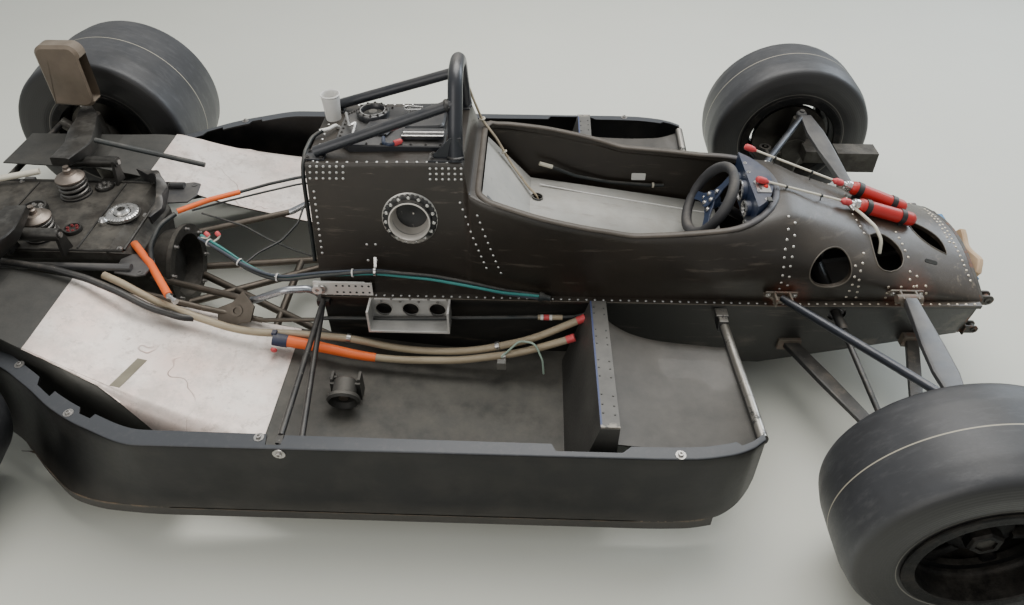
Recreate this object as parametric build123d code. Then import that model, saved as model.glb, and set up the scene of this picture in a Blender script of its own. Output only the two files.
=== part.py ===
"""Open-wheel racing car, standing on its wheels without engine, nose, wings or engine cover.

Millimetres. X points forward, Y to the car's left, Z up. The origin is on the ground below the middle
of the car's length. Lengths along the car are measured from the front axle line or the rear axle line.
"""
import math
import os

from build123d import *

os.makedirs("parts", exist_ok=True)

# Main dimensions of the car
WHEELBASE = 2663
FRONT_OVERHANG = 340  # front axle line to the foremost lug
REAR_OVERHANG = 337  # rear axle line to the end of the gearbox
FRONT_TRACK = 1727
REAR_TRACK = 1652
LENGTH = FRONT_OVERHANG + WHEELBASE + REAR_OVERHANG
FRONT_AXLE_X = LENGTH / 2 - FRONT_OVERHANG
REAR_AXLE_X = FRONT_AXLE_X - WHEELBASE

# Tyres and rims: outer radius, width, tread half width share, rim flange radius
FRONT_TYRE_R, FRONT_TYRE_W = 306, 272
REAR_TYRE_R, REAR_TYRE_W = 329, 407
FRONT_SHOULDER, REAR_SHOULDER = 0.92, 0.97  # tread width over tyre width
REAR_TYRE_IN = REAR_TRACK / 2 - REAR_TYRE_W / 2  # inner sidewall from the middle of the car
FLANGE_R = 191  # rim flange, a 13-inch rim
BEAD_R = 168  # tyre bore and rim barrel outside
BARREL_WALL = 7
SHOULDER_DROP = 12  # tread centre to tread shoulder
HUB_R = 52
DISC_R, DISC_T = 139, 24
SPOKES = 6
FLANGE_T_RIM = 8
BRAKE_HAT_R = HUB_R + 8
FRONT_DISC_AT, REAR_DISC_AT = 38, 60  # wheel centres' inner faces, outboard of the wheel's middle
NUT_LENGTH, DISC_CENTRE_T = 26, 26

# Tub: stations along the car, measured from the front axle line
FLANGE_W = 250  # half width over the joint flange
FLANGE_T = 6
TUB_W = 235  # half width at the joint
WALL = 12
SKIN = 4  # thickness of flat sheets and skins
TUB_FRONT_X = FRONT_AXLE_X + 282
NOSE_RISE_X = FRONT_AXLE_X - 290
TUB_REAR_X = FRONT_AXLE_X - 1612
BOX_FRONT_X = FRONT_AXLE_X - 1190
COCKPIT_REAR_X = FRONT_AXLE_X - 1169
TUB_BOTTOM_Z = 60
NOSE_BOTTOM_Z = 188
JOINT_Z = 343
JOINT_FRONT_Z = 358
BULKHEAD_T = 12

# Side pods
POD_W = 800  # half width over the side panels
POD_TOP_Z = 370
POD_BOTTOM_Z = 108
SKIRT_BOTTOM_Z = 75
PANEL_T = 6
POD_LIP_W = 46  # width of the panel's top flange
POD_FRONT_X = FRONT_AXLE_X - 439
POD_FRONT_W = 738  # half width at the pod's front end
RADIATOR_X = FRONT_AXLE_X - 808  # centre of the radiator bulkhead's top strip

# Engine bay and gearbox
CRANK_Z = 240
BELL_X = FRONT_AXLE_X - 2120  # front face of the bell housing
BELL_R = 135
GEARBOX_W = 185  # half width of the gearbox top
GEARBOX_TOP_Z = 440
GEARBOX_FRONT_X = FRONT_AXLE_X - 2190
BELL_BOLTS, BELL_PCR, BELL_BOLT_R = 8, BELL_R - 14, 5.2

# Suspension
UPRIGHT_TOP_Z, UPRIGHT_LOW_Z = 430, 185
FRONT_BALL_Y = FRONT_TRACK / 2 - 173.5  # ball joints of the front uprights
REAR_BALL_Y = REAR_TRACK / 2 - 236
STEER_ARM = 105  # ball joint line to the track rod end
RACK_Z = 300
SHAFT_IN = 208  # half distance between the drive shafts' inner ends
TOE_ARM, TOE_Z = 112, 418  # toe link behind the rear ball joints
RACK_X = FRONT_AXLE_X - STEER_ARM
STEERING_WHEEL_X = FRONT_AXLE_X - 474
STEERING_Z = 540
COLUMN_TILT = 30  # the column slopes down toward the rack
SHAFT_R = 9
RUNNING = 0.05  # radial clearance of a shaft in its tube
GAP = 6  # clearance between pieces that move past each other


def at(x):
    """Plane across the car at x, drawn in (y, z)."""
    return Plane(origin=(x, 0, 0), x_dir=(0, 1, 0), z_dir=(1, 0, 0))


def outline(points):
    return make_face(Polyline(*points, close=True))


def skin_loft(sections):
    """Ruled solid through (x, [(y, z), ...]) outlines that have the same number of points."""
    faces = [at(x) * outline(points) for x, points in sections]
    return Solid.make_loft([f.face().outer_wire() for f in faces], ruled=True)


def mirrored(points):
    """Right half of an outline, given from bottom to top, and its left half in return."""
    return points + [(-y, z) for y, z in reversed(points)]


def rod(a, b, r):
    """Round bar from a to b."""
    a, b = Vector(*a), Vector(*b)
    return extrude(Plane(origin=a, z_dir=b - a) * Circle(r), amount=(b - a).length)


def tube(points, r, bend):
    """Bent round bar along straight runs joined by arcs."""
    path = FilletPolyline(*[Vector(*p) for p in points], radius=bend)
    start = Plane(origin=path @ 0, z_dir=path % 0)
    return sweep(start * Circle(r), path=path)


def block(x, y, z):
    """Box between two corners, each axis given as (low, high)."""
    size = [hi - lo for lo, hi in (x, y, z)]
    centre = [(hi + lo) / 2 for lo, hi in (x, y, z)]
    return Pos(*centre) * Box(*size)


def blade(a, b, half_a, half_b, thick_a, thick_b, wide=(1, 0, 0)):
    """Flat tapered arm from a to b: half width along the given direction and thickness across it."""
    a, b = Vector(*a), Vector(*b)
    axis = (b - a).normalized()
    side = Vector(*wide)
    side = (side - axis * side.dot(axis)).normalized()
    ends = []
    for p, half, thick in ((a, half_a, thick_a), (b, half_b, thick_b)):
        plane = Plane(origin=p, x_dir=side, z_dir=axis)
        ends.append((plane * RectangleRounded(2 * half, thick, thick * 0.45)).face().outer_wire())
    return Solid.make_loft(ends, ruled=True)


def both(shape):
    """The right-hand piece and its mirror image on the left."""
    return [shape, mirror(shape, about=Plane.XZ)]


def between(x, table):
    """Straight-line value at x in a table of (x, value) rows that run rearward."""
    for (x0, v0), (x1, v1) in zip(table, table[1:]):
        if x1 <= x <= x0:
            return v0 + (v1 - v0) * (x - x0) / (x1 - x0)
    return table[0][1] if x > table[0][0] else table[-1][1]


def joint_z(x):
    """Height of the joint between the lower tray and the upper moulding."""
    return between(x, [(TUB_FRONT_X, JOINT_FRONT_Z), (NOSE_RISE_X, JOINT_Z), (TUB_REAR_X, JOINT_Z)])


nodes = {}


def save(name, *pieces):
    solids = [s for p in pieces for s in p.solids()]
    nodes[name] = Compound(solids)


def seated(piece, *carriers):
    """The piece cut to the shape of the nodes that it stands on."""
    for carrier in carriers:
        for solid in nodes[carrier].solids():
            piece = piece - solid
    return max(piece.solids(), key=lambda s: s.volume)


# Tub, lower tray.
# Columns: x, half width at the bottom, height of the bottom, half width at the joint
TRAY = [
    (TUB_REAR_X, TUB_W - 12, TUB_BOTTOM_Z, TUB_W),
    (NOSE_RISE_X, TUB_W - 12, TUB_BOTTOM_Z, TUB_W),
    (TUB_FRONT_X, TUB_W - 30, NOSE_BOTTOM_Z, TUB_W - 3),
]
CHINE = 22  # bevel along the tray's bottom edges
RACK_HOLE_R = 26
ENGINE_BOLT_Y, ENGINE_BOLT_LOW_Z, ENGINE_BOLT_HIGH_Z, ENGINE_BOLT_R = 140, 112, 502, 5.2


def tray_outer(x, low_w, low_z, top_w):
    z = joint_z(x)
    return mirrored([
        (low_w - CHINE, low_z), (low_w, low_z + CHINE), (top_w, z - FLANGE_T),
        (FLANGE_W, z - FLANGE_T), (FLANGE_W, z),
    ])


def tray_inner(x, low_w, low_z, top_w):
    z = joint_z(x)
    return mirrored([
        (low_w - CHINE, low_z + WALL), (low_w - WALL, low_z + CHINE), (top_w - WALL, z - FLANGE_T),
        (top_w - WALL, z + 1),
    ])


def lower_tub():
    outer = skin_loft([(row[0], tray_outer(*row)) for row in TRAY])
    rear, mid, front = TRAY
    inside = [(rear[0] + WALL, rear), (mid[0], mid), (front[0] + 1, front)]
    tray = outer - skin_loft([(x, tray_inner(*row)) for x, row in inside])
    tray -= rod((RACK_X, -FLANGE_W, RACK_Z), (RACK_X, FLANGE_W, RACK_Z), RACK_HOLE_R)
    return engine_holes(tray, ENGINE_BOLT_LOW_Z)


def engine_holes(body, z):
    """Two blind holes in the rear face that hold the engine."""
    for y in (-ENGINE_BOLT_Y, ENGINE_BOLT_Y):
        body -= rod((TUB_REAR_X - 1, y, z), (TUB_REAR_X + WALL + 1, y, z), ENGINE_BOLT_R)
    return body


# Tub, upper moulding.
# Columns: x, half width at the shoulder, shoulder height, half width at the top edge, top edge height,
# height on the centre line
MOULDING = [
    (TUB_REAR_X, 200, 560, 165, 748, 750),
    (BOX_FRONT_X, 212, 560, 168, 758, 760),
    (COCKPIT_REAR_X, 224, 520, 207, 681, 681),
    (FRONT_AXLE_X - 1070, 240, 500, 236, 657, 657),
    (FRONT_AXLE_X - 920, 249, 480, 254, 624, 624),
    (FRONT_AXLE_X - 800, 249, 475, 251, 597, 597),
    (FRONT_AXLE_X - 704, 249, 470, 241, 576, 576),
    (FRONT_AXLE_X - 480, 248, 470, 216, 574, 580),
    (NOSE_RISE_X, 243, 480, 160, 588, 603),
    (FRONT_AXLE_X - 174, 240, 475, 132, 550, 565),
    (FRONT_AXLE_X + 34, 236, 425, 122, 476, 495),
    (TUB_FRONT_X, 226, 372, 174, 394, 430),
]


def moulding_outer(x, side_w, side_z, top_w, top_z, ridge_z):
    z = joint_z(x)
    return mirrored([
        (FLANGE_W, z), (FLANGE_W, z + FLANGE_T), (TUB_W - 3, z + FLANGE_T), (side_w, side_z), (top_w, top_z),
        (top_w / 2, (top_z + ridge_z) / 2 + (ridge_z - top_z) / 4),
    ])


def moulding_inner(x, side_w, side_z, top_w, top_z, ridge_z):
    z = joint_z(x)
    return mirrored([
        (TUB_W - WALL - 3, z - 1), (side_w - WALL, side_z - WALL / 2), (top_w - WALL, top_z - WALL),
        (top_w / 2, (top_z + ridge_z) / 2 + (ridge_z - top_z) / 4 - WALL),
    ])


# Cockpit opening in plan, from its round front end to its rear corners.
# Columns: x, half width
RIM_NOSE_X = FRONT_AXLE_X - 300
RIM = [
    (FRONT_AXLE_X - 460, 188),
    (FRONT_AXLE_X - 570, 207),
    (FRONT_AXLE_X - 704, 223),
    (FRONT_AXLE_X - 790, 233),
    (FRONT_AXLE_X - 870, 238),
    (FRONT_AXLE_X - 939, 237),
    (FRONT_AXLE_X - 1070, 217),
    (COCKPIT_REAR_X + 24, 194),
]

# Openings in the nose: round side holes, two half-round holes in the top and a lens-shaped one
# Columns of the half-round outline: x from the middle of the hole, half width
HALF_ROUND = [(-37, 108), (-3, 89), (26, 94), (49, 112), (60, 134), (58, 159), (40, 184), (7, 202), (-20, 200), (-31, 186), (-36, 145)]
SIDE_HOLE_X, SIDE_HOLE_Z, SIDE_HOLE_R = FRONT_AXLE_X - 163, 462, 54
TOP_HOLE_X = FRONT_AXLE_X + 10
LENS_X, LENS_Y = FRONT_AXLE_X + 175, -45
PORT_X, PORT_Y, PORT_Z = FRONT_AXLE_X - 1336, -196, 597  # round port on the right flank
PORT_R, PORT_CUP_R, PORT_DEPTH = 78, 52, 60
PORT_PLANE = Plane(origin=(PORT_X, PORT_Y, PORT_Z), x_dir=(1, 0, 0), z_dir=(0, -1, 0.18))


def cockpit_opening():
    left = [(x, -y) for x, y in reversed(RIM)]
    nose = ThreePointArc(left[-1], (RIM_NOSE_X, 0), RIM[0])
    sides = Polyline(*RIM, *left)
    return extrude(Pos(0, 0, JOINT_Z + 40) * make_face(nose + sides), amount=500)


def nose_openings():
    side = Plane(origin=(SIDE_HOLE_X, 0, SIDE_HOLE_Z), z_dir=(0, 1, 0)) * Circle(SIDE_HOLE_R)
    cuts = [extrude(side, amount=400, both=True)]
    for sign in (-1, 1):
        hole = make_face(Polyline(*[(TOP_HOLE_X + x, sign * y) for x, y in HALF_ROUND], close=True))
        cuts.append(extrude(Pos(0, 0, JOINT_Z + 40) * hole, amount=300))
    a, b = (LENS_X - 45, LENS_Y + 58), (LENS_X + 42, LENS_Y - 58)
    front, rear = (LENS_X + 28, LENS_Y + 14), (LENS_X - 28, LENS_Y - 14)
    lens = make_face(ThreePointArc(a, front, b) + ThreePointArc(b, rear, a))
    cuts.append(extrude(Pos(0, 0, JOINT_Z + 20) * lens, amount=300))
    return cuts


def upper_tub():
    outer = skin_loft([(row[0], moulding_outer(*row)) for row in MOULDING])
    inside = [(COCKPIT_REAR_X + 4, MOULDING[2])] + [(row[0], row) for row in MOULDING[3:-1]]
    inside.append((TUB_FRONT_X + 1, MOULDING[-1]))
    shell = outer - skin_loft([(x, moulding_inner(*row)) for x, row in inside])
    shell -= cockpit_opening()
    for cut in nose_openings():
        shell -= cut
    shell -= extrude(PORT_PLANE * Circle(PORT_CUP_R), amount=PORT_DEPTH, both=True)
    return engine_holes(shell, ENGINE_BOLT_HIGH_Z)


save("tub_lower", lower_tub())
save("tub_upper", upper_tub())

# Front bulkhead with the four holes that hold a nose
NOSE_BOLT_Y, NOSE_BOLT_LOW_Z, NOSE_BOLT_HIGH_Z, NOSE_BOLT_R = 150, 230, 340, 4.2


def front_bulkhead():
    tray, top = TRAY[-1], MOULDING[-1]
    points = mirrored([
        (tray[1] - CHINE, tray[2]), (tray[1], tray[2] + CHINE), (tray[3], JOINT_FRONT_Z), (top[1], top[2]),
        (top[3], top[4]), (top[3] / 2, (top[4] + top[5]) / 2 + (top[5] - top[4]) / 4),
    ])
    plate = extrude(at(TUB_FRONT_X) * outline(points), amount=BULKHEAD_T)
    for y in (-NOSE_BOLT_Y, NOSE_BOLT_Y):
        for z in (NOSE_BOLT_LOW_Z, NOSE_BOLT_HIGH_Z):
            plate -= extrude(at(TUB_FRONT_X - 1) * Pos(y, z) * Circle(NOSE_BOLT_R), amount=BULKHEAD_T + 2)
    return plate


NOSE_FACE_X = TUB_FRONT_X + BULKHEAD_T
LUG_REACH = FRONT_AXLE_X + FRONT_OVERHANG - NOSE_FACE_X
LUG_Y = 195


def nose_lug(z, r):
    """Eye plate that stands out of the front bulkhead, with a cross hole."""
    tip = NOSE_FACE_X + LUG_REACH - r
    plate = block((NOSE_FACE_X, tip), (-LUG_Y - 14, -LUG_Y + 14), (z - r, z + r))
    eye = extrude(Plane(origin=(tip, -LUG_Y - 14, z), z_dir=(0, 1, 0)) * Circle(r), amount=28)
    hole = extrude(Plane(origin=(tip, -LUG_Y - 15, z), z_dir=(0, 1, 0)) * Circle(r / 3), amount=30)
    return plate + eye - hole


def lugged_bulkhead():
    plate = front_bulkhead()
    for lug in both(nose_lug(JOINT_FRONT_Z - 12, 17)) + both(nose_lug(NOSE_BOTTOM_Z + 40, 14)):
        plate += lug
    return plate


def foam_board():
    """Worn foam board that leans on the bulkhead, thinner at its top edge."""
    low = [(-112, 306), (112, 306), (96, 372), (-104, 368)]
    high = [(-86, 318), (92, 318), (84, 362), (-80, 360)]
    return skin_loft([(NOSE_FACE_X, low), (NOSE_FACE_X + 30, high)])


save("front_bulkhead", lugged_bulkhead())
save("foam_board", foam_board())


def deck_z(x, y):
    """Height of the tub's upper surface inside its top edges."""
    rows = list(reversed(MOULDING))
    ridge = between(x, [(r[0], r[5]) for r in rows])
    edge = between(x, [(r[0], r[4]) for r in rows])
    half = between(x, [(r[0], r[3]) for r in rows])
    mid = (edge + ridge) / 2 + (ridge - edge) / 4
    return mid if abs(y) <= half / 2 else mid + (edge - mid) * (abs(y) - half / 2) / (half / 2)


# Top of the fuel cell: plate, filler ring, hump and the cup of its breather
FILLER_X, FILLER_Y, FILLER_R = TUB_REAR_X + 150, 56, 46
CUP_X, CUP_Y, CUP_H = TUB_REAR_X + 28, 76, 80


def fuel_cell_top():
    x0, x1 = TUB_REAR_X + 62, BOX_FRONT_X - 48
    corners = [(x0, -70), (x0 + 45, -112), (x1, -112), (x1, 112), (x0 + 45, 112), (x0, 70)]
    low = MOULDING[0][4] - 2
    top = low + 28
    plate = extrude(Pos(0, 0, low) * outline(corners), amount=top - low)
    ring = Pos(FILLER_X, FILLER_Y, top) * extrude(Circle(FILLER_R), amount=20)
    hump = block((x1 - 120, x1 - 10), (-40, 104), (top, top + 22))
    lid = plate + ring + hump - Pos(FILLER_X, FILLER_Y, top - 14) * extrude(Circle(FILLER_R - 12), amount=60)
    return seated(lid, "tub_upper")


def breather_cup():
    wall = [(0, -4), (21, -4), (27, CUP_H), (24.5, CUP_H), (19, 3), (0, 3)]
    cup = Pos(CUP_X, CUP_Y, deck_z(CUP_X, CUP_Y)) * revolve(Plane.XZ * outline(wall), axis=Axis.Z)
    return seated(cup, "tub_upper")


def side_port():
    """Bolted ring on the flank with a blind metal cup inside it."""
    profile = [(0, 2 - PORT_DEPTH), (PORT_CUP_R, 2 - PORT_DEPTH), (PORT_CUP_R, -6), (PORT_R, -6), (PORT_R, 8),
               (PORT_R - 12, 10), (PORT_R - 14, 22), (PORT_CUP_R - 4, 22), (PORT_CUP_R - 4, 6 - PORT_DEPTH),
               (0, 6 - PORT_DEPTH)]
    return seated(PORT_PLANE * revolve(Plane.XZ * outline(profile), axis=Axis.Z), "tub_upper")


save("fuel_cell_top", fuel_cell_top())
save("breather_cup", breather_cup())
save("side_port", side_port())

# Roll hoop, its two rearward braces and its gusset feet
HOOP_X = BOX_FRONT_X - 18
HOOP_R, BRACE_R = 20, 15
HOOP_FOOT_Y, HOOP_KNEE_Y, HOOP_TOP_Y = 148, 126, 52
HOOP_TOP_Z = 983
BRACE_TOP_Z, BRACE_FOOT_X, BRACE_FOOT_Y = 898, TUB_REAR_X + 22, 128


def roll_hoop():
    foot_z, rear_z = deck_z(HOOP_X, HOOP_FOOT_Y), deck_z(BRACE_FOOT_X, HOOP_FOOT_Y)
    half = [(HOOP_X, HOOP_FOOT_Y, foot_z), (HOOP_X, HOOP_KNEE_Y, BRACE_TOP_Z - 60),
            (HOOP_X, HOOP_TOP_Y, HOOP_TOP_Z - HOOP_R)]
    hoop = tube(half + [(x, -y, z) for x, y, z in reversed(half)], HOOP_R, 62)
    brace_y = HOOP_KNEE_Y - 30
    for sign in (-1, 1):
        foot = (BRACE_FOOT_X, sign * BRACE_FOOT_Y, rear_z + 12)
        hoop += rod((HOOP_X, sign * brace_y, BRACE_TOP_Z), foot, BRACE_R)
        across = (sign * BRACE_FOOT_Y - 22, sign * BRACE_FOOT_Y + 22)
        hoop += block((BRACE_FOOT_X - 20, BRACE_FOOT_X + 26), across, (rear_z - 1, rear_z + 6))
        gusset = Plane(origin=(0, sign * (HOOP_FOOT_Y - 4) - 3, 0), x_dir=(1, 0, 0), z_dir=(0, -1, 0))
        corner = [(HOOP_X - 72, foot_z), (HOOP_X + 24, foot_z)]
        corner += [(HOOP_X + 14, foot_z + 62), (HOOP_X - 14, foot_z + 62)]
        hoop += extrude(gusset * outline(corner), amount=-6)
        inner, outer = sorted((sign * (HOOP_FOOT_Y - 26), sign * (HOOP_FOOT_Y + 14)))
        hoop += block((HOOP_X - 72, HOOP_X + 16), (inner, outer), (foot_z - 1, foot_z + 6))
    return seated(hoop, "tub_upper")


save("roll_hoop", roll_hoop())

# Cockpit: seat back, sloping liner, instrument hoop
SEAT_TOP_X, SEAT_TOP_Z = COCKPIT_REAR_X + 28, 636
LINER_REAR_X, LINER_REAR_Z = FRONT_AXLE_X - 1007, 468
LINER_FRONT_X, LINER_FRONT_Z = FRONT_AXLE_X - 400, 372
LINER_W = 214


def cockpit_liner():
    """Seat back and the sloping sheet in front of it, with a round hole for a hose."""
    side = Plane(origin=(0, 0, 0), x_dir=(1, 0, 0), z_dir=(0, -1, 0))
    top, knee, front = (SEAT_TOP_X, SEAT_TOP_Z), (LINER_REAR_X, LINER_REAR_Z), (LINER_FRONT_X, LINER_FRONT_Z)
    low = [(x, z - SKIN) for x, z in (front, knee, top)]
    sheet = extrude(side * outline([top, knee, front] + low), amount=LINER_W, both=True)
    rear_w = LINER_W - 34
    plan = [(top[0] - 1, -rear_w), (knee[0], -LINER_W + 6), (front[0] + 1, -LINER_W),
            (front[0] + 1, LINER_W), (knee[0], LINER_W - 6), (top[0] - 1, rear_w)]
    sheet = sheet & extrude(outline(plan), amount=MOULDING[0][4])
    sheet -= Pos(LINER_REAR_X + 22, 100, LINER_REAR_Z) * Cylinder(16, 60)
    return seated(sheet, "tub_upper")


save("cockpit_liner", cockpit_liner())

DASH_X = FRONT_AXLE_X - 376
DASH_LOW_Z, DASH_TOP_Z, DASH_WALL = 502, 618, 6
DASH_EAR_Z = 575
RIM_REACH, RIM_HALF = RIM_NOSE_X - RIM[0][0], RIM[0][1]
RIM_ARC_R = (RIM_REACH ** 2 + RIM_HALF ** 2) / (2 * RIM_REACH)
# Instruments: y, height above the dash's lower edge, radius
GAUGES = [(0, 72, 30), (-74, 60, 23), (74, 60, 23), (-112, 30, 15), (112, 30, 15)]
COLUMN_R = 15


def dash_panel():
    """Instrument panel that follows the cockpit rim's front end, held by an ear on each side."""
    centre = RIM_NOSE_X - RIM_ARC_R
    rim = Pos(centre, 0, 0) * extrude(Circle(RIM_ARC_R), amount=DASH_TOP_Z)
    hood = Pos(centre, 0, 0) * extrude(Circle(RIM_ARC_R - 8), amount=DASH_TOP_Z)
    hollow = Pos(centre, 0, 0) * extrude(Circle(RIM_ARC_R - 8 - DASH_WALL), amount=DASH_TOP_Z - DASH_WALL)
    shell = hood & block((DASH_X, RIM_NOSE_X), (-RIM_ARC_R, RIM_ARC_R), (DASH_LOW_Z, DASH_TOP_Z))
    shell -= hollow & block((DASH_X + DASH_WALL, RIM_NOSE_X), (-RIM_ARC_R, RIM_ARC_R), (0, DASH_TOP_Z))
    for sides in ((-RIM_ARC_R, -RIM_ARC_R * 0.62), (RIM_ARC_R * 0.62, RIM_ARC_R)):
        shell += rim & block((DASH_X + 10, DASH_X + 30), sides, (DASH_EAR_Z, DASH_EAR_Z + 6))
    for y, up, r in GAUGES:
        shell += rod((DASH_X + 1, y, DASH_LOW_Z + up), (DASH_X - 12, y, DASH_LOW_Z + up), r)
    return shell


def along_column(s):
    """Point on the column's axis, forward of the steering wheel's middle."""
    tilt = math.radians(COLUMN_TILT)
    return (STEERING_WHEEL_X + s * math.cos(tilt), 0, STEERING_Z - s * math.sin(tilt))


COLUMN_REAR = 62
PINION_AT = (RACK_X - STEERING_WHEEL_X) / math.cos(math.radians(COLUMN_TILT))
SHAFT_END = PINION_AT - 24
RACK_R = 14


def steering_column():
    """Column tube, its bracket under the dash, the pinion box and the rack's housing on two feet."""
    column = rod(along_column(COLUMN_REAR), along_column(PINION_AT - 40), COLUMN_R)
    axis_z = along_column((DASH_X + 16 - STEERING_WHEEL_X) / math.cos(math.radians(COLUMN_TILT)))[2]
    column += block((DASH_X + 1, DASH_X + 31), (-14, 14), (axis_z, DASH_LOW_Z))
    column += rod(along_column(PINION_AT - 62), along_column(PINION_AT + 6), 22)
    column += rod((RACK_X, -150, RACK_Z), (RACK_X, 150, RACK_Z), 24)
    for y in (-120, 120):
        column += block((RACK_X - 16, RACK_X + 16), (y - 12, y + 12), (TUB_BOTTOM_Z, RACK_Z - 10))
    column -= rod(along_column(COLUMN_REAR - 1), along_column(SHAFT_END + 4), SHAFT_R + RUNNING)
    column -= rod((RACK_X, -151, RACK_Z), (RACK_X, 151, RACK_Z), RACK_R + RUNNING)
    return seated(column, "tub_lower", "dash_panel")


GRIP_R, GRIP_T, BOSS_R = 107, 15.5, 26
SPOKE_ANGLES = (90, 210, 330)


def steering_wheel():
    """Rim, three spokes, boss and shaft, drawn flat and then laid on the column's axis."""
    wheel = Torus(GRIP_R, GRIP_T) + extrude(Pos(0, 0, -4) * Circle(BOSS_R), amount=30)
    wheel += extrude(Circle(SHAFT_R), amount=SHAFT_END)
    for angle in SPOKE_ANGLES:
        across = (-math.sin(math.radians(angle)), math.cos(math.radians(angle)), 0)
        tip = (GRIP_R * across[1], -GRIP_R * across[0], 0)
        wheel += blade((0, 0, 6), tip, 22, 14, 6, 6, wide=across)
    tilt = math.radians(COLUMN_TILT)
    place = Plane(origin=along_column(0), x_dir=(0, 1, 0), z_dir=(math.cos(tilt), 0, -math.sin(tilt)))
    return place * wheel


save("dash_panel", dash_panel())
save("steering_column", steering_column())
save("steering_wheel", steering_wheel())

# Two bottles strapped to the nose, and the two pull rods that run back from them
BOTTLE_R = 21
BOTTLES = [  # rear end, front end
    ((FRONT_AXLE_X - 48, -18, 544), (FRONT_AXLE_X + 136, -16, 489)),
    ((FRONT_AXLE_X - 40, 76, 544), (FRONT_AXLE_X + 132, 44, 489)),
]
ROD_TIPS = [(FRONT_AXLE_X - 352, -32, 634), (FRONT_AXLE_X - 348, 146, 632)]
ROD_R, CAP_R = 3.5, 9


def toward(a, b, share):
    return tuple(p + (q - p) * share for p, q in zip(a, b))


def bottle(rear, front):
    """Bottle with its neck and two bands, each band on a block that stands on the nose."""
    piece = rod(rear, front, BOTTLE_R) + rod(toward(rear, front, -0.16), rear, BOTTLE_R * 0.5)
    for share in (0.12, 0.72):
        a, b = toward(rear, front, share), toward(rear, front, share + 0.09)
        x, y, z = toward(a, b, 0.5)
        piece += rod(a, b, BOTTLE_R + 3)
        piece += block((x - 7, x + 7), (y - 15, y + 15), (deck_z(x, y) - 3, z))
    return seated(piece, "tub_upper")


def pull_rod(tip, bottle_rear):
    """Thin rod with a red cap on each end, on two pins."""
    end = toward(bottle_rear, tip, 0.1)
    piece = rod(end, tip, ROD_R) + rod(tip, toward(tip, end, 0.07), CAP_R)
    piece += rod(end, toward(end, tip, 0.08), CAP_R)
    for share in (0.3, 0.7):
        x, y, z = toward(end, tip, share)
        piece += rod((x, y, deck_z(x, y) - 3), (x, y, z), 2.5)
    return seated(piece, "tub_upper", "dash_panel")


save("bottles", *[bottle(*b) for b in BOTTLES])
save("pull_rods", *[pull_rod(t, b[0]) for t, b in zip(ROD_TIPS, BOTTLES)])

# Side panels. Columns: x, half width at the top flange, half width at the bottom edge
PANEL = [
    (POD_FRONT_X, POD_FRONT_W, POD_FRONT_W),
    (POD_FRONT_X - 36, POD_FRONT_W + 26, POD_FRONT_W + 26),
    (POD_FRONT_X - 90, POD_W - 16, POD_W - 16),
    (POD_FRONT_X - 171, POD_W - 3, POD_W - 3),
    (FRONT_AXLE_X - 710, POD_W, POD_W),
    (FRONT_AXLE_X - 1920, POD_W, POD_W),
    (FRONT_AXLE_X - 2075, 752, 792),
    (FRONT_AXLE_X - 2175, 702, 770),
    (FRONT_AXLE_X - 2283, REAR_TYRE_IN + 5.5, REAR_TYRE_IN + 77.5),
    (FRONT_AXLE_X - 2400, REAR_TYRE_IN - 60.5, REAR_TYRE_IN - 16.5),
    (FRONT_AXLE_X - 2480, REAR_TYRE_IN - 77.5, REAR_TYRE_IN - 62.5),
]
POD_NOSE_R = 110  # rounded lower front corner
SKIRT_REAR_X, SKIRT_T = FRONT_AXLE_X - 2390, 8
LEDGE_FRONT_X, LEDGE_W = FRONT_AXLE_X - 1900, 640  # ledge from the strip inward to this half width


def panel_strip(z, column, thick):
    """Plan outline of a strip of the panel on the right side, outer edge first."""
    outer = [(row[0], -row[column]) for row in PANEL]
    inner = [(x, y + thick) for x, y in reversed(outer)]
    return [Vector(x, y, z) for x, y in outer + inner]


def side_panel():
    """Swept panel with its top flange, the rubbing strip under it and the ledge inside its rear."""
    top = Wire.make_polygon(panel_strip(POD_TOP_Z, 1, PANEL_T), close=True)
    low = Wire.make_polygon(panel_strip(POD_BOTTOM_Z, 2, PANEL_T), close=True)
    panel = Solid.make_loft([low, top], ruled=True)
    flange = Face(Wire.make_polygon(panel_strip(POD_TOP_Z - PANEL_T, 1, POD_LIP_W), close=True))
    panel = panel + extrude(flange, amount=PANEL_T, dir=(0, 0, 1))
    corner = Plane(origin=(POD_FRONT_X - POD_NOSE_R, -POD_W - 50, POD_BOTTOM_Z + POD_NOSE_R), z_dir=(0, 1, 0))
    square = block((POD_FRONT_X - POD_NOSE_R, POD_FRONT_X + 1), (-POD_W - 49, 151 - POD_W),
                   (POD_BOTTOM_Z - 1, POD_BOTTOM_Z + POD_NOSE_R))
    panel -= square - extrude(corner * Circle(POD_NOSE_R), amount=202)
    curved = [(x, -w) for x, w, _ in reversed(PANEL[2:5])]
    outer = [(SKIRT_REAR_X, -POD_W)] + curved
    plan = outer + [(x, y + SKIRT_T) for x, y in reversed(outer)]
    strip = extrude(Pos(0, 0, SKIRT_BOTTOM_Z) * outline(plan), amount=POD_BOTTOM_Z + 4 - SKIRT_BOTTOM_Z)
    ledge = block((SKIRT_REAR_X, LEDGE_FRONT_X), (-POD_W, -LEDGE_W), (POD_BOTTOM_Z - SKIN, POD_BOTTOM_Z))
    return panel + strip + ledge


save("side_panels", *both(side_panel()))


# Radiator bulkhead: a boxed wedge across the pod with a riveted strip along its top
STRIP_W = 46
BULKHEAD_IN, BULKHEAD_OUT = 264, 742
BULKHEAD_IN_Z, BULKHEAD_OUT_Z = 362, 402
BULKHEAD_FOOT_X = RADIATOR_X - 92
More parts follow.
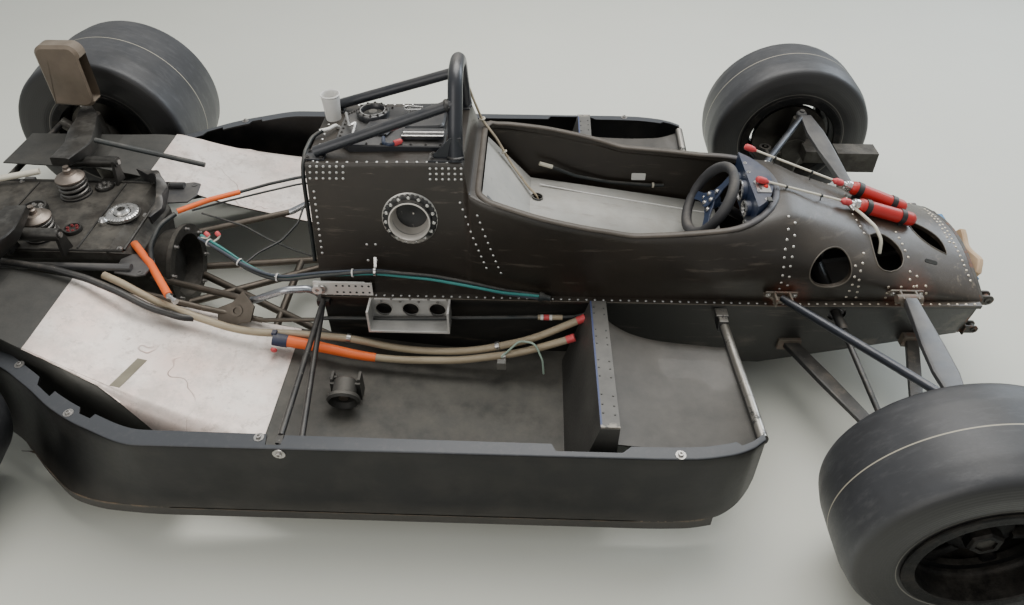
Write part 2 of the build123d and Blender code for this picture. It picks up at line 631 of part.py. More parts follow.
# Inlet fairing. Columns: x, half width at the inner edge, height there, height at the panel
INLET = [
    (POD_FRONT_X + 4, 360, 304, 348),
    (POD_FRONT_X - 10, 360, 300, 338),
    (POD_FRONT_X - 91, 350, 296, 315),
    (POD_FRONT_X - 191, 344, 302, 311),
    (POD_FRONT_X - 271, 338, 320, 313),
    (POD_FRONT_X - 331, 318, 342, 318),
    (RADIATOR_X + STRIP_W / 2 - 6, 300, 352, 321),
]
INLET_OUT, LIP_R = 722, 12
LIP_IN_Z, LIP_OUT_Z = 303, 348  # lip bar at the tub and at the panel
# Tunnel roof. Columns: x, height, half width at the inner edge, half width where the roof ends,
# half width and height of its outer foot
PANEL_INSIDE = POD_W - PANEL_T / 2
TUNNEL = [
    (RADIATOR_X + 22, 112, 226, 715, PANEL_INSIDE, 112),
    (BULKHEAD_FOOT_X, 112, 226, 715, PANEL_INSIDE, 112),
    (FRONT_AXLE_X - 1150, 118, 228, 715, PANEL_INSIDE, 118),
    (FRONT_AXLE_X - 1530, 165, 230, 700, PANEL_INSIDE - 6, 150),
    (TUB_REAR_X, 188, 232, 670, 775, 135),
    (FRONT_AXLE_X - 1690, 208, 252, 640, 750, 118),
    (FRONT_AXLE_X - 1900, 258, 256, 610, 692, POD_BOTTOM_Z),
    (FRONT_AXLE_X - 2110, 318, 256, 576, 642, POD_BOTTOM_Z),
    (FRONT_AXLE_X - 2320, 405, 260, 538, 552, POD_BOTTOM_Z),
    (FRONT_AXLE_X - 2480, 440, 262, 480, 492, POD_BOTTOM_Z),
]
TUNNEL_REAR = (FRONT_AXLE_X - 2800, 455, 262, 480, 492, POD_BOTTOM_Z)
SHIELD_T = 2
SHIELD_FROM, SHIELD_TO = 5, 9  # rows of the tunnel roof under the shield


def inlet_section(row):
    x, w_in, z0, z1 = row
    top = [(-w_in, z0), (-(w_in + INLET_OUT) / 2, (z0 + z1) / 2 - 8), (-INLET_OUT, z1)]
    return x, [(y, z - SKIN) for y, z in top] + list(reversed(top))


def radiator_bulkhead():
    foot_z = TUNNEL[0][1]
    back, front = RADIATOR_X - STRIP_W / 2, RADIATOR_X + STRIP_W / 2
    faces = []
    for y, z in ((BULKHEAD_IN, BULKHEAD_IN_Z), (BULKHEAD_OUT, BULKHEAD_OUT_Z)):
        points = [(BULKHEAD_FOOT_X, -y, foot_z), (front - 2, -y, foot_z), (front, -y, z), (back, -y, z)]
        faces.append(Wire.make_polygon([Vector(*p) for p in points], close=True))
    return Solid.make_loft(faces, ruled=True)


def inlet_bracket():
    """Upright plate that ties the lip bar to the underside of the tub's joint flange."""
    x = INLET[0][0] - 5
    return block((x - 9, x + 9), (-FLANGE_W - 22, -TUB_W + 6), (LIP_IN_Z - LIP_R, LIP_IN_Z + 26))


def inlet_fairing():
    """Thin dished sheet from the rounded front lip to the radiator bulkhead."""
    x = INLET[0][0]
    lip = rod((x, -TUB_W + 6, LIP_IN_Z - LIP_R), (x, -POD_FRONT_W + 2, LIP_OUT_Z - LIP_R), LIP_R)
    fairing = skin_loft([inlet_section(row) for row in INLET]) + lip + inlet_bracket()
    return seated(fairing, "side_panels", "tub_lower", "radiator_bulkheads")


def roof_line(row, lift, count=5):
    """The roof's flat top and the curve down to its foot, right side."""
    x, z, w0, w1, w2, low_z = row
    drop = z - low_z
    line = [(w0, z), (w1, z), (w1 + (w2 - w1) * 0.6, z - drop * 0.16), (w1 + (w2 - w1) * 0.95, z - drop * 0.55)]
    line.append((w2, low_z))
    return [(-y, h + lift) for y, h in line[:count]]


def roof_section(row, low, high, count=5):
    """Closed strip between two lifts of the roof line."""
    return row[0], roof_line(row, low, count) + list(reversed(roof_line(row, high, count)))


def tunnel_roof():
    roof = skin_loft([roof_section(row, -SKIN, 0) for row in TUNNEL])
    roof += skin_loft([roof_section(row, -SKIN, 0, 2) for row in (TUNNEL[-1], TUNNEL_REAR)])
    return seated(roof, "tub_lower", "side_panels")


def heat_shield():
    """Bright sheet that lies on the rear of the tunnel roof and bends down at its outer edge."""
    return skin_loft([roof_section(row, 0, SHIELD_T, 4) for row in TUNNEL[SHIELD_FROM:SHIELD_TO]])


save("radiator_bulkheads", *both(radiator_bulkhead()))
save("inlet_fairings", *both(inlet_fairing()))
save("tunnel_roofs", *both(tunnel_roof()))
save("heat_shields", *both(heat_shield()))

# Struts from the tub's rear corner to the side panel
STRUT_X = FRONT_AXLE_X - 1598
STRUT_R = 8


def pod_struts():
    tub = (STRUT_X - 8, -FLANGE_W - 4, JOINT_Z - 10)
    top = (STRUT_X + 8, -POD_W + 22, POD_TOP_Z - 8)
    low = (STRUT_X + 46, -POD_W + 30, POD_TOP_Z - 60)
    brace = rod(tub, top, STRUT_R) + rod(tub, low, STRUT_R) + rod(low, top, STRUT_R - 2)
    brace += block((STRUT_X - 26, STRUT_X + 10), (-FLANGE_W - 12, -TUB_W), (JOINT_Z - 26, JOINT_Z - FLANGE_T))
    return seated(brace, "tub_lower", "side_panels")


save("pod_struts", *both(pod_struts()))

# Hoses and the cable loom along the right side of the tub
HOSE_R = 11
HOSES = [
    [(RADIATOR_X - 60, -285, 300), (RADIATOR_X - 190, -310, 246), (RADIATOR_X - 370, -318, 196),
     (RADIATOR_X - 560, -312, 186), (RADIATOR_X - 720, -306, 232), (RADIATOR_X - 880, -306, 276),
     (RADIATOR_X - 1010, -312, 262), (RADIATOR_X - 1120, -322, 318), (RADIATOR_X - 1250, -300, 340)],
    [(RADIATOR_X - 90, -330, 270), (RADIATOR_X - 220, -336, 218), (RADIATOR_X - 400, -348, 190),
     (RADIATOR_X - 560, -350, 190), (RADIATOR_X - 700, -352, 216), (RADIATOR_X - 820, -350, 250),
     (RADIATOR_X - 910, -350, 268)],
]
LOOM_R = 9
LOOM = [(TUB_REAR_X + 640, -258, 372), (TUB_REAR_X + 480, -262, 392), (TUB_REAR_X + 340, -258, 436),
        (TUB_REAR_X + 180, -256, 452), (TUB_REAR_X + 20, -262, 440), (TUB_REAR_X - 110, -262, 416),
        (TUB_REAR_X - 230, -262, 430), (TUB_REAR_X - 320, -232, 470)]


def bends(points):
    """Bend radius at each inner point: 0.45 of the shorter run over the tangent of half the turn."""
    radii = []
    for a, b, c in zip(points, points[1:], points[2:]):
        a, b, c = Vector(*a), Vector(*b), Vector(*c)
        turn = math.radians((b - a).get_angle(c - b))
        radii.append(0.45 * min((b - a).length, (c - b).length) / math.tan(turn / 2))
    return radii


def hose(points, r):
    radii = bends(points)
    return tube(points, r, radii)


save("coolant_hoses", *[hose(points, HOSE_R) for points in HOSES])
save("cable_loom", hose(LOOM, LOOM_R))

# Small trays on the right side: a tray with three round holes and the drilled engine plate
TRAY_X, TRAY_LEN = TUB_REAR_X + 142, 237


def three_hole_tray():
    y0, y1 = -FLANGE_W - 62, -FLANGE_W
    top, low = JOINT_Z + 2, JOINT_Z - 78
    tray = block((TRAY_X, TRAY_X + TRAY_LEN), (y0, y1), (low, top))
    tray -= block((TRAY_X + 6, TRAY_X + TRAY_LEN - 6), (y0 - 1, y1 - 6), (low + 6, top + 1))
    for i in range(3):
        x = TRAY_X + TRAY_LEN * (i + 0.5) / 3
        tray -= rod((x, y1 - 8, JOINT_Z - 36), (x, y1 + 1, JOINT_Z - 36), 25)
    return tray


def engine_plate():
    """Drilled plate that ties the tub's rear corner to the engine."""
    x0 = TUB_REAR_X - 18
    plate = block((x0, x0 + 150), (-FLANGE_W + 6, -FLANGE_W + 10), (JOINT_Z + FLANGE_T, JOINT_Z + 54))
    x, z = x0 + 12, JOINT_Z + 30
    boss = rod((x, -FLANGE_W - 6, z), (x, -FLANGE_W + 14, z), 15)
    return plate + boss - rod((x, -FLANGE_W - 7, z), (x, -FLANGE_W + 20, z), 6)


save("mount_plates", three_hole_tray(), *both(engine_plate()))

# Engine bay: the tubes that join the tub to the bell housing
FRAME_R = 12
BAY_LOW_Z = 118


def engine_frame():
    """Crossed tubes along the floor and a bent tube along each side."""
    bell, rear = BELL_X, TUB_REAR_X
    frame = rod((rear - 200, -168, BAY_LOW_Z + 5), (rear - 200, 168, BAY_LOW_Z + 5), FRAME_R)
    for sign in (-1, 1):
        start = (rear + 1, sign * 200, BAY_LOW_Z)
        for end in (-104, 104):
            frame += rod(start, (bell - 4, end, BAY_LOW_Z + 20), FRAME_R)
        side = [(rear + 1, sign * 214, JOINT_Z - 44), (rear - 90, sign * 236, JOINT_Z + 10),
                (rear - 220, sign * 222, JOINT_Z - 46), (bell - 4, sign * 104, CRANK_Z + 34)]
        frame += tube(side, FRAME_R - 2, 46)
    return seated(frame - block((bell - 60, bell), (-200, 200), (0, 400)), "tub_lower")


def bell_housing():
    length = BELL_X - GEARBOX_FRONT_X
    flange = rod((BELL_X - 14, 0, CRANK_Z), (BELL_X, 0, CRANK_Z), BELL_R)
    cone = Solid.make_loft([
        (at(BELL_X - 14) * Pos(0, CRANK_Z) * Circle(BELL_R - 8)).face().outer_wire(),
        (at(GEARBOX_FRONT_X) * Pos(0, CRANK_Z) * Circle(BELL_R - 22)).face().outer_wire()], ruled=True)
    bore = rod((BELL_X - length + 12, 0, CRANK_Z), (BELL_X + 1, 0, CRANK_Z), BELL_R - 32)
    body = flange + cone - bore
    for i in range(BELL_BOLTS):
        a = math.radians(360 * (i + 0.5) / BELL_BOLTS)
        y, z = BELL_PCR * math.cos(a), CRANK_Z + BELL_PCR * math.sin(a)
        body -= rod((BELL_X - 15, y, z), (BELL_X + 1, y, z), BELL_BOLT_R)
    return body


# Gearbox: stations of the case. Columns: x, half width at the top, top height, half width below, bottom height
CASE = [
    (GEARBOX_FRONT_X, 120, 380, 104, 130),
    (GEARBOX_FRONT_X - 60, GEARBOX_W, GEARBOX_TOP_Z, 120, 110),
    (REAR_AXLE_X + 120, GEARBOX_W, GEARBOX_TOP_Z, 128, 96),
    (REAR_AXLE_X - 110, GEARBOX_W - 10, GEARBOX_TOP_Z, 124, 110),
    (REAR_AXLE_X - 180, 96, 400, 78, 180),
    (REAR_AXLE_X - REAR_OVERHANG, 70, 370, 58, 230),
]
TAIL_BOLT_Y, TAIL_BOLT_Z, TAIL_BOLT_R, TAIL_BOLT_DEPTH = 45, 50, 5.2, 30


def gearbox():
    sections = []
    for x, top_w, top, low_w, low in CASE:
        waist = low + (top - low) * 0.72
        side = [(low_w - 14, low), (low_w, low + 16), (low_w + 4, waist), (top_w, top - 26), (top_w, top)]
        sections.append((x, mirrored(side)))
    case = skin_loft(sections)
    tail_x, tail_z = CASE[-1][0], (CASE[-1][2] + CASE[-1][4]) / 2
    for y in (-TAIL_BOLT_Y, TAIL_BOLT_Y):
        for z in (tail_z - TAIL_BOLT_Z, tail_z + TAIL_BOLT_Z):
            case -= rod((tail_x - 1, y, z), (tail_x + TAIL_BOLT_DEPTH, y, z), TAIL_BOLT_R)
    for sign in (-1, 1):  # output flanges at the drive shafts
        face = (REAR_AXLE_X, sign * (SHAFT_IN - GAP), REAR_TYRE_R)
        case += rod((REAR_AXLE_X, sign * 100, REAR_TYRE_R), face, 52)
    return case


# Round covers on the gearbox top. Columns: x, y, radius, height
COVERS = [
    (FRONT_AXLE_X - 2276, 0, 52, 26),
    (FRONT_AXLE_X - 2400, 148, 30, 14),
    (FRONT_AXLE_X - 2393, -84, 26, 16),
    (FRONT_AXLE_X - 2560, 10, 40, 30),
]
LINK_Y, LINK_Z, LINK_R = -212, 408, 11


def gearbox_cover(x, y, r, h):
    cover = extrude(Circle(r), amount=h * 0.45) + extrude(Circle(r * 0.62), amount=h)
    return Pos(x, y, GEARBOX_TOP_Z) * cover


def side_link():
    """Long tube along the side of the gearbox with its bracket plates."""
    x0, x1 = FRONT_AXLE_X - 2164, REAR_AXLE_X - 40
    link = rod((x0, LINK_Y, LINK_Z), (x1, LINK_Y, LINK_Z), LINK_R)
    link += block((x0 - 60, x0 + 36), (LINK_Y - 20, -GEARBOX_W + 70), (LINK_Z - 14, LINK_Z - 8))
    link += block((x1 - 4, x1 + 24), (LINK_Y - 14, -GEARBOX_W + 10), (LINK_Z - 16, LINK_Z + 14))
    return seated(link, "gearbox")


save("engine_frame", engine_frame())
save("bell_housing", bell_housing())
save("gearbox", gearbox())
save("gearbox_covers", *[gearbox_cover(*row) for row in COVERS])
save("side_links", *both(side_link()))

# Rear suspension. The rocker's inner end presses on the spring, its outer end holds the upright
SPRING_X, SPRING_Y, SPRING_TOP_Z, SPRING_R = FRONT_AXLE_X - 2474, 107, 498, 46
COILS = 4
REAR_PIVOT = (FRONT_AXLE_X - 2440, -192, 508)
REAR_BALL_TOP = (REAR_AXLE_X + 12, -REAR_BALL_Y, UPRIGHT_TOP_Z + 55)
REAR_BALL_LOW = (REAR_AXLE_X, -REAR_BALL_Y, UPRIGHT_LOW_Z)


def spring_damper():
    """Coils as a stack of rounded rings round the damper body, with a cap on top."""
    base = GEARBOX_TOP_Z
    body = rod((SPRING_X, -SPRING_Y, base), (SPRING_X, -SPRING_Y, SPRING_TOP_Z + 26), 24)
    pitch = (SPRING_TOP_Z - base) / COILS
    for i in range(COILS):
        ring = Pos(SPRING_X, -SPRING_Y, base + pitch * (i + 0.5)) * Torus(SPRING_R - 8, 6.5)
        web = Pos(SPRING_X, -SPRING_Y, base + pitch * (i + 0.5)) * Cylinder(SPRING_R - 8, 4)
        body += ring + web
    cap = (SPRING_X, -SPRING_Y, SPRING_TOP_Z)
    return body + rod(cap, (SPRING_X, -SPRING_Y, SPRING_TOP_Z + 14), SPRING_R - 4)


def rear_arms():
    """Rocker on its pivot brackets, lower wishbone and toe link."""
    inner = (SPRING_X, -SPRING_Y - 20, SPRING_TOP_Z + 50)
    x, y, z = REAR_PIVOT
    rocker = blade(inner, REAR_PIVOT, 38, 66, 44, 62) + blade(REAR_PIVOT, REAR_BALL_TOP, 66, 30, 62, 34)
    rocker += rod((x - 92, y, z), (x + 84, y, z), 19)
    for bracket in (x - 88, x + 72):
        rocker += block((bracket, bracket + 10), (y - 10, y + 36), (GEARBOX_TOP_Z, z))
    lower = blade((REAR_AXLE_X + 250, -118, 150), REAR_BALL_LOW, 22, 16, 24, 20)
    lower += blade((REAR_AXLE_X - 120, -112, 150), REAR_BALL_LOW, 22, 16, 24, 20)
    toe_x = REAR_AXLE_X - TOE_ARM
    toe = blade((toe_x, -GEARBOX_W + 20, TOE_Z), (toe_x, -REAR_BALL_Y, TOE_Z), 11, 11, 18, 18)
    return [seated(rocker, "gearbox", "spring_dampers", "rear_uprights"),
            seated(lower, "gearbox", "rear_uprights"), seated(toe, "gearbox", "rear_uprights")]


def rear_upright():
    """Cast post with the hub bearing; the drive shaft turns in its bore."""
    x, y = REAR_AXLE_X, -REAR_BALL_Y
    top = (REAR_BALL_TOP[0], y, REAR_BALL_TOP[2] - 24)
    post = blade((x, y, UPRIGHT_LOW_Z - 16), (x, y, REAR_TYRE_R), 34, 62, 52, 60)
    post += blade((x, y, REAR_TYRE_R), top, 62, 34, 60, 46)
    post += blade((x, y, REAR_TYRE_R), (x - TOE_ARM, y, TOE_Z + 10), 20, 20, 34, 34, wide=(0, 1, 0))
    post += rod((x, y - 50, REAR_TYRE_R), (x, y + 46, REAR_TYRE_R), 68)
    return post - rod((x, y - 60, REAR_TYRE_R), (x, y + 60, REAR_TYRE_R), HUB_R + RUNNING)


DUCT_BACK, DUCT_LENGTH, DUCT_TOP_Z, DUCT_W = 27, 160, 785, 62


def rear_duct():
    """Tall scoop with a round top, open at the front, on a foot that stands on the rocker."""
    x0 = REAR_AXLE_X - DUCT_BACK
    x1 = x0 + DUCT_LENGTH
    y0, y1 = -REAR_BALL_Y + 60, -REAR_BALL_Y + 60 + DUCT_W
    low = REAR_BALL_TOP[2] + 62
    corners = [(x0, low), (x1, low), (x1, DUCT_TOP_Z), (x0, DUCT_TOP_Z)]
    shape = make_face(FilletPolyline(*corners, radius=[0, 0, 56, 46], close=True))
    scoop = extrude(Plane(origin=(0, y1, 0), x_dir=(1, 0, 0), z_dir=(0, -1, 0)) * shape, amount=DUCT_W)
    scoop -= block((x0 + 8, x1 + 5), (y0 + 5, y1 - 5), (low + 8, DUCT_TOP_Z - 44))
    foot = block((x0 + 70, x0 + 106), (y0 + 18, y1 - 18), (REAR_BALL_TOP[2], low + 4))
    return seated(scoop + foot, "rear_arms")


save("spring_dampers", *both(spring_damper()))
save("rear_uprights", *both(rear_upright()))
save("rear_arms", *[piece for arm in rear_arms() for piece in both(arm)])
save("rear_ducts", *both(rear_duct()))

# Front suspension
TOP_BALL = (FRONT_AXLE_X, -FRONT_BALL_Y, UPRIGHT_TOP_Z + 18)
LOW_BALL = (FRONT_AXLE_X, -FRONT_BALL_Y, UPRIGHT_LOW_Z)
ROCKER_PIVOT = (FRONT_AXLE_X + 55, -FLANGE_W - 22, 404)
ROCKER_REAR = (FRONT_AXLE_X - 290, -FLANGE_W - 8, 388)


def front_arms():
    """Boxed top arm with a streamlined rear leg and its tub brackets, and the lower wishbone."""
    x, y, z = ROCKER_PIVOT
    ball_x, ball_y = FRONT_AXLE_X, -FRONT_BALL_Y
    top = blade(ROCKER_PIVOT, TOP_BALL, 19, 38, 34, 26) + blade(ROCKER_REAR, TOP_BALL, 15, 15, 16, 16)
    top += rod((x - 40, y, z), (x + 40, y, z), 16)
    for foot_x, foot_y, foot_z in (ROCKER_PIVOT, ROCKER_REAR):
        top += block((foot_x - 44, foot_x + 44), (foot_y - 6, -TUB_W + 16), (foot_z - 10, foot_z - 2))
    room = (ball_y - 80, ball_y + 34)
    top -= block((ball_x - 60, ball_x + 60), room, (TOP_BALL[2] - 60, TOP_BALL[2] - 7))
    lower = blade((ball_x - 215, -TUB_W + 16, 172), LOW_BALL, 24, 18, 22, 18)
    lower += blade((ball_x + 150, -TUB_W + 22, 196), LOW_BALL, 22, 18, 22, 18)
    lower -= block((ball_x - 60, ball_x + 60), room, (LOW_BALL[2] + 3, LOW_BALL[2] + 60))
    return [seated(top, "tub_upper", "tub_lower"), seated(lower, "tub_lower")]


save("front_arms", *[piece for arm in front_arms() for piece in both(arm)])

# The rack bar slides in its housing; its rods turn the knuckles by a pin behind each ball joint
RACK_HALF = 300
PIN_GAP, PIN_R, EYE_R, EYE_BORE_R, EYE_T = 2, 5, 22, 14, 14
TRACK_ROD_R = 8
ARM_T = 12
STUB_R = 24
BALL_GAP = 7.5


def steering_rack():
    """Rack bar with its two track rods; each ends in an eye above the knuckle's arm."""
    rack = rod((RACK_X, -RACK_HALF, RACK_Z), (RACK_X, RACK_HALF, RACK_Z), RACK_R)
    for sign in (-1, 1):
        end = sign * (FRONT_BALL_Y - EYE_R + 2)
        rack += rod((RACK_X, sign * (RACK_HALF - 10), RACK_Z), (RACK_X, end, RACK_Z), TRACK_ROD_R)
        eye = Cylinder(EYE_R, EYE_T) - Cylinder(EYE_BORE_R, EYE_T + 2)
        rack += Pos(RACK_X, sign * FRONT_BALL_Y, RACK_Z) * eye
    return rack


def front_knuckle():
    """Upright with the stub axle, the steering arm and its pin, and the scoop that cools the brake."""
    x, y, z = FRONT_AXLE_X, -FRONT_BALL_Y, FRONT_TYRE_R
    post = blade((x, y, LOW_BALL[2] + 3 + BALL_GAP), (x, y, z), 26, 46, 34, 44)
    post += blade((x, y, z), (x, y, TOP_BALL[2] - 7 - BALL_GAP), 46, 26, 44, 34)
    post += rod((x, y - 26, z), (x, y + 24, z), 46)
    post += rod((x, y - 20, z), (x, -FRONT_TRACK / 2 - FRONT_DISC_AT - NUT_LENGTH - 20, z), STUB_R)
    arm_z = RACK_Z - TRACK_ROD_R - PIN_GAP - ARM_T / 2
    post += blade((x - 20, y, arm_z), (RACK_X - 12, y, arm_z), 18, 14, ARM_T, ARM_T, wide=(0, 1, 0))
    post += rod((RACK_X, y, arm_z), (RACK_X, y, RACK_Z + EYE_T / 2 + PIN_GAP), PIN_R)
    scoop = block((x + 120, x + 270), (y + 60, y + 130), (280, 360))
    scoop -= block((x + 112, x + 271), (y + 66, y + 124), (286, 354))
    neck = block((x + 20, x + 126), (y - 6, y + 90), (292, 340))
    neck -= block((x + 60, x + 127), (y + 30, y + 84), (298, 334))
    return post + scoop + neck


save("steering_rack", steering_rack())
knuckle = front_knuckle()
save("knuckle_right", knuckle)
save("knuckle_left", mirror(knuckle, about=Plane.XZ))


# Wheels: profiles are (radius, distance outboard of the wheel's middle), turned about the axle
def wheel_place(x, z, track, side):
    """Local Z of a turned profile points outboard."""
    return Plane(origin=(x, side * track / 2, z), x_dir=(1, 0, 0), z_dir=(0, side, 0))


def turned(points):
    return revolve(Plane.XZ * outline(points), axis=Axis.Z)


def tyre(radius, width, shoulder):
    """Slick tyre; shoulder is the tread's share of the width."""
    h = width / 2
    tread, bead = h * shoulder, h - FLANGE_T_RIM
    half = [(radius, tread * 0.5), (radius - SHOULDER_DROP, tread), (radius - 60, h), (FLANGE_R + 30, h),
            (FLANGE_R + 3, bead), (BEAD_R, bead)]
    return turned([(r, -y) for r, y in reversed(half)] + half)


def rim(width, disc_at, bore, nut_r):
    """Barrel with rolled flanges, a centre with windows between its spokes and the wheel nut."""
    h = width / 2
    bead, wall = h - FLANGE_T_RIM, BEAD_R - BARREL_WALL
    body = turned([(wall, -h), (FLANGE_R, -h), (FLANGE_R, -bead), (BEAD_R, -bead),
                   (BEAD_R, bead), (FLANGE_R, bead), (FLANGE_R, h), (wall, h)])
    face = disc_at + DISC_CENTRE_T
    centre = turned([(bore, disc_at), (wall + 1, disc_at + 6), (wall + 1, face - 4),
                     (HUB_R + 26, face), (bore, face)])
    window = RectangleRounded(wall - HUB_R - 44, 74, 20)
    for i in range(SPOKES):
        turn = Rot(0, 0, 360 * (i + 0.5) / SPOKES)
        centre -= turn * Pos((HUB_R + 20 + wall) / 2, 0, disc_at - 10) * extrude(window, amount=60)
    nut = turned([(bore, face), (nut_r, face), (nut_r - 4, face + NUT_LENGTH), (bore, face + NUT_LENGTH)])
    return body + centre + nut


def brake_disc(y0, bore, hat_to):
    """Disc on its hat; the hat reaches out to the wheel centre."""
    inner = DISC_R - 58
    return turned([(bore, y0), (DISC_R, y0), (DISC_R, y0 + DISC_T), (inner, y0 + DISC_T), (inner, y0 + 14),
                   (BRAKE_HAT_R, y0 + 14), (BRAKE_HAT_R, hat_to), (bore, hat_to)])


FRONT_BRAKE_AT = -(FRONT_TRACK / 2 - FRONT_BALL_Y) + 62
REAR_BRAKE_AT = -(REAR_TRACK / 2 - REAR_BALL_Y) + 84


def driveshaft():
    """Shaft with its joint housings and the hub that runs in the upright."""
    inner = SHAFT_IN - REAR_TRACK / 2
    upright = REAR_BALL_Y - REAR_TRACK / 2
    end = REAR_DISC_AT + DISC_CENTRE_T + NUT_LENGTH
    return turned([(0, inner), (50, inner), (50, inner + 44), (18, inner + 62), (18, upright - 96),
                   (48, upright - 80), (48, upright - 54), (HUB_R, upright - 54), (HUB_R, end), (0, end)])


for label, side in (("right", -1), ("left", 1)):
    place = wheel_place(FRONT_AXLE_X, FRONT_TYRE_R, FRONT_TRACK, side)
    bore = STUB_R + RUNNING
    save("tyre_front_" + label, place * tyre(FRONT_TYRE_R, FRONT_TYRE_W, FRONT_SHOULDER))
    save("rim_front_" + label, place * rim(FRONT_TYRE_W, FRONT_DISC_AT, bore, 40))
    save("brake_front_" + label, place * brake_disc(FRONT_BRAKE_AT, bore, FRONT_DISC_AT))
    place = wheel_place(REAR_AXLE_X, REAR_TYRE_R, REAR_TRACK, side)
    hub = driveshaft() + brake_disc(REAR_BRAKE_AT, HUB_R, REAR_DISC_AT)
    save("tyre_rear_" + label, place * tyre(REAR_TYRE_R, REAR_TYRE_W, REAR_SHOULDER))
    save("rim_rear_" + label, place * rim(REAR_TYRE_W, REAR_DISC_AT, HUB_R, HUB_R + 14))
    save("drive_rear_" + label, place * hub)

for name, shape in nodes.items():
    export_step(shape, f"parts/{name}.step")
print(len(nodes), "nodes")
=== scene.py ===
# %% [markdown]
# # A stripped single-seater, finished piece by piece
# The car stands in a workshop without nose, engine and wings. The solids from the drawing stay where
# they are; this lesson gives them their finishes and lays the rounded skins, rivets, hoses and cables
# over them. Every length is in metres: X forward, Y to the car's left, Z up.

import math

import bmesh
import bpy
import numpy as np
from mathutils.bvhtree import BVHTree
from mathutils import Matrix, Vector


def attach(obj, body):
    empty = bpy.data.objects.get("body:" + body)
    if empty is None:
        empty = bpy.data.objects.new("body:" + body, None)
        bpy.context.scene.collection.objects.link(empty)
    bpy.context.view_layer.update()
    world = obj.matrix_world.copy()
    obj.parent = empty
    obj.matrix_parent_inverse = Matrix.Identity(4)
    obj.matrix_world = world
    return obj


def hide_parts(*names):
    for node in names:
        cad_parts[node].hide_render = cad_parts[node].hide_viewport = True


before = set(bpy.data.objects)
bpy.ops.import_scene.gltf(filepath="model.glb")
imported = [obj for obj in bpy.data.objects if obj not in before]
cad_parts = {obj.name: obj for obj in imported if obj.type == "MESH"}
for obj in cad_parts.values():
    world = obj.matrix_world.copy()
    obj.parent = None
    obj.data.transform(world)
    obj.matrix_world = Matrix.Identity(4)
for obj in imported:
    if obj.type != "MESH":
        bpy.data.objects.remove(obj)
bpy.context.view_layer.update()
F_AXLE, R_AXLE = 1.33, -1.333
AHEAD, LEFT, UP = (1, 0, 0), (0, 1, 0), (0, 0, 1)

# %% [markdown]
# ## Camera and light
# The photograph looks down at the car's right side from about head height, close by and with a wide
# lens. The light is soft and comes from above, as from a row of roof windows, with a weak cool fill.

# %% Camera
camera_data = bpy.data.cameras.new("camera")
camera_data.sensor_width, camera_data.lens = 36.0, 26.625
camera_data.shift_x, camera_data.shift_y = 0.0021, -0.055
camera = bpy.data.objects.new("camera", camera_data)
camera.location = (0.3257, -1.8557, 1.8521)
camera.rotation_euler = (0.889, 0.0015, 0.0335)
bpy.context.collection.objects.link(camera)
bpy.context.scene.camera = camera
print("camera at", tuple(round(v, 3) for v in camera.location))


# %% Lights and world
def area_light(name, place, aim, size, power, colour):
    """A square lamp at place that faces aim."""
    data = bpy.data.lights.new(name, "AREA")
    data.shape, data.size, data.energy, data.color = "SQUARE", size, power, colour
    lamp = bpy.data.objects.new(name, data)
    lamp.location = place
    back = Vector(place) - Vector(aim)
    lamp.rotation_euler = back.to_track_quat("Z", "Y").to_euler()
    bpy.context.collection.objects.link(lamp)
    return lamp


area_light("roof", (0.6, 1.2, 4.2), (0, 0, 0.2), 3.4, 215, (1.0, 0.98, 0.94))
area_light("front_window", (4.4, 2.6, 2.6), (0.8, 0, 0.4), 2.2, 105, (0.8, 0.9, 1.0))
area_light("fill", (-2.2, -4.2, 2.8), (0, 0, 0.3), 3.6, 80, (1.0, 0.95, 0.88))
world = bpy.data.worlds.new("room")
bpy.context.scene.world = world
world.use_nodes = True
world.node_tree.nodes["Background"].inputs["Color"].default_value = (0.56, 0.58, 0.58, 1)
world.node_tree.nodes["Background"].inputs["Strength"].default_value = 0.8

# %% [markdown]
# ## Shader sums
# A finish is easier to read as arithmetic. `Value` wraps a socket, so `1 - mask * 0.4` adds the Math
# nodes by itself. Colours go through Mix nodes, and every other node comes from `Finish.node`.


# %% Value: arithmetic on sockets
class Value:
    """A number socket that can be added, multiplied and compared."""

    def __init__(self, finish, socket):
        self.finish, self.socket = finish, socket

    def _math(self, operation, a, b=None, clamp=False):
        values = {0: a} if b is None else {0: a, 1: b}
        return self.finish.node("ShaderNodeMath", {"operation": operation, "use_clamp": clamp}, values)

    def __add__(self, other):
        return self._math("ADD", self, other)

    def __radd__(self, other):
        return self._math("ADD", other, self)

    def __sub__(self, other):
        return self._math("SUBTRACT", self, other)

    def __rsub__(self, other):
        return self._math("SUBTRACT", other, self)

    def __mul__(self, other):
        return self._math("MULTIPLY", self, other)

    def __rmul__(self, other):
        return self._math("MULTIPLY", other, self)

    def __truediv__(self, other):
        return self._math("DIVIDE", self, other)

    def __pow__(self, other):
        return self._math("POWER", self, other)

    def above(self, edge, soft=0.05):
        """0 below edge and 1 above it, with a soft step."""
        return self._math("MULTIPLY", self - (edge - soft), 1 / (2 * soft), clamp=True)

    def below(self, edge, soft=0.05):
        return 1 - self.above(edge, soft)

    def clipped(self):
        return self._math("ADD", self, 0.0, clamp=True)

    def absolute(self):
        return self._math("ABSOLUTE", self)

    def either(self, other):
        return self._math("MAXIMUM", self, other)


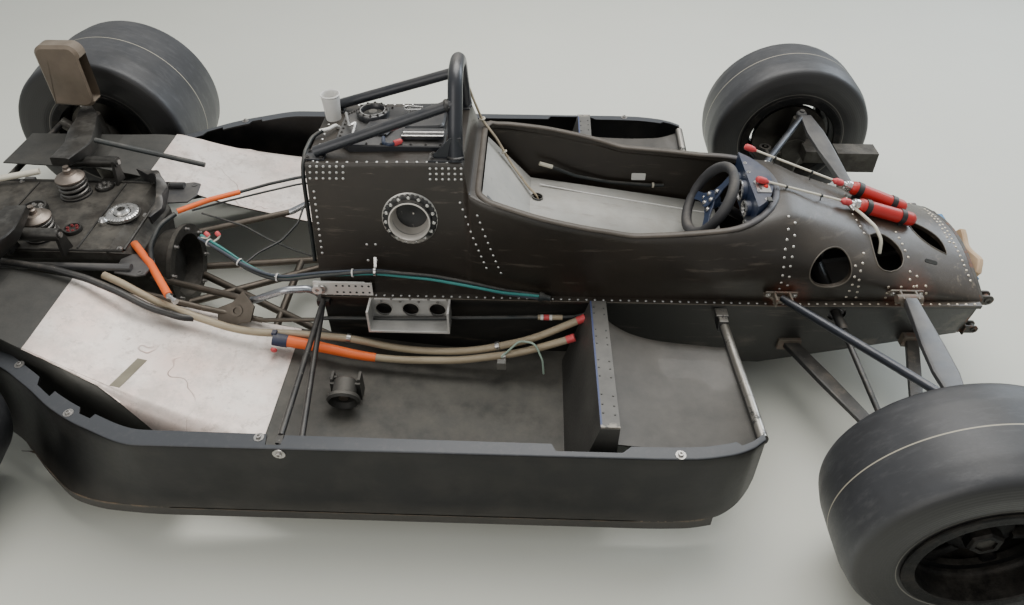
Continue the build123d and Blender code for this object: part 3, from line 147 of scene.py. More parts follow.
class Finish:
    """A material and the nodes that are added to it."""

    def __init__(self, name, **constants):
        self.material = bpy.data.materials.new(name)
        self.material.use_nodes = True
        self.tree = self.material.node_tree
        self.shader = self.tree.nodes["Principled BSDF"]
        for socket, value in constants.items():
            self.shader.inputs[socket.replace("_", " ")].default_value = value
        self.coord = self.tree.nodes.new("ShaderNodeTexCoord").outputs["Object"]

    def node(self, kind, settings=None, values=None, output=0):
        """Adds a node: its settings first, then values or links for its inputs."""
        new = self.tree.nodes.new(kind)
        for key, value in (settings or {}).items():
            setattr(new, key, value)
        for key, value in (values or {}).items():
            if isinstance(value, Value):
                value = value.socket
            if isinstance(value, bpy.types.NodeSocket):
                self.tree.links.new(value, new.inputs[key])
            else:
                new.inputs[key].default_value = value
        return Value(self, new.outputs[output])

    def noise(self, scale, detail=4.0, rough=0.55, place=None):
        values = {"Vector": place or self.coord, "Scale": scale, "Detail": detail, "Roughness": rough}
        return self.node("ShaderNodeTexNoise", {}, values)

    def wave(self, scale, direction):
        settings = {"wave_type": "BANDS", "bands_direction": direction}
        return self.node("ShaderNodeTexWave", settings, {"Vector": self.coord, "Scale": scale}, output=1)

    def stretched(self, scale):
        """Object coordinates multiplied axis by axis, for brushed and streaky patterns."""
        return self.node("ShaderNodeMapping", {}, {"Vector": self.coord, "Scale": scale}).socket

    def axis(self, letter):
        """X, Y or Z of the object coordinates as a number."""
        return self.node("ShaderNodeSeparateXYZ", {}, {0: self.coord}, output="XYZ".index(letter))

    def facing_up(self):
        """1 where the surface looks up, 0 where it stands or looks down."""
        normal = self.node("ShaderNodeNewGeometry", {}, {}, output=1)
        return self.node("ShaderNodeSeparateXYZ", {}, {0: normal}, output=2).clipped()

    def mix(self, factor, a, b):
        """Colour a where factor is 0 and b where it is 1."""
        values = {}
        values[0] = factor if isinstance(factor, Value) else float(factor)
        for key, colour in ((6, a), (7, b)):
            values[key] = colour if isinstance(colour, Value) else (*colour, 1.0)
        return self.node("ShaderNodeMix", {"data_type": "RGBA"}, values, output=2)

    def colour(self, value):
        self.now = value
        self.tree.links.new(value.socket, self.shader.inputs["Base Color"])
        return self

    def tint(self, factor, colour):
        """Lays one more colour over what the finish shows so far."""
        return self.colour(self.mix(factor, self.now, colour))

    def near(self, place, reach):
        """1 at place and 0 beyond reach, from the object coordinates given for X, Y or Z."""
        total = 0.0
        for letter, value in place.items():
            d = self.axis(letter) - value
            total = d * d + total
        return 1 - (total ** 0.5 * (1 / reach)).clipped()

    def roughness(self, value):
        self.tree.links.new(value.socket, self.shader.inputs["Roughness"])
        return self

    def metallic(self, value):
        self.tree.links.new(value.socket, self.shader.inputs["Metallic"])
        return self

    def bump(self, height, distance, strength=1.0):
        """height from 0 to 1 raised by distance in metres."""
        values = {"Height": height, "Distance": distance, "Strength": strength}
        normal = self.node("ShaderNodeBump", {}, values)
        self.tree.links.new(normal.socket, self.shader.inputs["Normal"])
        return self


print("shader helpers ready")

# %% [markdown]
# ## Finishes
# The car is dusty and used. So each finish starts from the same three layers: a slow change of tone,
# a fine grain, and dust that settles where the surface looks up. What differs is the base: woven
# composite under resin, rolled sheet, sand-cast alloy, rubber or worn paint.


# %% Common layers
def worn(name, base, light, rough=(0.35, 0.6), tone_scale=3.0, grain_scale=90.0, dust=0.25,
         dust_colour=(0.3, 0.27, 0.23), **constants):
    """Base colour drifting to light, roughness between two values, and dust on upward faces."""
    f = Finish(name, **constants)
    tone = f.noise(tone_scale, 5.0, 0.6).above(0.52, 0.22)
    grain = f.noise(grain_scale, 3.0, 0.6)
    colour = f.mix(tone, base, light)
    settled = f.facing_up() ** 3 * f.noise(tone_scale * 2.6, 6.0, 0.65).above(0.5, 0.2) * dust
    colour = f.mix(settled, colour, dust_colour)
    f.grain, f.base = grain, colour
    f.colour(colour)
    f.roughness((rough[0] + grain * (rough[1] - rough[0]) + settled * 0.5).clipped())
    return f


# %% Composite skins
def composite(name, base, light, dust=0.3):
    """Satin resin over a plain weave of 0.75 mm that barely shows, with scuffs."""
    f = worn(name, base, light, rough=(0.3, 0.5), dust=dust, Coat_Weight=0.25, Coat_Roughness=0.28)
    over = f.wave(420, "X").above(0.5, 0.3)
    under = f.wave(420, "Z").above(0.5, 0.3)
    weave = over * under + (1 - over) * (1 - under)
    scuffs = f.noise(1.0, 8.0, 0.7, f.stretched((6, 6, 46))).above(0.63, 0.05)
    f.colour(f.mix(scuffs * 0.22, f.base, (0.24, 0.2, 0.16)))
    f.bump(weave * 0.25 + f.grain * 0.4 + scuffs * 0.2, 0.0004, 0.5)
    return f


tub_skin = composite("tub_skin", (0.012, 0.009, 0.0065), (0.032, 0.024, 0.017), dust=0.12)
tub_tray_skin = composite("tub_tray_skin", (0.007, 0.007, 0.007), (0.02, 0.019, 0.017), dust=0.1)
blotch = tub_tray_skin.noise(7, 5.0, 0.6).above(0.64, 0.05) * tub_tray_skin.axis("X").above(0.9, 0.2)
tub_tray_skin.tint(blotch * 0.5, (0.16, 0.14, 0.11))
print("composite skins")


# %% Metals, paint, rubber and plastics
def cast(name, base, light):
    """Sand-cast alloy: grainy, oily in places."""
    f = worn(name, base, light, rough=(0.42, 0.7), tone_scale=9, dust=0.35, Metallic=0.75)
    oil = f.noise(14, 6.0, 0.7).above(0.56, 0.08)
    f.colour(f.mix(oil * 0.65, f.base, (0.035, 0.03, 0.026)))
    f.bump(f.noise(260, 3.0, 0.6) + oil * 0.2, 0.0006, 0.8)
    return f


def brushed(name, base, light, along=(4, 160, 160), rough=(0.22, 0.42)):
    """Bare metal with lines drawn along one axis."""
    f = worn(name, base, light, rough=rough, tone_scale=12, dust=0.2, Metallic=0.95)
    lines = f.noise(1.0, 4.0, 0.6, f.stretched(along))
    f.bump(lines, 0.0003, 0.5)
    return f


def paint(name, base, light, chips=0.66):
    """Satin paint with small chips through to a pale ground."""
    f = worn(name, base, light, rough=(0.28, 0.5), tone_scale=5, dust=0.3, Coat_Weight=0.15,
             Coat_Roughness=0.3)
    chip = f.noise(55, 6.0, 0.75).above(chips, 0.02)
    f.colour(f.mix(chip * 0.7, f.base, (0.33, 0.3, 0.27)))
    f.bump(f.grain * 0.5 - chip * 0.6, 0.0004, 0.6)
    return f


def dull(name, base, light, rough=(0.55, 0.8), dust=0.4, bump=0.0004, scale=140):
    """Matt plastic, foam or sheet."""
    f = worn(name, base, light, rough=rough, tone_scale=7, grain_scale=scale, dust=dust)
    f.bump(f.grain, bump, 0.7)
    return f


black_paint = paint("black_paint", (0.007, 0.007, 0.008), (0.016, 0.016, 0.018))
blue_black = paint("blue_black", (0.012, 0.02, 0.05), (0.03, 0.05, 0.1))
cast_alloy = cast("cast_alloy", (0.045, 0.042, 0.038), (0.1, 0.095, 0.085))
machined = brushed("machined", (0.42, 0.41, 0.39), (0.55, 0.54, 0.52))
bright = brushed("bright", (0.62, 0.61, 0.6), (0.74, 0.73, 0.71), rough=(0.16, 0.34))
bare_steel = brushed("bare_steel", (0.24, 0.2, 0.17), (0.36, 0.31, 0.27), rough=(0.35, 0.55))
disc_iron = brushed("disc_iron", (0.045, 0.042, 0.04), (0.085, 0.078, 0.07), rough=(0.3, 0.5))
wheel_alloy = cast("wheel_alloy", (0.004, 0.004, 0.0045), (0.011, 0.011, 0.012))
liner_grey = dull("liner_grey", (0.33, 0.33, 0.31), (0.46, 0.45, 0.42))
floor_grey = dull("floor_grey", (0.06, 0.062, 0.054), (0.105, 0.105, 0.092), dust=0.55)
dark_sheet = dull("dark_sheet", (0.035, 0.034, 0.032), (0.07, 0.068, 0.062), rough=(0.4, 0.65))
tan_rubber = dull("tan_rubber", (0.33, 0.265, 0.175), (0.44, 0.365, 0.255), rough=(0.35, 0.55), dust=0.15)
cable_black = dull("cable_black", (0.01, 0.011, 0.012), (0.022, 0.03, 0.032), rough=(0.35, 0.55))
tan_cloth = dull("tan_cloth", (0.2, 0.14, 0.085), (0.34, 0.26, 0.17), scale=220)
foam = dull("foam", (0.5, 0.34, 0.2), (0.68, 0.5, 0.33), rough=(0.8, 0.95), bump=0.002, scale=60)
cream = dull("cream", (0.62, 0.58, 0.47), (0.75, 0.71, 0.6), rough=(0.35, 0.5))
white = dull("white", (0.72, 0.71, 0.68), (0.82, 0.81, 0.79), rough=(0.3, 0.45))
grip = dull("grip", (0.02, 0.02, 0.022), (0.05, 0.05, 0.055), rough=(0.5, 0.7), scale=200)
tyre_rubber = dull("tyre_rubber", (0.013, 0.014, 0.017), (0.028, 0.03, 0.036), rough=(0.36, 0.55), dust=0.15)
# Painted sheen: upward faces on the tyres' upper half turn bluish grey.
painted_tyre_sheen = tyre_rubber.axis("Z").above(0.34, 0.16) * tyre_rubber.facing_up().above(0.05, 0.4)
tyre_rubber.tint(painted_tyre_sheen * 0.8, (0.085, 0.098, 0.118))
print("finishes", len(bpy.data.materials))

# %% [markdown]
# ## Shapes from arrays
# Most pieces on this car are one of four kinds: a bent tube, a turned part, a skin that follows a table
# of sections, or a small fastener repeated along a line. Each kind is computed as an array of points on
# a grid, and the faces follow from the row and column numbers alone. A shape is a pair of points and
# faces, so several shapes can be joined before they become one mesh.


# %% Grid faces and joined shapes
def grid_faces(rows, cols, loop_rows=False):
    """Corner numbers of the squares between neighbouring rows and columns of a grid. Each row is closed."""
    r = np.arange(rows if loop_rows else rows - 1)[:, None]
    c = np.arange(cols)[None, :]
    r2, c2 = (r + 1) % rows, (c + 1) % cols
    return np.stack([r * cols + c, r * cols + c2, r2 * cols + c2, r2 * cols + c], -1).reshape(-1, 4).tolist()


def capped_faces(rows, cols):
    """Faces of a grid whose rows are closed rings, with a cap on its first and on its last row."""
    return grid_faces(rows, cols) + [list(range(cols)), list(range((rows - 1) * cols, rows * cols))[::-1]]


def joined(*shapes):
    """Several (points, faces) pairs as one pair."""
    points, faces, start = [], [], 0
    for p, f in shapes:
        p = np.asarray(p, float).reshape(-1, 3)
        points.append(p)
        faces += [[i + start for i in face] for face in f]
        start += len(p)
    return np.concatenate(points), faces


def piece(name, shape, finish, body="chassis", sharp=35, closed=True):
    """Makes a mesh object of a shape: doubles merged, faces turned outward, edges over sharp degrees kept."""
    mesh = bpy.data.meshes.new(name)
    mesh.from_pydata(shape[0], [], shape[1])
    work = bmesh.new()
    work.from_mesh(mesh)
    bmesh.ops.remove_doubles(work, verts=work.verts, dist=1e-6)
    if closed:
        bmesh.ops.recalc_face_normals(work, faces=work.faces)
    work.to_mesh(mesh)
    work.free()
    mesh.materials.append(finish.material)
    mesh.shade_smooth()
    mesh.set_sharp_from_angle(angle=math.radians(sharp))
    made = bpy.data.objects.new(name, mesh)
    bpy.context.collection.objects.link(made)
    if body:
        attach(made, body)
    return made


# %% Lines
def unit_rows(v):
    """Each row divided by its length."""
    return v / np.linalg.norm(v, axis=1)[:, None]


def quadratic(a, control, b, t):
    """Curve from a to b that leaves a towards the control point; t runs from 0 to 1."""
    return (1 - t) ** 2 * a + 2 * t * (1 - t) * control + t**2 * b


def rounded(points, bend, step=0.012):
    """Straight runs whose corners become curves: at each corner the line leaves the run at the tangent
    length, no more than 0.48 of the shorter run, and follows a quadratic curve with the corner as its
    control point. The result has even steps."""
    p = np.asarray(points, float)
    if len(p) > 2:
        run = np.diff(p, axis=0)
        length = np.linalg.norm(run, axis=1)
        unit = run / length[:, None]
        turn = np.arccos(np.clip((unit[:-1] * unit[1:]).sum(1), -1, 1))
        cut = np.minimum(bend * np.tan(turn / 2), 0.48 * np.minimum(length[:-1], length[1:]))[:, None]
        a, b = p[1:-1] - unit[:-1] * cut, p[1:-1] + unit[1:] * cut
        t = np.linspace(0, 1, 9)[None, :, None]
        curve = quadratic(a[:, None], p[1:-1, None], b[:, None], t)
        p = np.concatenate([p[:1], curve.reshape(-1, 3), p[-1:]])
    return even(p, step)


def even(p, step):
    """The same line with points at even distances."""
    along = np.r_[0, np.cumsum(np.linalg.norm(np.diff(p, axis=0), axis=1))]
    keep = np.r_[True, np.diff(along) > 1e-9]
    p, along = p[keep], along[keep]
    places = np.linspace(0, along[-1], max(2, int(round(along[-1] / step)) + 1))
    return np.stack([np.interp(places, along, p[:, i]) for i in range(3)], 1)


def through(x, xs, ys):
    """Smooth curve through (xs, ys) without overshoot: cubic pieces, and the slope at a point is the
    harmonic mean of the chord slopes beside it, or zero at a peak."""
    x, xs, ys = (np.asarray(v, float) for v in (x, xs, ys))
    chord = np.diff(ys) / np.diff(xs)
    product = chord[:-1] * chord[1:]
    total = chord[:-1] + chord[1:]
    inner = np.where(product > 0, 2 * product / np.where(total == 0, 1, total), 0)
    slope = np.r_[chord[0], inner, chord[-1]]
    i = np.clip(np.searchsorted(xs, x) - 1, 0, len(xs) - 2)
    h = xs[i + 1] - xs[i]
    t = np.clip((x - xs[i]) / h, 0, 1)
    return ((1 + 2 * t) * (1 - t) ** 2 * ys[i] + t * (1 - t) ** 2 * h * slope[i]
            + t**2 * (3 - 2 * t) * ys[i + 1] + t**2 * (t - 1) * h * slope[i + 1])


# %% Sections carried along a line
def frames(line):
    """Tangent and two cross directions at each point, turned as little as the fixed reference allows."""
    tangent = unit_rows(np.gradient(line, axis=0))
    reference = np.eye(3)[int(np.argmin(np.abs(tangent).max(0)))]
    side = unit_rows(np.cross(tangent, reference))
    return tangent, side, np.cross(side, tangent)


def carry(line, section, size=1.0, loop=False):
    """Section (m, 2) carried along a line: point = line + side * u * size + up * v * size, ends closed."""
    line, section = np.asarray(line, float), np.asarray(section, float)
    if loop:
        wrapped = np.concatenate([line[-2:], line, line[:2]])
        side, up = (v[2:-2] for v in frames(wrapped)[1:])
    else:
        _, side, up = frames(line)
    size = np.broadcast_to(np.asarray(size, float), (len(line),))[:, None, None]
    grid = line[:, None] + size * (side[:, None] * section[None, :, :1] + up[:, None] * section[None, :, 1:])
    n, m = grid.shape[:2]
    faces = grid_faces(n, m, loop_rows=True) if loop else capped_faces(n, m)
    return grid.reshape(-1, 3), faces


def full_turn(count):
    """Even angles round a circle."""
    return np.linspace(0, 2 * np.pi, count, endpoint=False)


def ring(r, count=16, flat=1.0):
    """Round section; flat below 1 squashes it."""
    a = full_turn(count)
    return np.stack([r * np.cos(a), r * flat * np.sin(a)], 1)


def pipe(points, r, bend=0.04, step=0.012, count=16):
    """Bent round tube."""
    return carry(rounded(points, bend, step), ring(r, count))


def rod(a, b, r, count=12, size=None):
    """Straight round bar; size gives a radius factor at even steps from a to b."""
    size = np.array([1.0, 1.0]) if size is None else np.asarray(size, float)
    t = np.linspace(0, 1, len(size))[:, None]
    return carry(np.asarray(a) * (1 - t) + np.asarray(b) * t, ring(r, count), size)


# %% Turned parts, slabs and plates
def axes_of(direction):
    """The unit direction and two unit vectors across it."""
    d = np.asarray(direction, float)
    d = d / np.linalg.norm(d)
    side = np.cross(d, np.eye(3)[int(np.argmin(np.abs(d)))])
    side /= np.linalg.norm(side)
    return d, side, np.cross(d, side)


def turned(profile, centre, axis, count=48, loop=False):
    """Profile (radius, distance along the axis) turned round the axis; loop joins its end to its start."""
    d, u, v = axes_of(axis)
    p = np.asarray(profile, float)
    a = full_turn(count)
    around = np.cos(a)[None, :, None] * u + np.sin(a)[None, :, None] * v
    grid = np.asarray(centre, float) + p[:, None, 1:] * d + p[:, :1, None] * around
    faces = grid_faces(len(p), count, loop_rows=True) if loop else capped_faces(len(p), count)
    return grid.reshape(-1, 3), faces


def band(inner, outer, low, high, centre, axis, count):
    """Ring with a rectangular section, between two radii and two distances along the axis."""
    return turned([(inner, low), (outer, low), (outer, high), (inner, high)], centre, axis, count, loop=True)


def slab(outline, centre, u, v, thick, edge=0.0008):
    """Flat plate: outline (m, 2) in the directions u and v, its faces pulled in by edge all round."""
    o = np.asarray(outline, float)
    u, v = np.asarray(u, float) / np.linalg.norm(u), np.asarray(v, float) / np.linalg.norm(v)
    n = np.cross(u, v)
    n /= np.linalg.norm(n)
    before, after = o - np.roll(o, 1, 0), np.roll(o, -1, 0) - o
    across = unit_rows(before) + unit_rows(after)
    area = (o[:, 0] * np.roll(o[:, 1], -1) - np.roll(o[:, 0], -1) * o[:, 1]).sum()
    inward = np.stack([-across[:, 1], across[:, 0]], 1) * np.sign(area)
    inward /= np.linalg.norm(inward, axis=1)[:, None] + 1e-12
    small = o + inward * edge
    rings = [(small, -thick / 2), (o, -thick / 2 + edge), (o, thick / 2 - edge), (small, thick / 2)]
    grid = np.stack([np.asarray(centre, float) + q[:, :1] * u + q[:, 1:] * v + n * w for q, w in rings])
    m = len(o)
    return grid.reshape(-1, 3), capped_faces(4, m)


def brick(x, y, z, edge=0.0015):
    """Slab between two corners, given as (low, high) on each axis; y takes its two ends in any order."""
    y = sorted(y)
    hx, hy = (x[1] - x[0]) / 2, (y[1] - y[0]) / 2
    outline = [(-hx, -hy), (hx, -hy), (hx, hy), (-hx, hy)]
    centre = (x[0] + hx, y[0] + hy, (z[0] + z[1]) / 2)
    return slab(outline, centre, AHEAD, LEFT, z[1] - z[0], edge)


def rounded_box(w, h, r, steps=4):
    """Closed outline of a rectangle w by h with corner radius r."""
    a = np.linspace(0, np.pi / 2, steps)
    arc = np.stack([np.cos(a), np.sin(a)], 1) * r
    corners = [(w / 2 - r, h / 2 - r, 0), (-w / 2 + r, h / 2 - r, 1), (-w / 2 + r, -h / 2 + r, 2),
               (w / 2 - r, -h / 2 + r, 3)]
    turns = [np.array([[1, 0], [0, 1]]), np.array([[0, 1], [-1, 0]]), np.array([[-1, 0], [0, -1]]),
             np.array([[0, -1], [1, 0]])]
    return np.concatenate([arc @ turns[k] + (cx, cy) for cx, cy, k in corners])


# %% Fasteners in rows
def many(template, faces, places, normals):
    """One small template (k, 3) at many places: x and y lie in the surface and z follows the normal.
    normals holds one direction for all places, or one for each."""
    n = unit_rows(np.broadcast_to(np.asarray(normals, float), (len(places), 3)))
    helper = np.where(np.abs(n[:, :1]) > 0.9, [[0.0, 1.0, 0.0]], [[1.0, 0.0, 0.0]])
    u = unit_rows(np.cross(helper, n))
    v = np.cross(n, u)
    t = np.asarray(template, float)
    points = (np.asarray(places, float)[:, None] + t[None, :, :1] * u[:, None]
              + t[None, :, 1:2] * v[:, None] + t[None, :, 2:] * n[:, None])
    k = len(t)
    all_faces = [[i + k * j for i in face] for j in range(len(n)) for face in faces]
    return points.reshape(-1, 3), all_faces


def rivets(places, normals, r, h):
    """Low domes, 26 faces each."""
    profile = [(r, -0.0006), (r, 0.25 * h), (0.72 * r, 0.8 * h), (0.25 * r, h)]
    return many(*turned(profile, (0, 0, 0), UP, 8), places, normals)


def bolts(places, normals, r=0.0055, h=0.006, washer=1.7):
    """Socket-headed screws on washers."""
    flat = 0.0012
    profile = [(r * washer, -0.0006), (r * washer, flat), (r, flat), (r, h - 0.0006), (r * 0.9, h),
               (r * 0.5, h), (r * 0.45, h * 0.5)]
    return many(*turned(profile, (0, 0, 0), UP, 12), places, normals)


def row_of(a, b, count):
    """Even places from a to b, both included."""
    t = np.linspace(0, 1, count)[:, None]
    return np.asarray(a, float) * (1 - t) + np.asarray(b, float) * t


print("shape helpers ready")

# %% [markdown]
# ## The tub's upper moulding
# The real moulding is laid up in one piece: a box for the fuel at the rear, long cockpit sides whose top
# edge sinks forward, and a nose with rounded shoulders. A chain of flat sections would show as facets
# in its satin resin. So the few measured sections are joined by smooth curves along the car, and in each
# section the two corners are rounded. The opening and the holes are cut afterwards from the closed
# shell, because a cut keeps the wall's thickness visible at every edge.

# %% Sections of the tub
TUB_REAR, TUB_FRONT = -0.282, 1.612
# Columns: x, half width and height of the side, of the top, height of the ridge, softness of the top
TUB = np.array([
    (TUB_REAR, 0.2, 0.56, 0.165, 0.748, 0.75, 0.07),
    (0.14, 0.212, 0.56, 0.168, 0.758, 0.76, 0.07),
    (0.161, 0.224, 0.52, 0.207, 0.681, 0.681, 0.1),
    (0.26, 0.24, 0.5, 0.236, 0.657, 0.657, 0.14),
    (0.41, 0.249, 0.48, 0.254, 0.624, 0.624, 0.16),
    (0.53, 0.249, 0.475, 0.251, 0.597, 0.597, 0.16),
    (0.626, 0.249, 0.47, 0.241, 0.576, 0.576, 0.18),
    (0.85, 0.248, 0.47, 0.216, 0.574, 0.58, 0.28),
    (1.04, 0.243, 0.48, 0.16, 0.588, 0.603, 0.45),
    (1.156, 0.24, 0.475, 0.132, 0.55, 0.565, 0.48),
    (1.364, 0.236, 0.425, 0.122, 0.476, 0.495, 0.48),
    (TUB_FRONT, 0.226, 0.372, 0.174, 0.394, 0.43, 0.4)])
JOINT_Z, JOINT_FRONT_Z, FLANGE_W, TUB_W, WALL = 0.343, 0.358, 0.25, 0.235, 0.012
SWELL = (0.86, 0.435)  # x and z of the swell beside the dash, 13 mm high


def joint_z(x):
    """Height of the joint: level, then rising from x 1.04 to the front."""
    return np.interp(x, [1.04, TUB_FRONT], [JOINT_Z, JOINT_FRONT_Z])


def corner(a, p, b, share, steps):
    """Curve that cuts the corner a-p-b: it leaves at share of each side and has p as its control point."""
    t = np.linspace(0, 1, steps)[None, :, None]
    share = np.asarray(share, float)[:, None]
    start, end = (p + (a - p) * share)[:, None], (p + (b - p) * share)[:, None]
    return quadratic(start, p[:, None], end, t)


def tub_section(x, inset=0.0):
    """Right half of the sections at x as (stations, points, 2) of y and z: side, shoulder and crowned deck.
    From the shoulder's end inward the height is ridge - (ridge - end) * (y / end's y) squared."""
    side_w, side_z, top_w, top_z, ridge, soft = (through(x, TUB[:, 0], TUB[:, i]) for i in range(1, 7))
    side_w, top_w, top_z, ridge = side_w - inset, top_w - inset, top_z - inset, ridge - inset
    low = np.stack([np.full_like(x, TUB_W - 0.003 - inset), joint_z(x) + 0.006], 1)
    side, top = np.stack([side_w, side_z - inset / 2], 1), np.stack([top_w, top_z], 1)
    deck = np.stack([top_w / 2, top_z + 0.75 * (ridge - top_z)], 1)
    flank = corner(low, side, top, np.full_like(x, 0.48), 9)
    shoulder = corner(side, top, deck, soft, 7)
    end = shoulder[:, -1]
    t = np.linspace(0, 1, 8)[None, 1:, None]
    y = end[:, None, :1] * (1 - t)
    z = end[:, None, 1:] + (ridge[:, None, None] - end[:, None, 1:]) * (1 - (1 - t) ** 2)
    crown = np.concatenate([y, z], 2)
    half = np.concatenate([low[:, None], flank, shoulder, crown], 1)
    if inset == 0:
        off_x, off_z = (x[:, None] - SWELL[0]) / 0.1, (half[..., 1] - SWELL[1]) / 0.045
        half[..., 0] += 0.013 * np.exp(-(off_x**2) - off_z**2)
    return half


def tub_solid(x, inset=0.0, flange=True):
    """Closed solid of the sections at x, with the joint flange along both lower edges."""
    half = tub_section(x, inset)
    z = joint_z(x)
    if flange:
        wide = np.full_like(x, FLANGE_W)
        edge = np.stack([np.stack([wide, z], 1), np.stack([wide, z + 0.006], 1)], 1)
    else:
        edge = np.stack([np.full_like(x, TUB_W - 0.003 - inset), z - 0.001], 1)[:, None]
    half = np.concatenate([edge, half], 1)
    mirrored = half[:, -2::-1] * (-1, 1)
    loop = np.concatenate([half, mirrored], 1)
    grid = np.concatenate([np.broadcast_to(x[:, None, None], loop.shape[:2] + (1,)), loop], 2)
    n, m = grid.shape[:2]
    return grid.reshape(-1, 3), capped_faces(n, m)


stations = np.unique(np.round(np.concatenate([
    np.linspace(TUB_REAR, 0.138, 22), np.linspace(0.14, 0.17, 9), np.linspace(0.18, TUB_FRONT, 96)]), 5))
tub_outside = tub_solid(stations)
print("tub grid", len(tub_outside[0]), "points")

# %% Openings
# Columns: x and half width of the cockpit opening, from its front arc to its rear corners
RIM = np.array([(0.87, 0.188), (0.76, 0.207), (0.626, 0.223), (0.54, 0.233), (0.46, 0.238), (0.391, 0.237),
                (0.26, 0.217), (0.185, 0.194)])
RIM_ARC_X, RIM_ARC_R = 0.8395, 0.1905


def rim_plan(widen=0.0):
    """Outline of the opening in plan: a front arc, smooth sides and rounded rear corners."""
    a0 = math.atan2(RIM[0, 1], RIM[0, 0] - RIM_ARC_X)
    a = np.linspace(-a0, a0, 33)
    r = RIM_ARC_R + widen
    arc = np.stack([RIM_ARC_X + r * np.cos(a), r * np.sin(a)], 1)
    x = np.linspace(0.858, 0.222, 40)
    side = np.stack([x, through(x, RIM[::-1, 0], RIM[::-1, 1]) + widen], 1)
    t = np.linspace(0, 1, 7)[:, None]
    rear = 0.185 - widen
    p, q, s = side[-1], np.array([rear, 0.198 + widen]), np.array([rear, 0.16])
    left = np.concatenate([side, quadratic(p, q, s, t)[1:]])
    return np.concatenate([arc, left, left[::-1] * (1, -1)])


def prism(outline, low, high):
    """Upright solid over a plan outline."""
    o = np.asarray(outline, float)
    m = len(o)
    points = np.concatenate([np.c_[o, np.full(m, low)], np.c_[o, np.full(m, high)]])
    return points, capped_faces(2, m)


def arc_through(a, b, c):
    """Quadratic curve from a to c that passes b halfway."""
    a, b, c = (np.asarray(v, float) for v in (a, b, c))
    t = np.linspace(0, 1, 14)[:, None]
    return quadratic(a, 2 * b - (a + c) / 2, c, t)


# Columns: x and half width round the half-round hole in the nose deck
HALF_ROUND = np.array([(1.303, 0.108), (1.327, 0.092), (1.354, 0.0905), (1.374, 0.1), (1.389, 0.115),
                       (1.397, 0.134), (1.396, 0.155), (1.387, 0.174), (1.37, 0.19), (1.347, 0.2),
                       (1.325, 0.202), (1.311, 0.195), (1.306, 0.176), (1.304, 0.145)])
SIDE_HOLE = np.array([1.167, 0.462])


def half_round_hole(sign, grow=0.0):
    """Hole in the nose deck: straight rear edge, curved front."""
    middle = HALF_ROUND.mean(0)
    away = HALF_ROUND - middle
    return (HALF_ROUND + unit_rows(away) * grow) * (1, sign)


def side_hole(grow=0.0):
    """Hole in the nose's side, in x and z: an ellipse 116 by 102 mm, a little flat on top."""
    a = full_turn(48)
    high = np.sin(a) * (1 - 0.05 * np.sin(a).clip(0, 1) ** 3)
    return SIDE_HOLE + np.stack([(0.058 + grow) * np.cos(a), (0.051 + grow) * high], 1)


def lens_hole(grow=0.0):
    """Lens-shaped hole in the nose deck: two curves between two points."""
    a, b = np.array([1.46, 0.013]), np.array([1.547, -0.103])
    along = (b - a) / np.linalg.norm(b - a)
    a, b = a - along * grow, b + along * grow
    up, down = np.array([1.533, -0.031]), np.array([1.477, -0.059])
    out = (up - down) / np.linalg.norm(up - down) * grow
    return np.concatenate([arc_through(a, up + out, b), arc_through(b, down - out, a)[1:-1]])


def across_tub(outline):
    """Solid from side to side over an outline in x and z."""
    return slab(outline, (0, 0, 0), AHEAD, UP, 0.8, 0.0)


def cut(target, *tools):
    """Takes closed shapes out of the target, one exact cut each, and keeps the result as its mesh."""
    for shape in tools:
        tool = piece("tool", shape, tub_skin, body=None)
        modifier = target.modifiers.new("cut", "BOOLEAN")
        modifier.operation, modifier.solver, modifier.object = "DIFFERENCE", "EXACT", tool
        bpy.context.view_layer.update()
        graph = bpy.context.evaluated_depsgraph_get()
        result = bpy.data.meshes.new_from_object(target.evaluated_get(graph))
        target.modifiers.clear()
        old, target.data = target.data, result
        result.name = target.name
        bpy.data.meshes.remove(old)
        bpy.data.objects.remove(tool)
    target.data.set_sharp_from_angle(angle=math.radians(35))
    return target


inside_x = np.concatenate([np.linspace(0.165, 0.18, 3), np.linspace(0.19, 1.55, 60), [1.6, 1.62]])
inside_x = np.unique(np.round(inside_x, 5))
tub = piece("tub_moulding", tub_outside, tub_skin)
cut(tub,
    tub_solid(inside_x, inset=WALL, flange=False),
    prism(rim_plan(), 0.4, 0.9),
    across_tub(side_hole()),
    prism(half_round_hole(-1), 0.4, 0.7), prism(half_round_hole(1), 0.4, 0.7), prism(lens_hole(), 0.38, 0.6),
    turned([(0.052, -0.06), (0.052, 0.06)], (-0.006, -0.196, 0.597), (0, -1, 0.18), 40))
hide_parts("tub_upper")
print("tub faces", len(tub.data.polygons))

# %% [markdown]
# ## The worn rim
# Hands and boots have rubbed the cockpit's edge down to a paler brown. It is a rounded bead laid along
# the opening: the plan outline gives x and y, and the height comes from the moulding's own table.

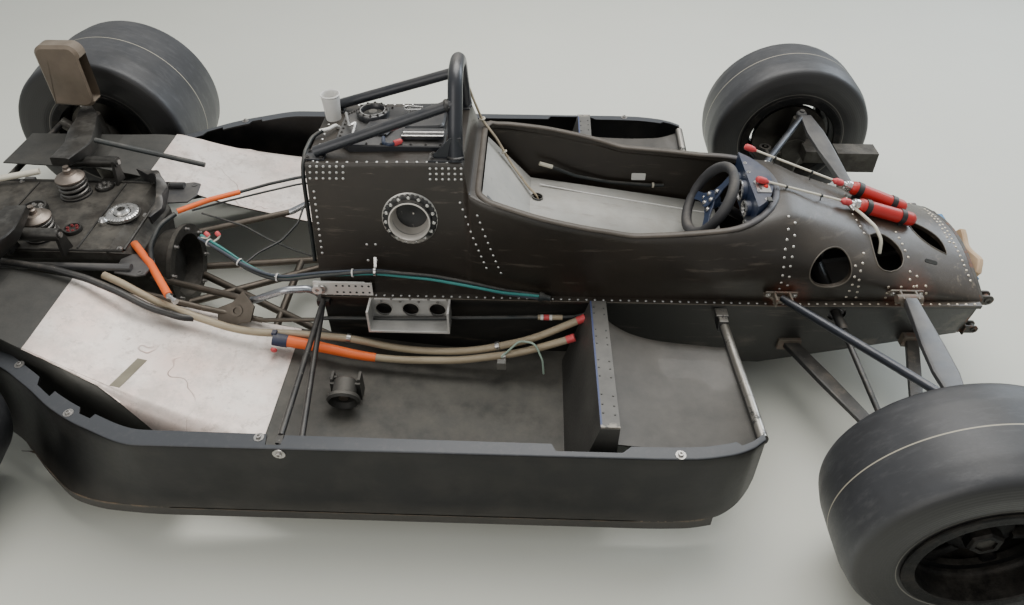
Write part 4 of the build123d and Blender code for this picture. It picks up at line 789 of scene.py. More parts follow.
# %% Rim bead
rim_line = rim_plan(widen=0.005)
top = through(rim_line[:, 0], TUB[:, 0], TUB[:, 4])
front = np.clip((rim_line[:, 0] - 0.86) / 0.16, 0, 1)
ridge = through(rim_line[:, 0], TUB[:, 0], TUB[:, 5])
lift = top + (ridge - top) * 0.9 * front
lift = np.where(rim_line[:, 0] < 0.2, 0.674, lift)
rim_path = even(np.c_[np.r_[rim_line, rim_line[:1]], np.r_[lift, lift[:1]] - 0.001], 0.012)[:-1]
flat_bead = ring(1.0, 14) * (0.0095, 0.006)
print("rim points", len(rim_path))
worn_edge_with_sheen = worn("worn_edge_with_sheen", (0.055, 0.045, 0.036), (0.1, 0.083, 0.066), rough=(0.35, 0.6), tone_scale=14,
                 dust=0.1)
# Painted sheen: the rim's front arc, ahead of x 0.93, turns bluish.
worn_edge_with_sheen.tint(worn_edge_with_sheen.axis("X").above(0.93, 0.08) * 0.5, (0.07, 0.085, 0.12))
rim = piece("cockpit_rim", carry(rim_path, flat_bead, loop=True), worn_edge_with_sheen)

# %% [markdown]
# ## Slick tyres
# A slick has no tread blocks, so its shape is all in the profile: a nearly flat tread, a tight shoulder
# and a sidewall that bulges over the rim flange. The profile is turned round the axle. A thin cream
# moulding line runs round the tread's middle, and the sidewall is darker and carries fine rings.


# %% Rubber
def rubber(name, axle, mid, radius, tread_half):
    """Tread and sidewall told apart by the distance from the wheel's middle plane and from the axle."""
    f = worn(name, (0.03, 0.031, 0.034), (0.05, 0.052, 0.058), rough=(0.36, 0.52), tone_scale=5,
             grain_scale=160, dust=0.22, dust_colour=(0.16, 0.15, 0.14))
    off = (f.axis("Y").absolute() - mid).absolute()
    x, z = f.axis("X") - axle, f.axis("Z") - radius
    far = (x * x + z * z) ** 0.5
    side = off.above(tread_half - 0.004, 0.006)
    line = off.below(0.0015, 0.0004) * far.above(radius - 0.03, 0.002)
    rim_line = far.below(0.2005, 0.0008) * far.above(0.1985, 0.0008) * side
    scrub = f.noise(1.0, 6.0, 0.7, f.stretched((18, 60, 18))).above(0.58, 0.08) * (1 - side) * 0.35
    colour = f.mix(scrub, f.base, (0.1, 0.1, 0.105))
    colour = f.mix(side * 0.75, colour, (0.014, 0.013, 0.012))
    colour = f.mix(line * 0.8, colour, (0.5, 0.46, 0.36))
    colour = f.mix(rim_line * 0.5, colour, (0.32, 0.3, 0.26))
    f.colour(colour)
    rings = f.node("ShaderNodeMath", {"operation": "SINE"}, {0: far * 900}) * side
    f.bump(f.grain * 0.5 + rings * 0.3 - line * 0.4, 0.0005, 0.6)
    return f


FRONT_WHEEL = {"axle": F_AXLE, "mid": 0.8635, "radius": 0.306, "half": 0.136, "tread": 0.125}
REAR_WHEEL = {"axle": R_AXLE, "mid": 0.826, "radius": 0.329, "half": 0.2035, "tread": 0.197}
BEAD_R, FLANGE_R = 0.168, 0.191
for wheel, label in ((FRONT_WHEEL, "front"), (REAR_WHEEL, "rear")):
    wheel["rubber"] = rubber(label + "_rubber", wheel["axle"], wheel["mid"], wheel["radius"], wheel["tread"])
print("rubber for two sizes")


# %% Tyres
def soft_profile(points, bend, step=0.006):
    """Profile whose corners are rounded."""
    p = np.asarray(points, float)
    return rounded(np.c_[p, np.zeros(len(p))], bend, step)[:, :2]


def tyre_profile(radius, half, tread):
    """Closed (radius, distance) profile: tread crowned by 1 mm, shoulder 12 mm lower, sidewall and bead."""
    bead = half - 0.008
    outer = [(BEAD_R, bead), (FLANGE_R + 0.004, bead), (FLANGE_R + 0.026, half - 0.001),
             (radius - 0.055, half), (radius - 0.012, tread), (radius - 0.001, tread * 0.55), (radius, 0)]
    outer = soft_profile(outer, 0.05)
    return np.concatenate([outer, outer[-2::-1] * (1, -1)])


BODY = {("front", -1): "wheel_fr", ("front", 1): "wheel_fl", ("rear", -1): "wheel_rr",
        ("rear", 1): "wheel_rl"}
SIDE = {-1: "right", 1: "left"}
for end, wheel in (("front", FRONT_WHEEL), ("rear", REAR_WHEEL)):
    profile = tyre_profile(wheel["radius"], wheel["half"], wheel["tread"])
    for s in (-1, 1):
        shape = turned(profile, (wheel["axle"], s * wheel["mid"], wheel["radius"]), (0, s, 0), 128,
                       loop=True)
        tyre = piece(f"slick_{end}_{SIDE[s]}", shape, wheel["rubber"], BODY[end, s], sharp=50)
        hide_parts(f"tyre_{end}_{SIDE[s]}")
print("tyre profile", len(profile), "points")

# %% [markdown]
# ## Rims
# The rims are dark cast centres in spun barrels. The barrel is a turned loop with two flanges and a
# slightly dropped well. Six spokes run from hub to barrel, each a rounded bar that widens at its foot,
# and a nut with six sides, or twelve at the rear, holds the wheel.


# %% Rims
def rim_shape(wheel, s, disc_at, nut_r, bore):
    """Barrel, hub, six spokes and nut; s is the side, and distances grow outboard."""
    half = wheel["half"]
    bead, wall = half - 0.008, 0.161
    centre = np.array([wheel["axle"], s * wheel["mid"], wheel["radius"]])
    axis = np.array([0, s, 0.0])
    outside = [(BEAD_R, -bead), (FLANGE_R, -bead), (FLANGE_R, -half), (wall, -half), (wall, -half * 0.6),
               (wall - 0.004, -half * 0.55), (wall - 0.004, half * 0.5), (wall, half * 0.55), (wall, half),
               (FLANGE_R, half), (FLANGE_R, bead), (BEAD_R, bead)]
    barrel = turned(soft_profile(outside, 0.004, 0.004), centre, axis, 72, loop=True)
    hub = turned(soft_profile([(bore, disc_at), (0.074, disc_at), (0.074, disc_at + 0.018),
                               (nut_r + 0.006, disc_at + 0.026), (bore, disc_at + 0.026)],
                              0.003, 0.004), centre, axis, 48, loop=True)
    plate = turned(soft_profile([(0.142, disc_at + 0.004), (wall + 0.001, disc_at + 0.004),
                                 (wall + 0.001, disc_at + 0.022), (0.142, disc_at + 0.02)],
                                0.003, 0.004), centre, axis, 72, loop=True)
    nut = turned([(bore, disc_at + 0.026), (nut_r, disc_at + 0.026), (nut_r, disc_at + 0.046),
                  (nut_r - 0.005, disc_at + 0.052),
                  (bore, disc_at + 0.052)], centre, axis, 6 if bore < 0.03 else 12, loop=True)
    spokes = []
    for k in range(6):
        a = math.pi / 3 * (k + 0.5) + math.pi / 6
        out = np.array([math.cos(a), 0, math.sin(a)])
        r = np.linspace(0.066, 0.15, 9)
        depth = disc_at + 0.012 + 0.006 * np.cos((r - 0.066) / 0.084 * math.pi)
        line = centre + r[:, None] * out + depth[:, None] * axis
        spokes.append(carry(line, rounded_box(0.03, 0.016, 0.006), 0.85 + 0.6 * ((r - 0.066) / 0.084) ** 3))
    return joined(barrel, hub, plate, nut, *spokes)


RIMS = {"front": (FRONT_WHEEL, 0.038, 0.04, 0.02405), "rear": (REAR_WHEEL, 0.06, 0.066, 0.052)}
for (end, s), body in BODY.items():
    wheel, disc_at, nut_r, bore = RIMS[end]
    rim_piece = piece(f"cast_rim_{end}_{SIDE[s]}", rim_shape(wheel, s, disc_at, nut_r, bore), wheel_alloy,
                      body)
    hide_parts(f"rim_{end}_{SIDE[s]}")
print("rims made")

# %% [markdown]
# ## Side pods
# Each pod is a shallow tray: an outer panel with an inturned top lip, a floor that rises into a tunnel
# roof, bright shields over the hot part, and an upright strip that carried the radiator. Seen from above
# the panel draws in towards the rear wheel and its foot flares outward. Both are curves, so the panel
# is one closed section carried along the car with its widths read from a table.


# %% Side panels
POD_REAR, POD_FRONT, CORNER_X, CORNER_R = -1.15, 0.891, 0.781, 0.11
# Columns: x, half width at the top, half width at the foot
PANEL = np.array([
    (-1.15, 0.545, 0.56), (-1.07, 0.562, 0.606), (-0.953, 0.628, 0.7), (-0.845, 0.702, 0.77),
    (-0.745, 0.752, 0.792), (-0.59, 0.8, 0.8), (0.62, 0.8, 0.8), (0.72, 0.797, 0.797),
    (0.801, 0.784, 0.784), (0.855, 0.764, 0.764), (0.891, 0.738, 0.738)])
POD_TOP, POD_FOOT, LIP_T = 0.37, 0.108, 0.006
# Columns: x, width of the lip; the steps are notches and the narrow stretch beside the radiator
LIP = np.array([
    (-1.15, 0.046), (-0.925, 0.046), (-0.918, 0.026), (-0.868, 0.026), (-0.862, 0.046), (-0.775, 0.046),
    (-0.768, 0.03), (-0.735, 0.03), (-0.728, 0.046), (-0.292, 0.042), (-0.288, 0.012), (-0.252, 0.012),
    (-0.248, 0.04), (0.385, 0.036), (0.395, 0.016), (0.55, 0.016), (0.572, 0.034), (0.82, 0.034),
    (0.832, 0.02), (0.891, 0.02)])


def panel_shape(s):
    """Section: foot, flared face, rounded top corner, lip, inner face. The face's half width is
    top + (foot - top) * (share of the height below the lip) to the power 2.2."""
    x = np.concatenate([np.linspace(POD_REAR, POD_FRONT, 150), LIP[:, 0], np.linspace(0.8, POD_FRONT, 16)])
    x = np.unique(np.round(x, 4))
    top, foot = through(x, PANEL[:, 0], PANEL[:, 1]), through(x, PANEL[:, 0], PANEL[:, 2])
    lip = np.interp(x, LIP[:, 0], LIP[:, 1])
    rise = CORNER_R - np.sqrt(np.maximum(CORNER_R**2 - (x - CORNER_X) ** 2, 0))
    low = POD_FOOT + np.where(x > CORNER_X, rise, 0)
    share = np.linspace(1, 0, 12)[None, :]
    z = POD_TOP - 0.005 - share * (POD_TOP - 0.005 - low[:, None])
    y = top[:, None] + (foot - top)[:, None] * share**2.2
    turn = np.linspace(0, np.pi / 2, 5)[None, 1:]
    corner_y = top[:, None] - 0.005 + 0.005 * np.cos(turn)
    corner_z = POD_TOP - 0.005 + 0.005 * np.sin(turn) + 0 * x[:, None]
    inner = (top - lip)[:, None]
    lip_y = np.concatenate([inner, inner], 1)
    under = np.full_like(inner, POD_TOP - LIP_T)
    lip_z = np.concatenate([np.full_like(inner, POD_TOP), under], 1)
    wall_y = np.concatenate([np.maximum(top[:, None] - LIP_T - 0.001, inner), y[:, ::-1] - LIP_T], 1)
    wall_z = np.concatenate([under, np.minimum(z[:, ::-1], POD_TOP - LIP_T - 0.001)], 1)
    ys, zs = np.concatenate([y, corner_y, lip_y, wall_y], 1), np.concatenate([z, corner_z, lip_z, wall_z], 1)
    grid = np.stack([np.broadcast_to(x[:, None], ys.shape), s * ys, zs], 2)
    n, m = ys.shape
    return grid.reshape(-1, 3), capped_faces(n, m)


panel_black = worn("panel_black", (0.0035, 0.0035, 0.004), (0.008, 0.008, 0.009), rough=(0.26, 0.4),
                   tone_scale=4, dust=0.0, Specular_IOR_Level=0.3)
lip_sheen_zone = panel_black.facing_up().above(0.7, 0.15) * panel_black.axis("Z").above(0.362, 0.002)
chip = panel_black.noise(38, 6.0, 0.75).above(0.6, 0.02)
grime = panel_black.noise(9, 5.0, 0.6).above(0.55, 0.1)
edge_wear = panel_black.axis("Z").above(0.366, 0.003) * panel_black.noise(60, 4.0, 0.7).above(0.58, 0.04)
low_dust = panel_black.axis("Z").below(0.135, 0.03) * panel_black.noise(14, 5.0, 0.6) * 0.35
colour = panel_black.mix(low_dust + grime * 0.06, panel_black.base, (0.16, 0.14, 0.12))
# Painted sheen: the lip's upward faces are bluish grey; the chips lie only there too.
colour = panel_black.mix(lip_sheen_zone * 0.9, colour, (0.072, 0.076, 0.084))
colour = panel_black.mix((edge_wear * 0.03 + chip * lip_sheen_zone * 0.02).clipped(), colour, (0.36, 0.32, 0.28))
panel_black.colour(colour).bump(panel_black.grain * 0.5 - chip * lip_sheen_zone * 0.25, 0.0004, 0.6)


def skirt_shape(s):
    """Rubbing strip below the panel and the ledge that the rear of the panel stands on."""
    x = np.concatenate([np.linspace(-1.06, 0.7, 90), np.linspace(0.705, 0.801, 14)])
    outer = through(x, PANEL[:, 0], PANEL[:, 2])
    corners = ((0.0, 0.0765), (0.0, 0.112), (0.008, 0.112), (0.008, 0.0765))
    strip = np.stack([np.stack([x, s * (outer - d), np.full_like(x, z)], 1) for d, z in corners], 1)
    strip = (strip.reshape(-1, 3), capped_faces(len(x), 4))
    x = np.linspace(-1.06, -0.57, 24)
    inner, outer = np.full_like(x, 0.64), through(x, PANEL[:, 0], PANEL[:, 2]).clip(0.6405, 0.799)
    corners = ((inner, 0.104), (outer, 0.104), (outer, 0.108), (inner, 0.108))
    grid = np.stack([np.stack([x, s * w, np.full_like(x, z)], 1) for w, z in corners], 1)
    ledge = (grid.reshape(-1, 3), capped_faces(24, 4))
    return joined(strip, ledge)


skirt_grey = worn("skirt_grey", (0.03, 0.028, 0.026), (0.055, 0.05, 0.044), rough=(0.45, 0.65), tone_scale=6,
                  dust=0.3)
upper_edge = skirt_grey.axis("Z").above(0.106, 0.003) * skirt_grey.noise(26, 5.0, 0.7).above(0.5, 0.12)
skirt_grey.colour(skirt_grey.mix(upper_edge * 0.6, skirt_grey.base, (0.26, 0.18, 0.11)))
for s in (-1, 1):
    panel = piece(f"pod_panel_{SIDE[s]}", panel_shape(s), panel_black)
    skirt = piece(f"pod_skirt_{SIDE[s]}", skirt_shape(s), skirt_grey)
    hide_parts("side_panels")
print("panels", len(panel.data.polygons), "faces each")


# %% Ramps in front of the radiators
def shell(grid, thick):
    """Closed sheet below a grid of points: the second face lies thick behind the first along its normals."""
    g = np.asarray(grid, float)
    n = np.cross(np.gradient(g, axis=1), np.gradient(g, axis=0))
    n /= np.linalg.norm(n, axis=2)[:, :, None] + 1e-12
    n *= np.where(n[..., 2:].mean() < 0, -1, 1)
    loop = np.concatenate([g, (g - n * thick)[:, ::-1]], 1)
    rows, m = g.shape[:2]
    j = np.arange(m - 1)
    cap = np.stack([j, j + 1, 2 * m - 2 - j, 2 * m - 1 - j], 1)
    faces = grid_faces(rows, 2 * m) + cap.tolist() + (cap + (rows - 1) * 2 * m)[:, ::-1].tolist()
    return loop.reshape(-1, 3), faces


# Columns: x, inner half width, inner height, outer height
RAMP = np.array([
    (0.539, 0.3, 0.352, 0.321), (0.56, 0.318, 0.342, 0.318), (0.62, 0.338, 0.32, 0.313),
    (0.7, 0.344, 0.302, 0.311), (0.8, 0.35, 0.296, 0.315), (0.881, 0.36, 0.3, 0.338),
    (0.895, 0.36, 0.304, 0.348)])
DISH = 0.014


def ramp_shape(s):
    """Sheet dished by 14 mm behind the front lip; its inner edge curls down by 14 mm."""
    x = np.linspace(0.539, 0.893, 48)[:, None]
    share = np.linspace(0, 1, 30)[None, :]
    w_in, z_in, z_out = (through(x[:, 0], RAMP[:, 0], RAMP[:, i])[:, None] for i in (1, 2, 3))
    w = w_in + (0.724 - w_in) * share
    curl = (1 - np.clip(share / 0.06, 0, 1)) ** 2
    z = z_in + (z_out - z_in) * share - DISH * np.sin(np.pi * share) - DISH * curl
    return shell(np.stack([x + 0 * w, s * w, z], 2), 0.004)


ramp_grey = worn("ramp_grey", (0.04, 0.038, 0.034), (0.08, 0.074, 0.066), rough=(0.34, 0.5), tone_scale=7,
                 dust=0.12, Coat_Weight=0.1)
ramp_grey.bump(ramp_grey.noise(420, 2.0, 0.5), 0.0005, 0.6)
lip_metal = worn("lip_metal", (0.03, 0.03, 0.032), (0.06, 0.06, 0.062), rough=(0.25, 0.45), tone_scale=10,
                 dust=0.0, Metallic=0.4)
# Worn bare metal and painted highlight together: a bright patchy strip on the bar's upward faces.
bare_and_highlight = lip_metal.facing_up().above(0.35, 0.2) * lip_metal.noise(22, 5.0, 0.7).above(0.4, 0.05)
lip_metal.colour(lip_metal.mix(bare_and_highlight, lip_metal.base, (0.55, 0.52, 0.47)))
lip_metal.metallic((0.4 + bare_and_highlight * 0.5).clipped())
for s in (-1, 1):
    ramp = piece(f"inlet_ramp_{SIDE[s]}", ramp_shape(s), ramp_grey)
    bar = rounded([(0.884, s * 0.262, 0.303), (0.89, s * 0.42, 0.309), (0.892, s * 0.58, 0.33),
                   (0.891, s * 0.722, 0.35)], 0.3, 0.02)
    hanger = [brick((0.868, 0.894), (s * 0.252, s * 0.3), (0.286, 0.33), 0.003),
              brick((0.862, 0.896), (s * 0.25, s * 0.282), (0.326, 0.334), 0.002),
              brick((0.882, 0.896), (s * 0.25, s * 0.268), (0.255, 0.29), 0.002)]
    lip_bar = piece(f"inlet_lip_{SIDE[s]}", joined(carry(bar, ring(0.016, 16, 0.85)), *hanger), lip_metal)
    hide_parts("inlet_fairings")
print("ramps made")


# %% [markdown]
# ## Rivets, and worn edges of the holes
# The moulding is riveted to plates inside it and to the tray along the joint flange. Each row is given
# by its ends in side view or in plan. A ray from outside finds the skin, so every head sits on the real
# curve and looks along its normal. The same ray lays the worn beads round the holes.


# %% Find the skin
def search_tree(made):
    """Tree of an object's faces for rays."""
    bpy.context.view_layer.update()
    return BVHTree.FromObject(made, bpy.context.evaluated_depsgraph_get())


def land(tree, places, direction):
    """Where rays from the places meet the surface: points and normals that look back at the ray."""
    hits = [tree.ray_cast(Vector(p), Vector(direction)) for p in places]
    hits = [h for h in hits if h[0] is not None]
    points, normals = np.array([h[0] for h in hits]), np.array([h[1] for h in hits])
    back = -np.sign((normals * np.asarray(direction, float)).sum(1))[:, None]
    return points, normals * back


def from_side(tree, xz, s):
    xz = np.asarray(xz, float)
    return land(tree, np.c_[xz[:, 0], np.full(len(xz), s * 0.5), xz[:, 1]], (0, -s, 0))


def from_above(tree, xy):
    xy = np.asarray(xy, float)
    return land(tree, np.c_[xy, np.full(len(xy), 1.2)], (0, 0, -1))


def gathered(*pairs):
    return np.concatenate([p for p, _ in pairs]), np.concatenate([n for _, n in pairs])


tub_tree = search_tree(tub)
print("tree ready")

# %% Rows of rivets
# Columns: x and z of the first rivet, x and z of the last, count
SIDE_ROWS = [
    (0.133, 0.649, 0.203, 0.452, 11), (0.181, 0.627, 0.244, 0.437, 10), (-0.091, 0.417, 0.226, 0.376, 15),
    (-0.266, 0.669, -0.266, 0.479, 11), (-0.268, 0.741, -0.179, 0.743, 6), (-0.27, 0.724, -0.18, 0.726, 6),
    (-0.272, 0.707, -0.182, 0.709, 6), (0.055, 0.743, 0.138, 0.745, 6), (0.055, 0.728, 0.138, 0.73, 6),
    (0.054, 0.713, 0.138, 0.715, 6), (-0.135, 0.511, -0.11, 0.512, 2), (-0.136, 0.459, -0.112, 0.46, 2),
    (1.043, 0.587, 1.031, 0.524, 4), (1.03, 0.504, 1.036, 0.4, 5), (1.06, 0.575, 1.052, 0.505, 4),
    (1.05, 0.48, 1.055, 0.415, 3), (1.269, 0.485, 1.253, 0.458, 3), (1.238, 0.47, 1.232, 0.372, 5),
    (1.251, 0.436, 1.26, 0.371, 4), (1.34, 0.412, 1.451, 0.407, 4), (1.452, 0.391, 1.447, 0.364, 2),
    (1.341, 0.391, 1.343, 0.372, 2), (1.409, 0.434, 1.404, 0.423, 2), (1.428, 0.425, 1.423, 0.409, 2)]
# Columns: x and y of the first rivet, x and y of the last, count; the nose is riveted from above
TOP_ROWS = [
    (1.598, 0.165, 1.59, -0.05, 13), (1.59, -0.066, 1.598, -0.178, 8), (1.582, 0.11, 1.576, -0.05, 9),
    (1.4, -0.063, 1.415, -0.144, 5), (1.414, 0.144, 1.4, 0.063, 5), (1.286, 0.074, 1.269, -0.02, 5),
    (1.269, -0.04, 1.285, -0.107, 4),
    (-0.262, -0.15, -0.262, 0.15, 12), (-0.25, -0.156, 0.1, -0.16, 14), (-0.25, 0.156, 0.1, 0.16, 14)]


def spread(rows, width):
    return np.concatenate([row_of(r[:width], r[width:2 * width], r[-1]) for r in rows])


side_hits = [from_side(tub_tree, spread(SIDE_ROWS, 2), s) for s in (-1, 1)]
flange_x = np.arange(-0.268, 1.605, 0.0245)
up = np.tile([0.0, 0.0, 1.0], (len(flange_x), 1))
flange_rows = [(np.c_[flange_x, np.full(len(flange_x), s * 0.2432), joint_z(flange_x) + 0.006], up)
               for s in (-1, 1)]
places, normals = gathered(*side_hits, from_above(tub_tree, spread(TOP_ROWS, 2)), *flange_rows)
rivet_metal = brushed("rivet_metal", (0.6, 0.6, 0.59), (0.78, 0.77, 0.75), rough=(0.25, 0.42))
rivet_metal.tint(rivet_metal.axis("X").above(1.15, 0.25) * 0.55, (0.55, 0.42, 0.24))
heads = piece("tub_rivets", rivets(places, normals, 0.004, 0.0021), rivet_metal, closed=False)
print(len(places), "rivets")


# %% Beads round the holes
def ring_on(tree, points, direction):
    """Thin bead on the skin along a closed outline that is given just outside a hole."""
    hits, _ = land(tree, points, direction)
    return carry(hits, ring(0.002, 8), loop=True)


def over(outline):
    """A closed plan outline with even steps, held above the nose."""
    closed = np.c_[np.r_[outline, outline[:1]], np.full(len(outline) + 1, 0.9)]
    return even(closed, 0.008)[:-1]


beads = []
for s in (-1, 1):
    edge = side_hole(0.0016)
    beads.append(ring_on(tub_tree, np.c_[edge[:, 0], np.full(len(edge), s * 0.5), edge[:, 1]], (0, -s, 0)))
    beads.append(ring_on(tub_tree, over(half_round_hole(s, 0.0018)), (0, 0, -1)))
beads.append(ring_on(tub_tree, over(lens_hole(0.0018)), (0, 0, -1)))
resin_edge = worn("resin_edge", (0.055, 0.046, 0.036), (0.14, 0.12, 0.095), rough=(0.35, 0.6), tone_scale=20,
                  dust=0.1)
edge_y = np.full(len(flange_x), FLANGE_W - 0.0006)
flange_edge = [carry(np.c_[flange_x, s * edge_y, joint_z(flange_x) + 0.003], ring(0.0019, 6))
               for s in (-1, 1)]
bead = piece("hole_beads", joined(*beads, *flange_edge), resin_edge)

# %% Stains on the skin
rust = tub_skin.near({"X": 1.065, "Z": 0.372}, 0.075).either(tub_skin.near({"X": 1.41, "Z": 0.368}, 0.085))
tub_skin.tint(rust * tub_skin.noise(60, 5.0, 0.7).above(0.42, 0.12) * 0.9, (0.15, 0.045, 0.025))
scrape = tub_skin.noise(1.0, 7.0, 0.75, tub_skin.stretched((9, 30, 60))).above(0.66, 0.03)
scrape = scrape * tub_skin.axis("X").below(0.16, 0.05)
tub_skin.tint(scrape * 0.5, (0.22, 0.18, 0.15))
nose_dust = tub_skin.axis("X").above(1.05, 0.2) * tub_skin.facing_up() ** 2 * tub_skin.noise(5, 5.0, 0.6)
tub_skin.tint(nose_dust * 0.28, (0.2, 0.155, 0.11))
front_chips = tub_skin.axis("X").above(1.5, 0.06) * tub_skin.noise(46, 6.0, 0.75).above(0.6, 0.03)
tub_skin.tint(front_chips * 0.35, (0.3, 0.24, 0.17))
print("beads and stains")

# %% [markdown]
# ## Inside the cockpit
# The steering wheel is a moulded grip on a three-armed plate, and it rides on its own body so that it
# turns with the column. The dash is a glossy blue-black hood with bright bezels. The liner is plain
# sheet, so what makes it real are the cable, the hose and the marks on it; its near half and its front
# are darkened with painted shade.

# %% Steering wheel
TILT = math.radians(30)
WHEEL_AT = np.array([0.856, 0.0, 0.54])
GRIP_R, DASH_X, HOOD_Z = 0.107, 0.9415, 0.6215
WHEEL_OUT = np.array([0.0, 1.0, 0.0])
WHEEL_UP = np.array([math.sin(TILT), 0.0, math.cos(TILT)])
WHEEL_AXIS = np.array([math.cos(TILT), 0.0, -math.sin(TILT)])


def on_wheel(angle, r, ahead=0.0):
    """Point on the wheel at an angle in degrees from its left, at radius r, ahead along the column."""
    a = math.radians(angle)
    return WHEEL_AT + r * (math.cos(a) * WHEEL_OUT + math.sin(a) * WHEEL_UP) + ahead * WHEEL_AXIS


def fit(made, slot_name, *nodes):
    """Hides the solids that a piece stands for; slot_name is not used."""
    if nodes:
        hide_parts(*nodes)
    return made


def add(name, shapes, finish, slot_name, *nodes, closed=True):
    """A chassis piece of one shape, or of a list of shapes, that hides the solids it stands for; slot_name is
    not used.
    """
    shape = joined(*shapes) if isinstance(shapes, list) else shapes
    return fit(piece(name, shape, finish, closed=closed), slot_name, *nodes)


angles = np.linspace(0, 360, 72, endpoint=False)
rim_line = np.array([on_wheel(v, GRIP_R) for v in angles])
thick = 1 + 0.05 * np.cos(np.radians(angles * 3 - 90)) - 0.1 * np.exp(-(((angles % 120) - 90) / 2.0) ** 2)
hand_grip = piece("steering_grip", carry(rim_line, ring(0.0152, 16), thick, loop=True), grip,
                  "steering_wheel_body")
arms = []
for angle in (90, 210, 330):
    along, across = on_wheel(angle, 1.0) - WHEEL_AT, on_wheel(angle + 90, 1.0) - WHEEL_AT
    half = [(0.0, 0.022), (0.03, 0.02), (0.055, 0.013), (0.1, 0.014)]
    plan = half + [(x, -y) for x, y in reversed(half)]
    arms.append(slab(plan, WHEEL_AT + 0.004 * WHEEL_AXIS, along, across, 0.0045))
boss = turned([(0.0, 0.026), (0.02, 0.026), (0.024, 0.02), (0.024, -0.001), (0.027, -0.003), (0.027, -0.006),
               (0.0, -0.006)],
              WHEEL_AT, WHEEL_AXIS, 32)
shaft = rod(WHEEL_AT, WHEEL_AT + 0.4 * WHEEL_AXIS, 0.009, 16)
plate = piece("wheel_plate", joined(*arms, boss, shaft), blue_black, "steering_wheel_body")
where = [on_wheel(v, 0.034, -0.0005) for v in (90, 210, 330)]
where += [on_wheel(v, 0.017, -0.006) for v in (30, 150, 270)]
studs = piece("wheel_bolts", bolts(where, -WHEEL_AXIS, 0.0045, 0.005, 1.9), bright, "steering_wheel_body",
              closed=False)
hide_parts("steering_wheel")
print("steering wheel")

# %% Instruments
# Columns: y, z, radius
GAUGES = [(0, 0.574, 0.03), (0.074, 0.562, 0.023), (-0.074, 0.562, 0.023), (0.112, 0.532, 0.015),
          (-0.112, 0.532, 0.015)]
rings, faces, marks = [], [], []
for y, z, r in GAUGES:
    rings.append(turned([(r - 0.003, 0), (r + 0.0015, 0), (r + 0.0025, 0.004), (r, 0.0065),
                         (r - 0.003, 0.005)], (DASH_X, y, z), (-1, 0, 0), 40, loop=True))
    faces.append(turned([(0, 0.0015), (r - 0.002, 0.0015), (r - 0.002, 0), (0, 0)], (DASH_X, y, z),
                        (-1, 0, 0), 32))
    for t in np.radians(np.linspace(-130, 130, 9)):
        centre = np.array([0.9395, y + (r - 0.007) * math.sin(t), z + (r - 0.007) * math.cos(t)])
        marks.append(slab([(-0.0005, -0.002), (0.0005, -0.002), (0.0005, 0.002), (-0.0005, 0.002)], centre,
                          (0, math.cos(t), -math.sin(t)), (0, math.sin(t), math.cos(t)), 0.0008, 0.0001))
    marks.append(slab([(-0.0008, -r * 0.2), (0.0008, -r * 0.2), (0.0002, r * 0.62), (-0.0002, r * 0.62)],
                      (0.9392, y, z), (0, 0.8, 0.6), (0, -0.6, 0.8), 0.001, 0.0001))
glass = Finish("gauge_face", Roughness=0.12, Coat_Weight=1.0)
glass.colour(glass.mix(glass.noise(60, 3.0), (0.008, 0.009, 0.01), (0.02, 0.02, 0.022)))
lamp_red = dull("lamp_red", (0.5, 0.012, 0.01), (0.62, 0.03, 0.02), rough=(0.2, 0.35), dust=0.05)
add("gauge_bezels", rings, bright, "blue_black_panel")
add("gauge_faces", faces, glass, "blue_black_panel")
add("gauge_marks", marks, white, "blue_black_panel")
# A cover on the hood, with a slot, screws and a red lamp
hood = brick((0.966, 1.006), (-0.075, -0.02), (0.617, HOOD_Z), 0.001)
slot_bar = brick((0.975, 0.981), (-0.062, -0.034), (0.6214, 0.6235), 0.0008)
screws = bolts([(0.97, -0.07, HOOD_Z), (0.97, -0.025, HOOD_Z), (0.962, 0.03, 0.618), (0.962, 0.08, 0.618),
                (0.985, -0.105, 0.618)], UP, 0.0035, 0.004)
add("dash_cover", hood, machined, "blue_black_panel")
add("dash_slot", [slot_bar, brick((0.984, 0.998), (-0.12, -0.1), (0.6175, 0.6235))], cable_black,
    "blue_black_panel")
add("dash_screws", screws, bright, "blue_black_panel", closed=False)
add("dash_lamp", turned([(0.006, 0), (0.006, 0.003), (0.003, 0.006), (0, 0.0065)], (0.995, -0.048, HOOD_Z),
                        UP, 16), lamp_red, "blue_black_panel")
print("instruments")

# %% Cable, hose and plates along the liner
seat_side = slab([(-0.075, -0.016), (0.075, -0.016), (0.075, 0.016), (-0.075, 0.016)],
                 (0.262, -0.15, 0.56), (0.63, 0.02, -0.78), (0, 1, 0.02), 0.003)
add("seat_strip", seat_side, blue_black, "blue_black_panel")
grey_bits = joined(
    slab([(-0.045, -0.02), (0.05, -0.02), (0.04, 0.02), (-0.04, 0.018)], (0.226, -0.176, 0.622),
         (0.55, 0.05, -0.84), (0, 1, 0.1), 0.002),
    slab([(-0.02, -0.012), (0.02, -0.012), (0.02, 0.012), (-0.02, 0.012)], (0.3, -0.176, 0.52),
         (0.6, 0.05, -0.8), (0, 1, 0.1), 0.002))
add("seat_plates", grey_bits, machined, "machined_alloy")
pair = []
for shift in (0.0, 0.007):
    pair.append(pipe([(0.128, 0.14, 0.86), (0.146, 0.158 + shift, 0.78), (0.172, 0.166 + shift, 0.7),
                      (0.215, 0.16 + shift, 0.64), (0.262, 0.14 + shift, 0.56),
                      (0.315, 0.112 + shift, 0.495), (0.345, 0.1 + shift / 2, 0.468), (0.352, 0.098, 0.44)],
                     0.0028, 0.05, 0.012, 8))
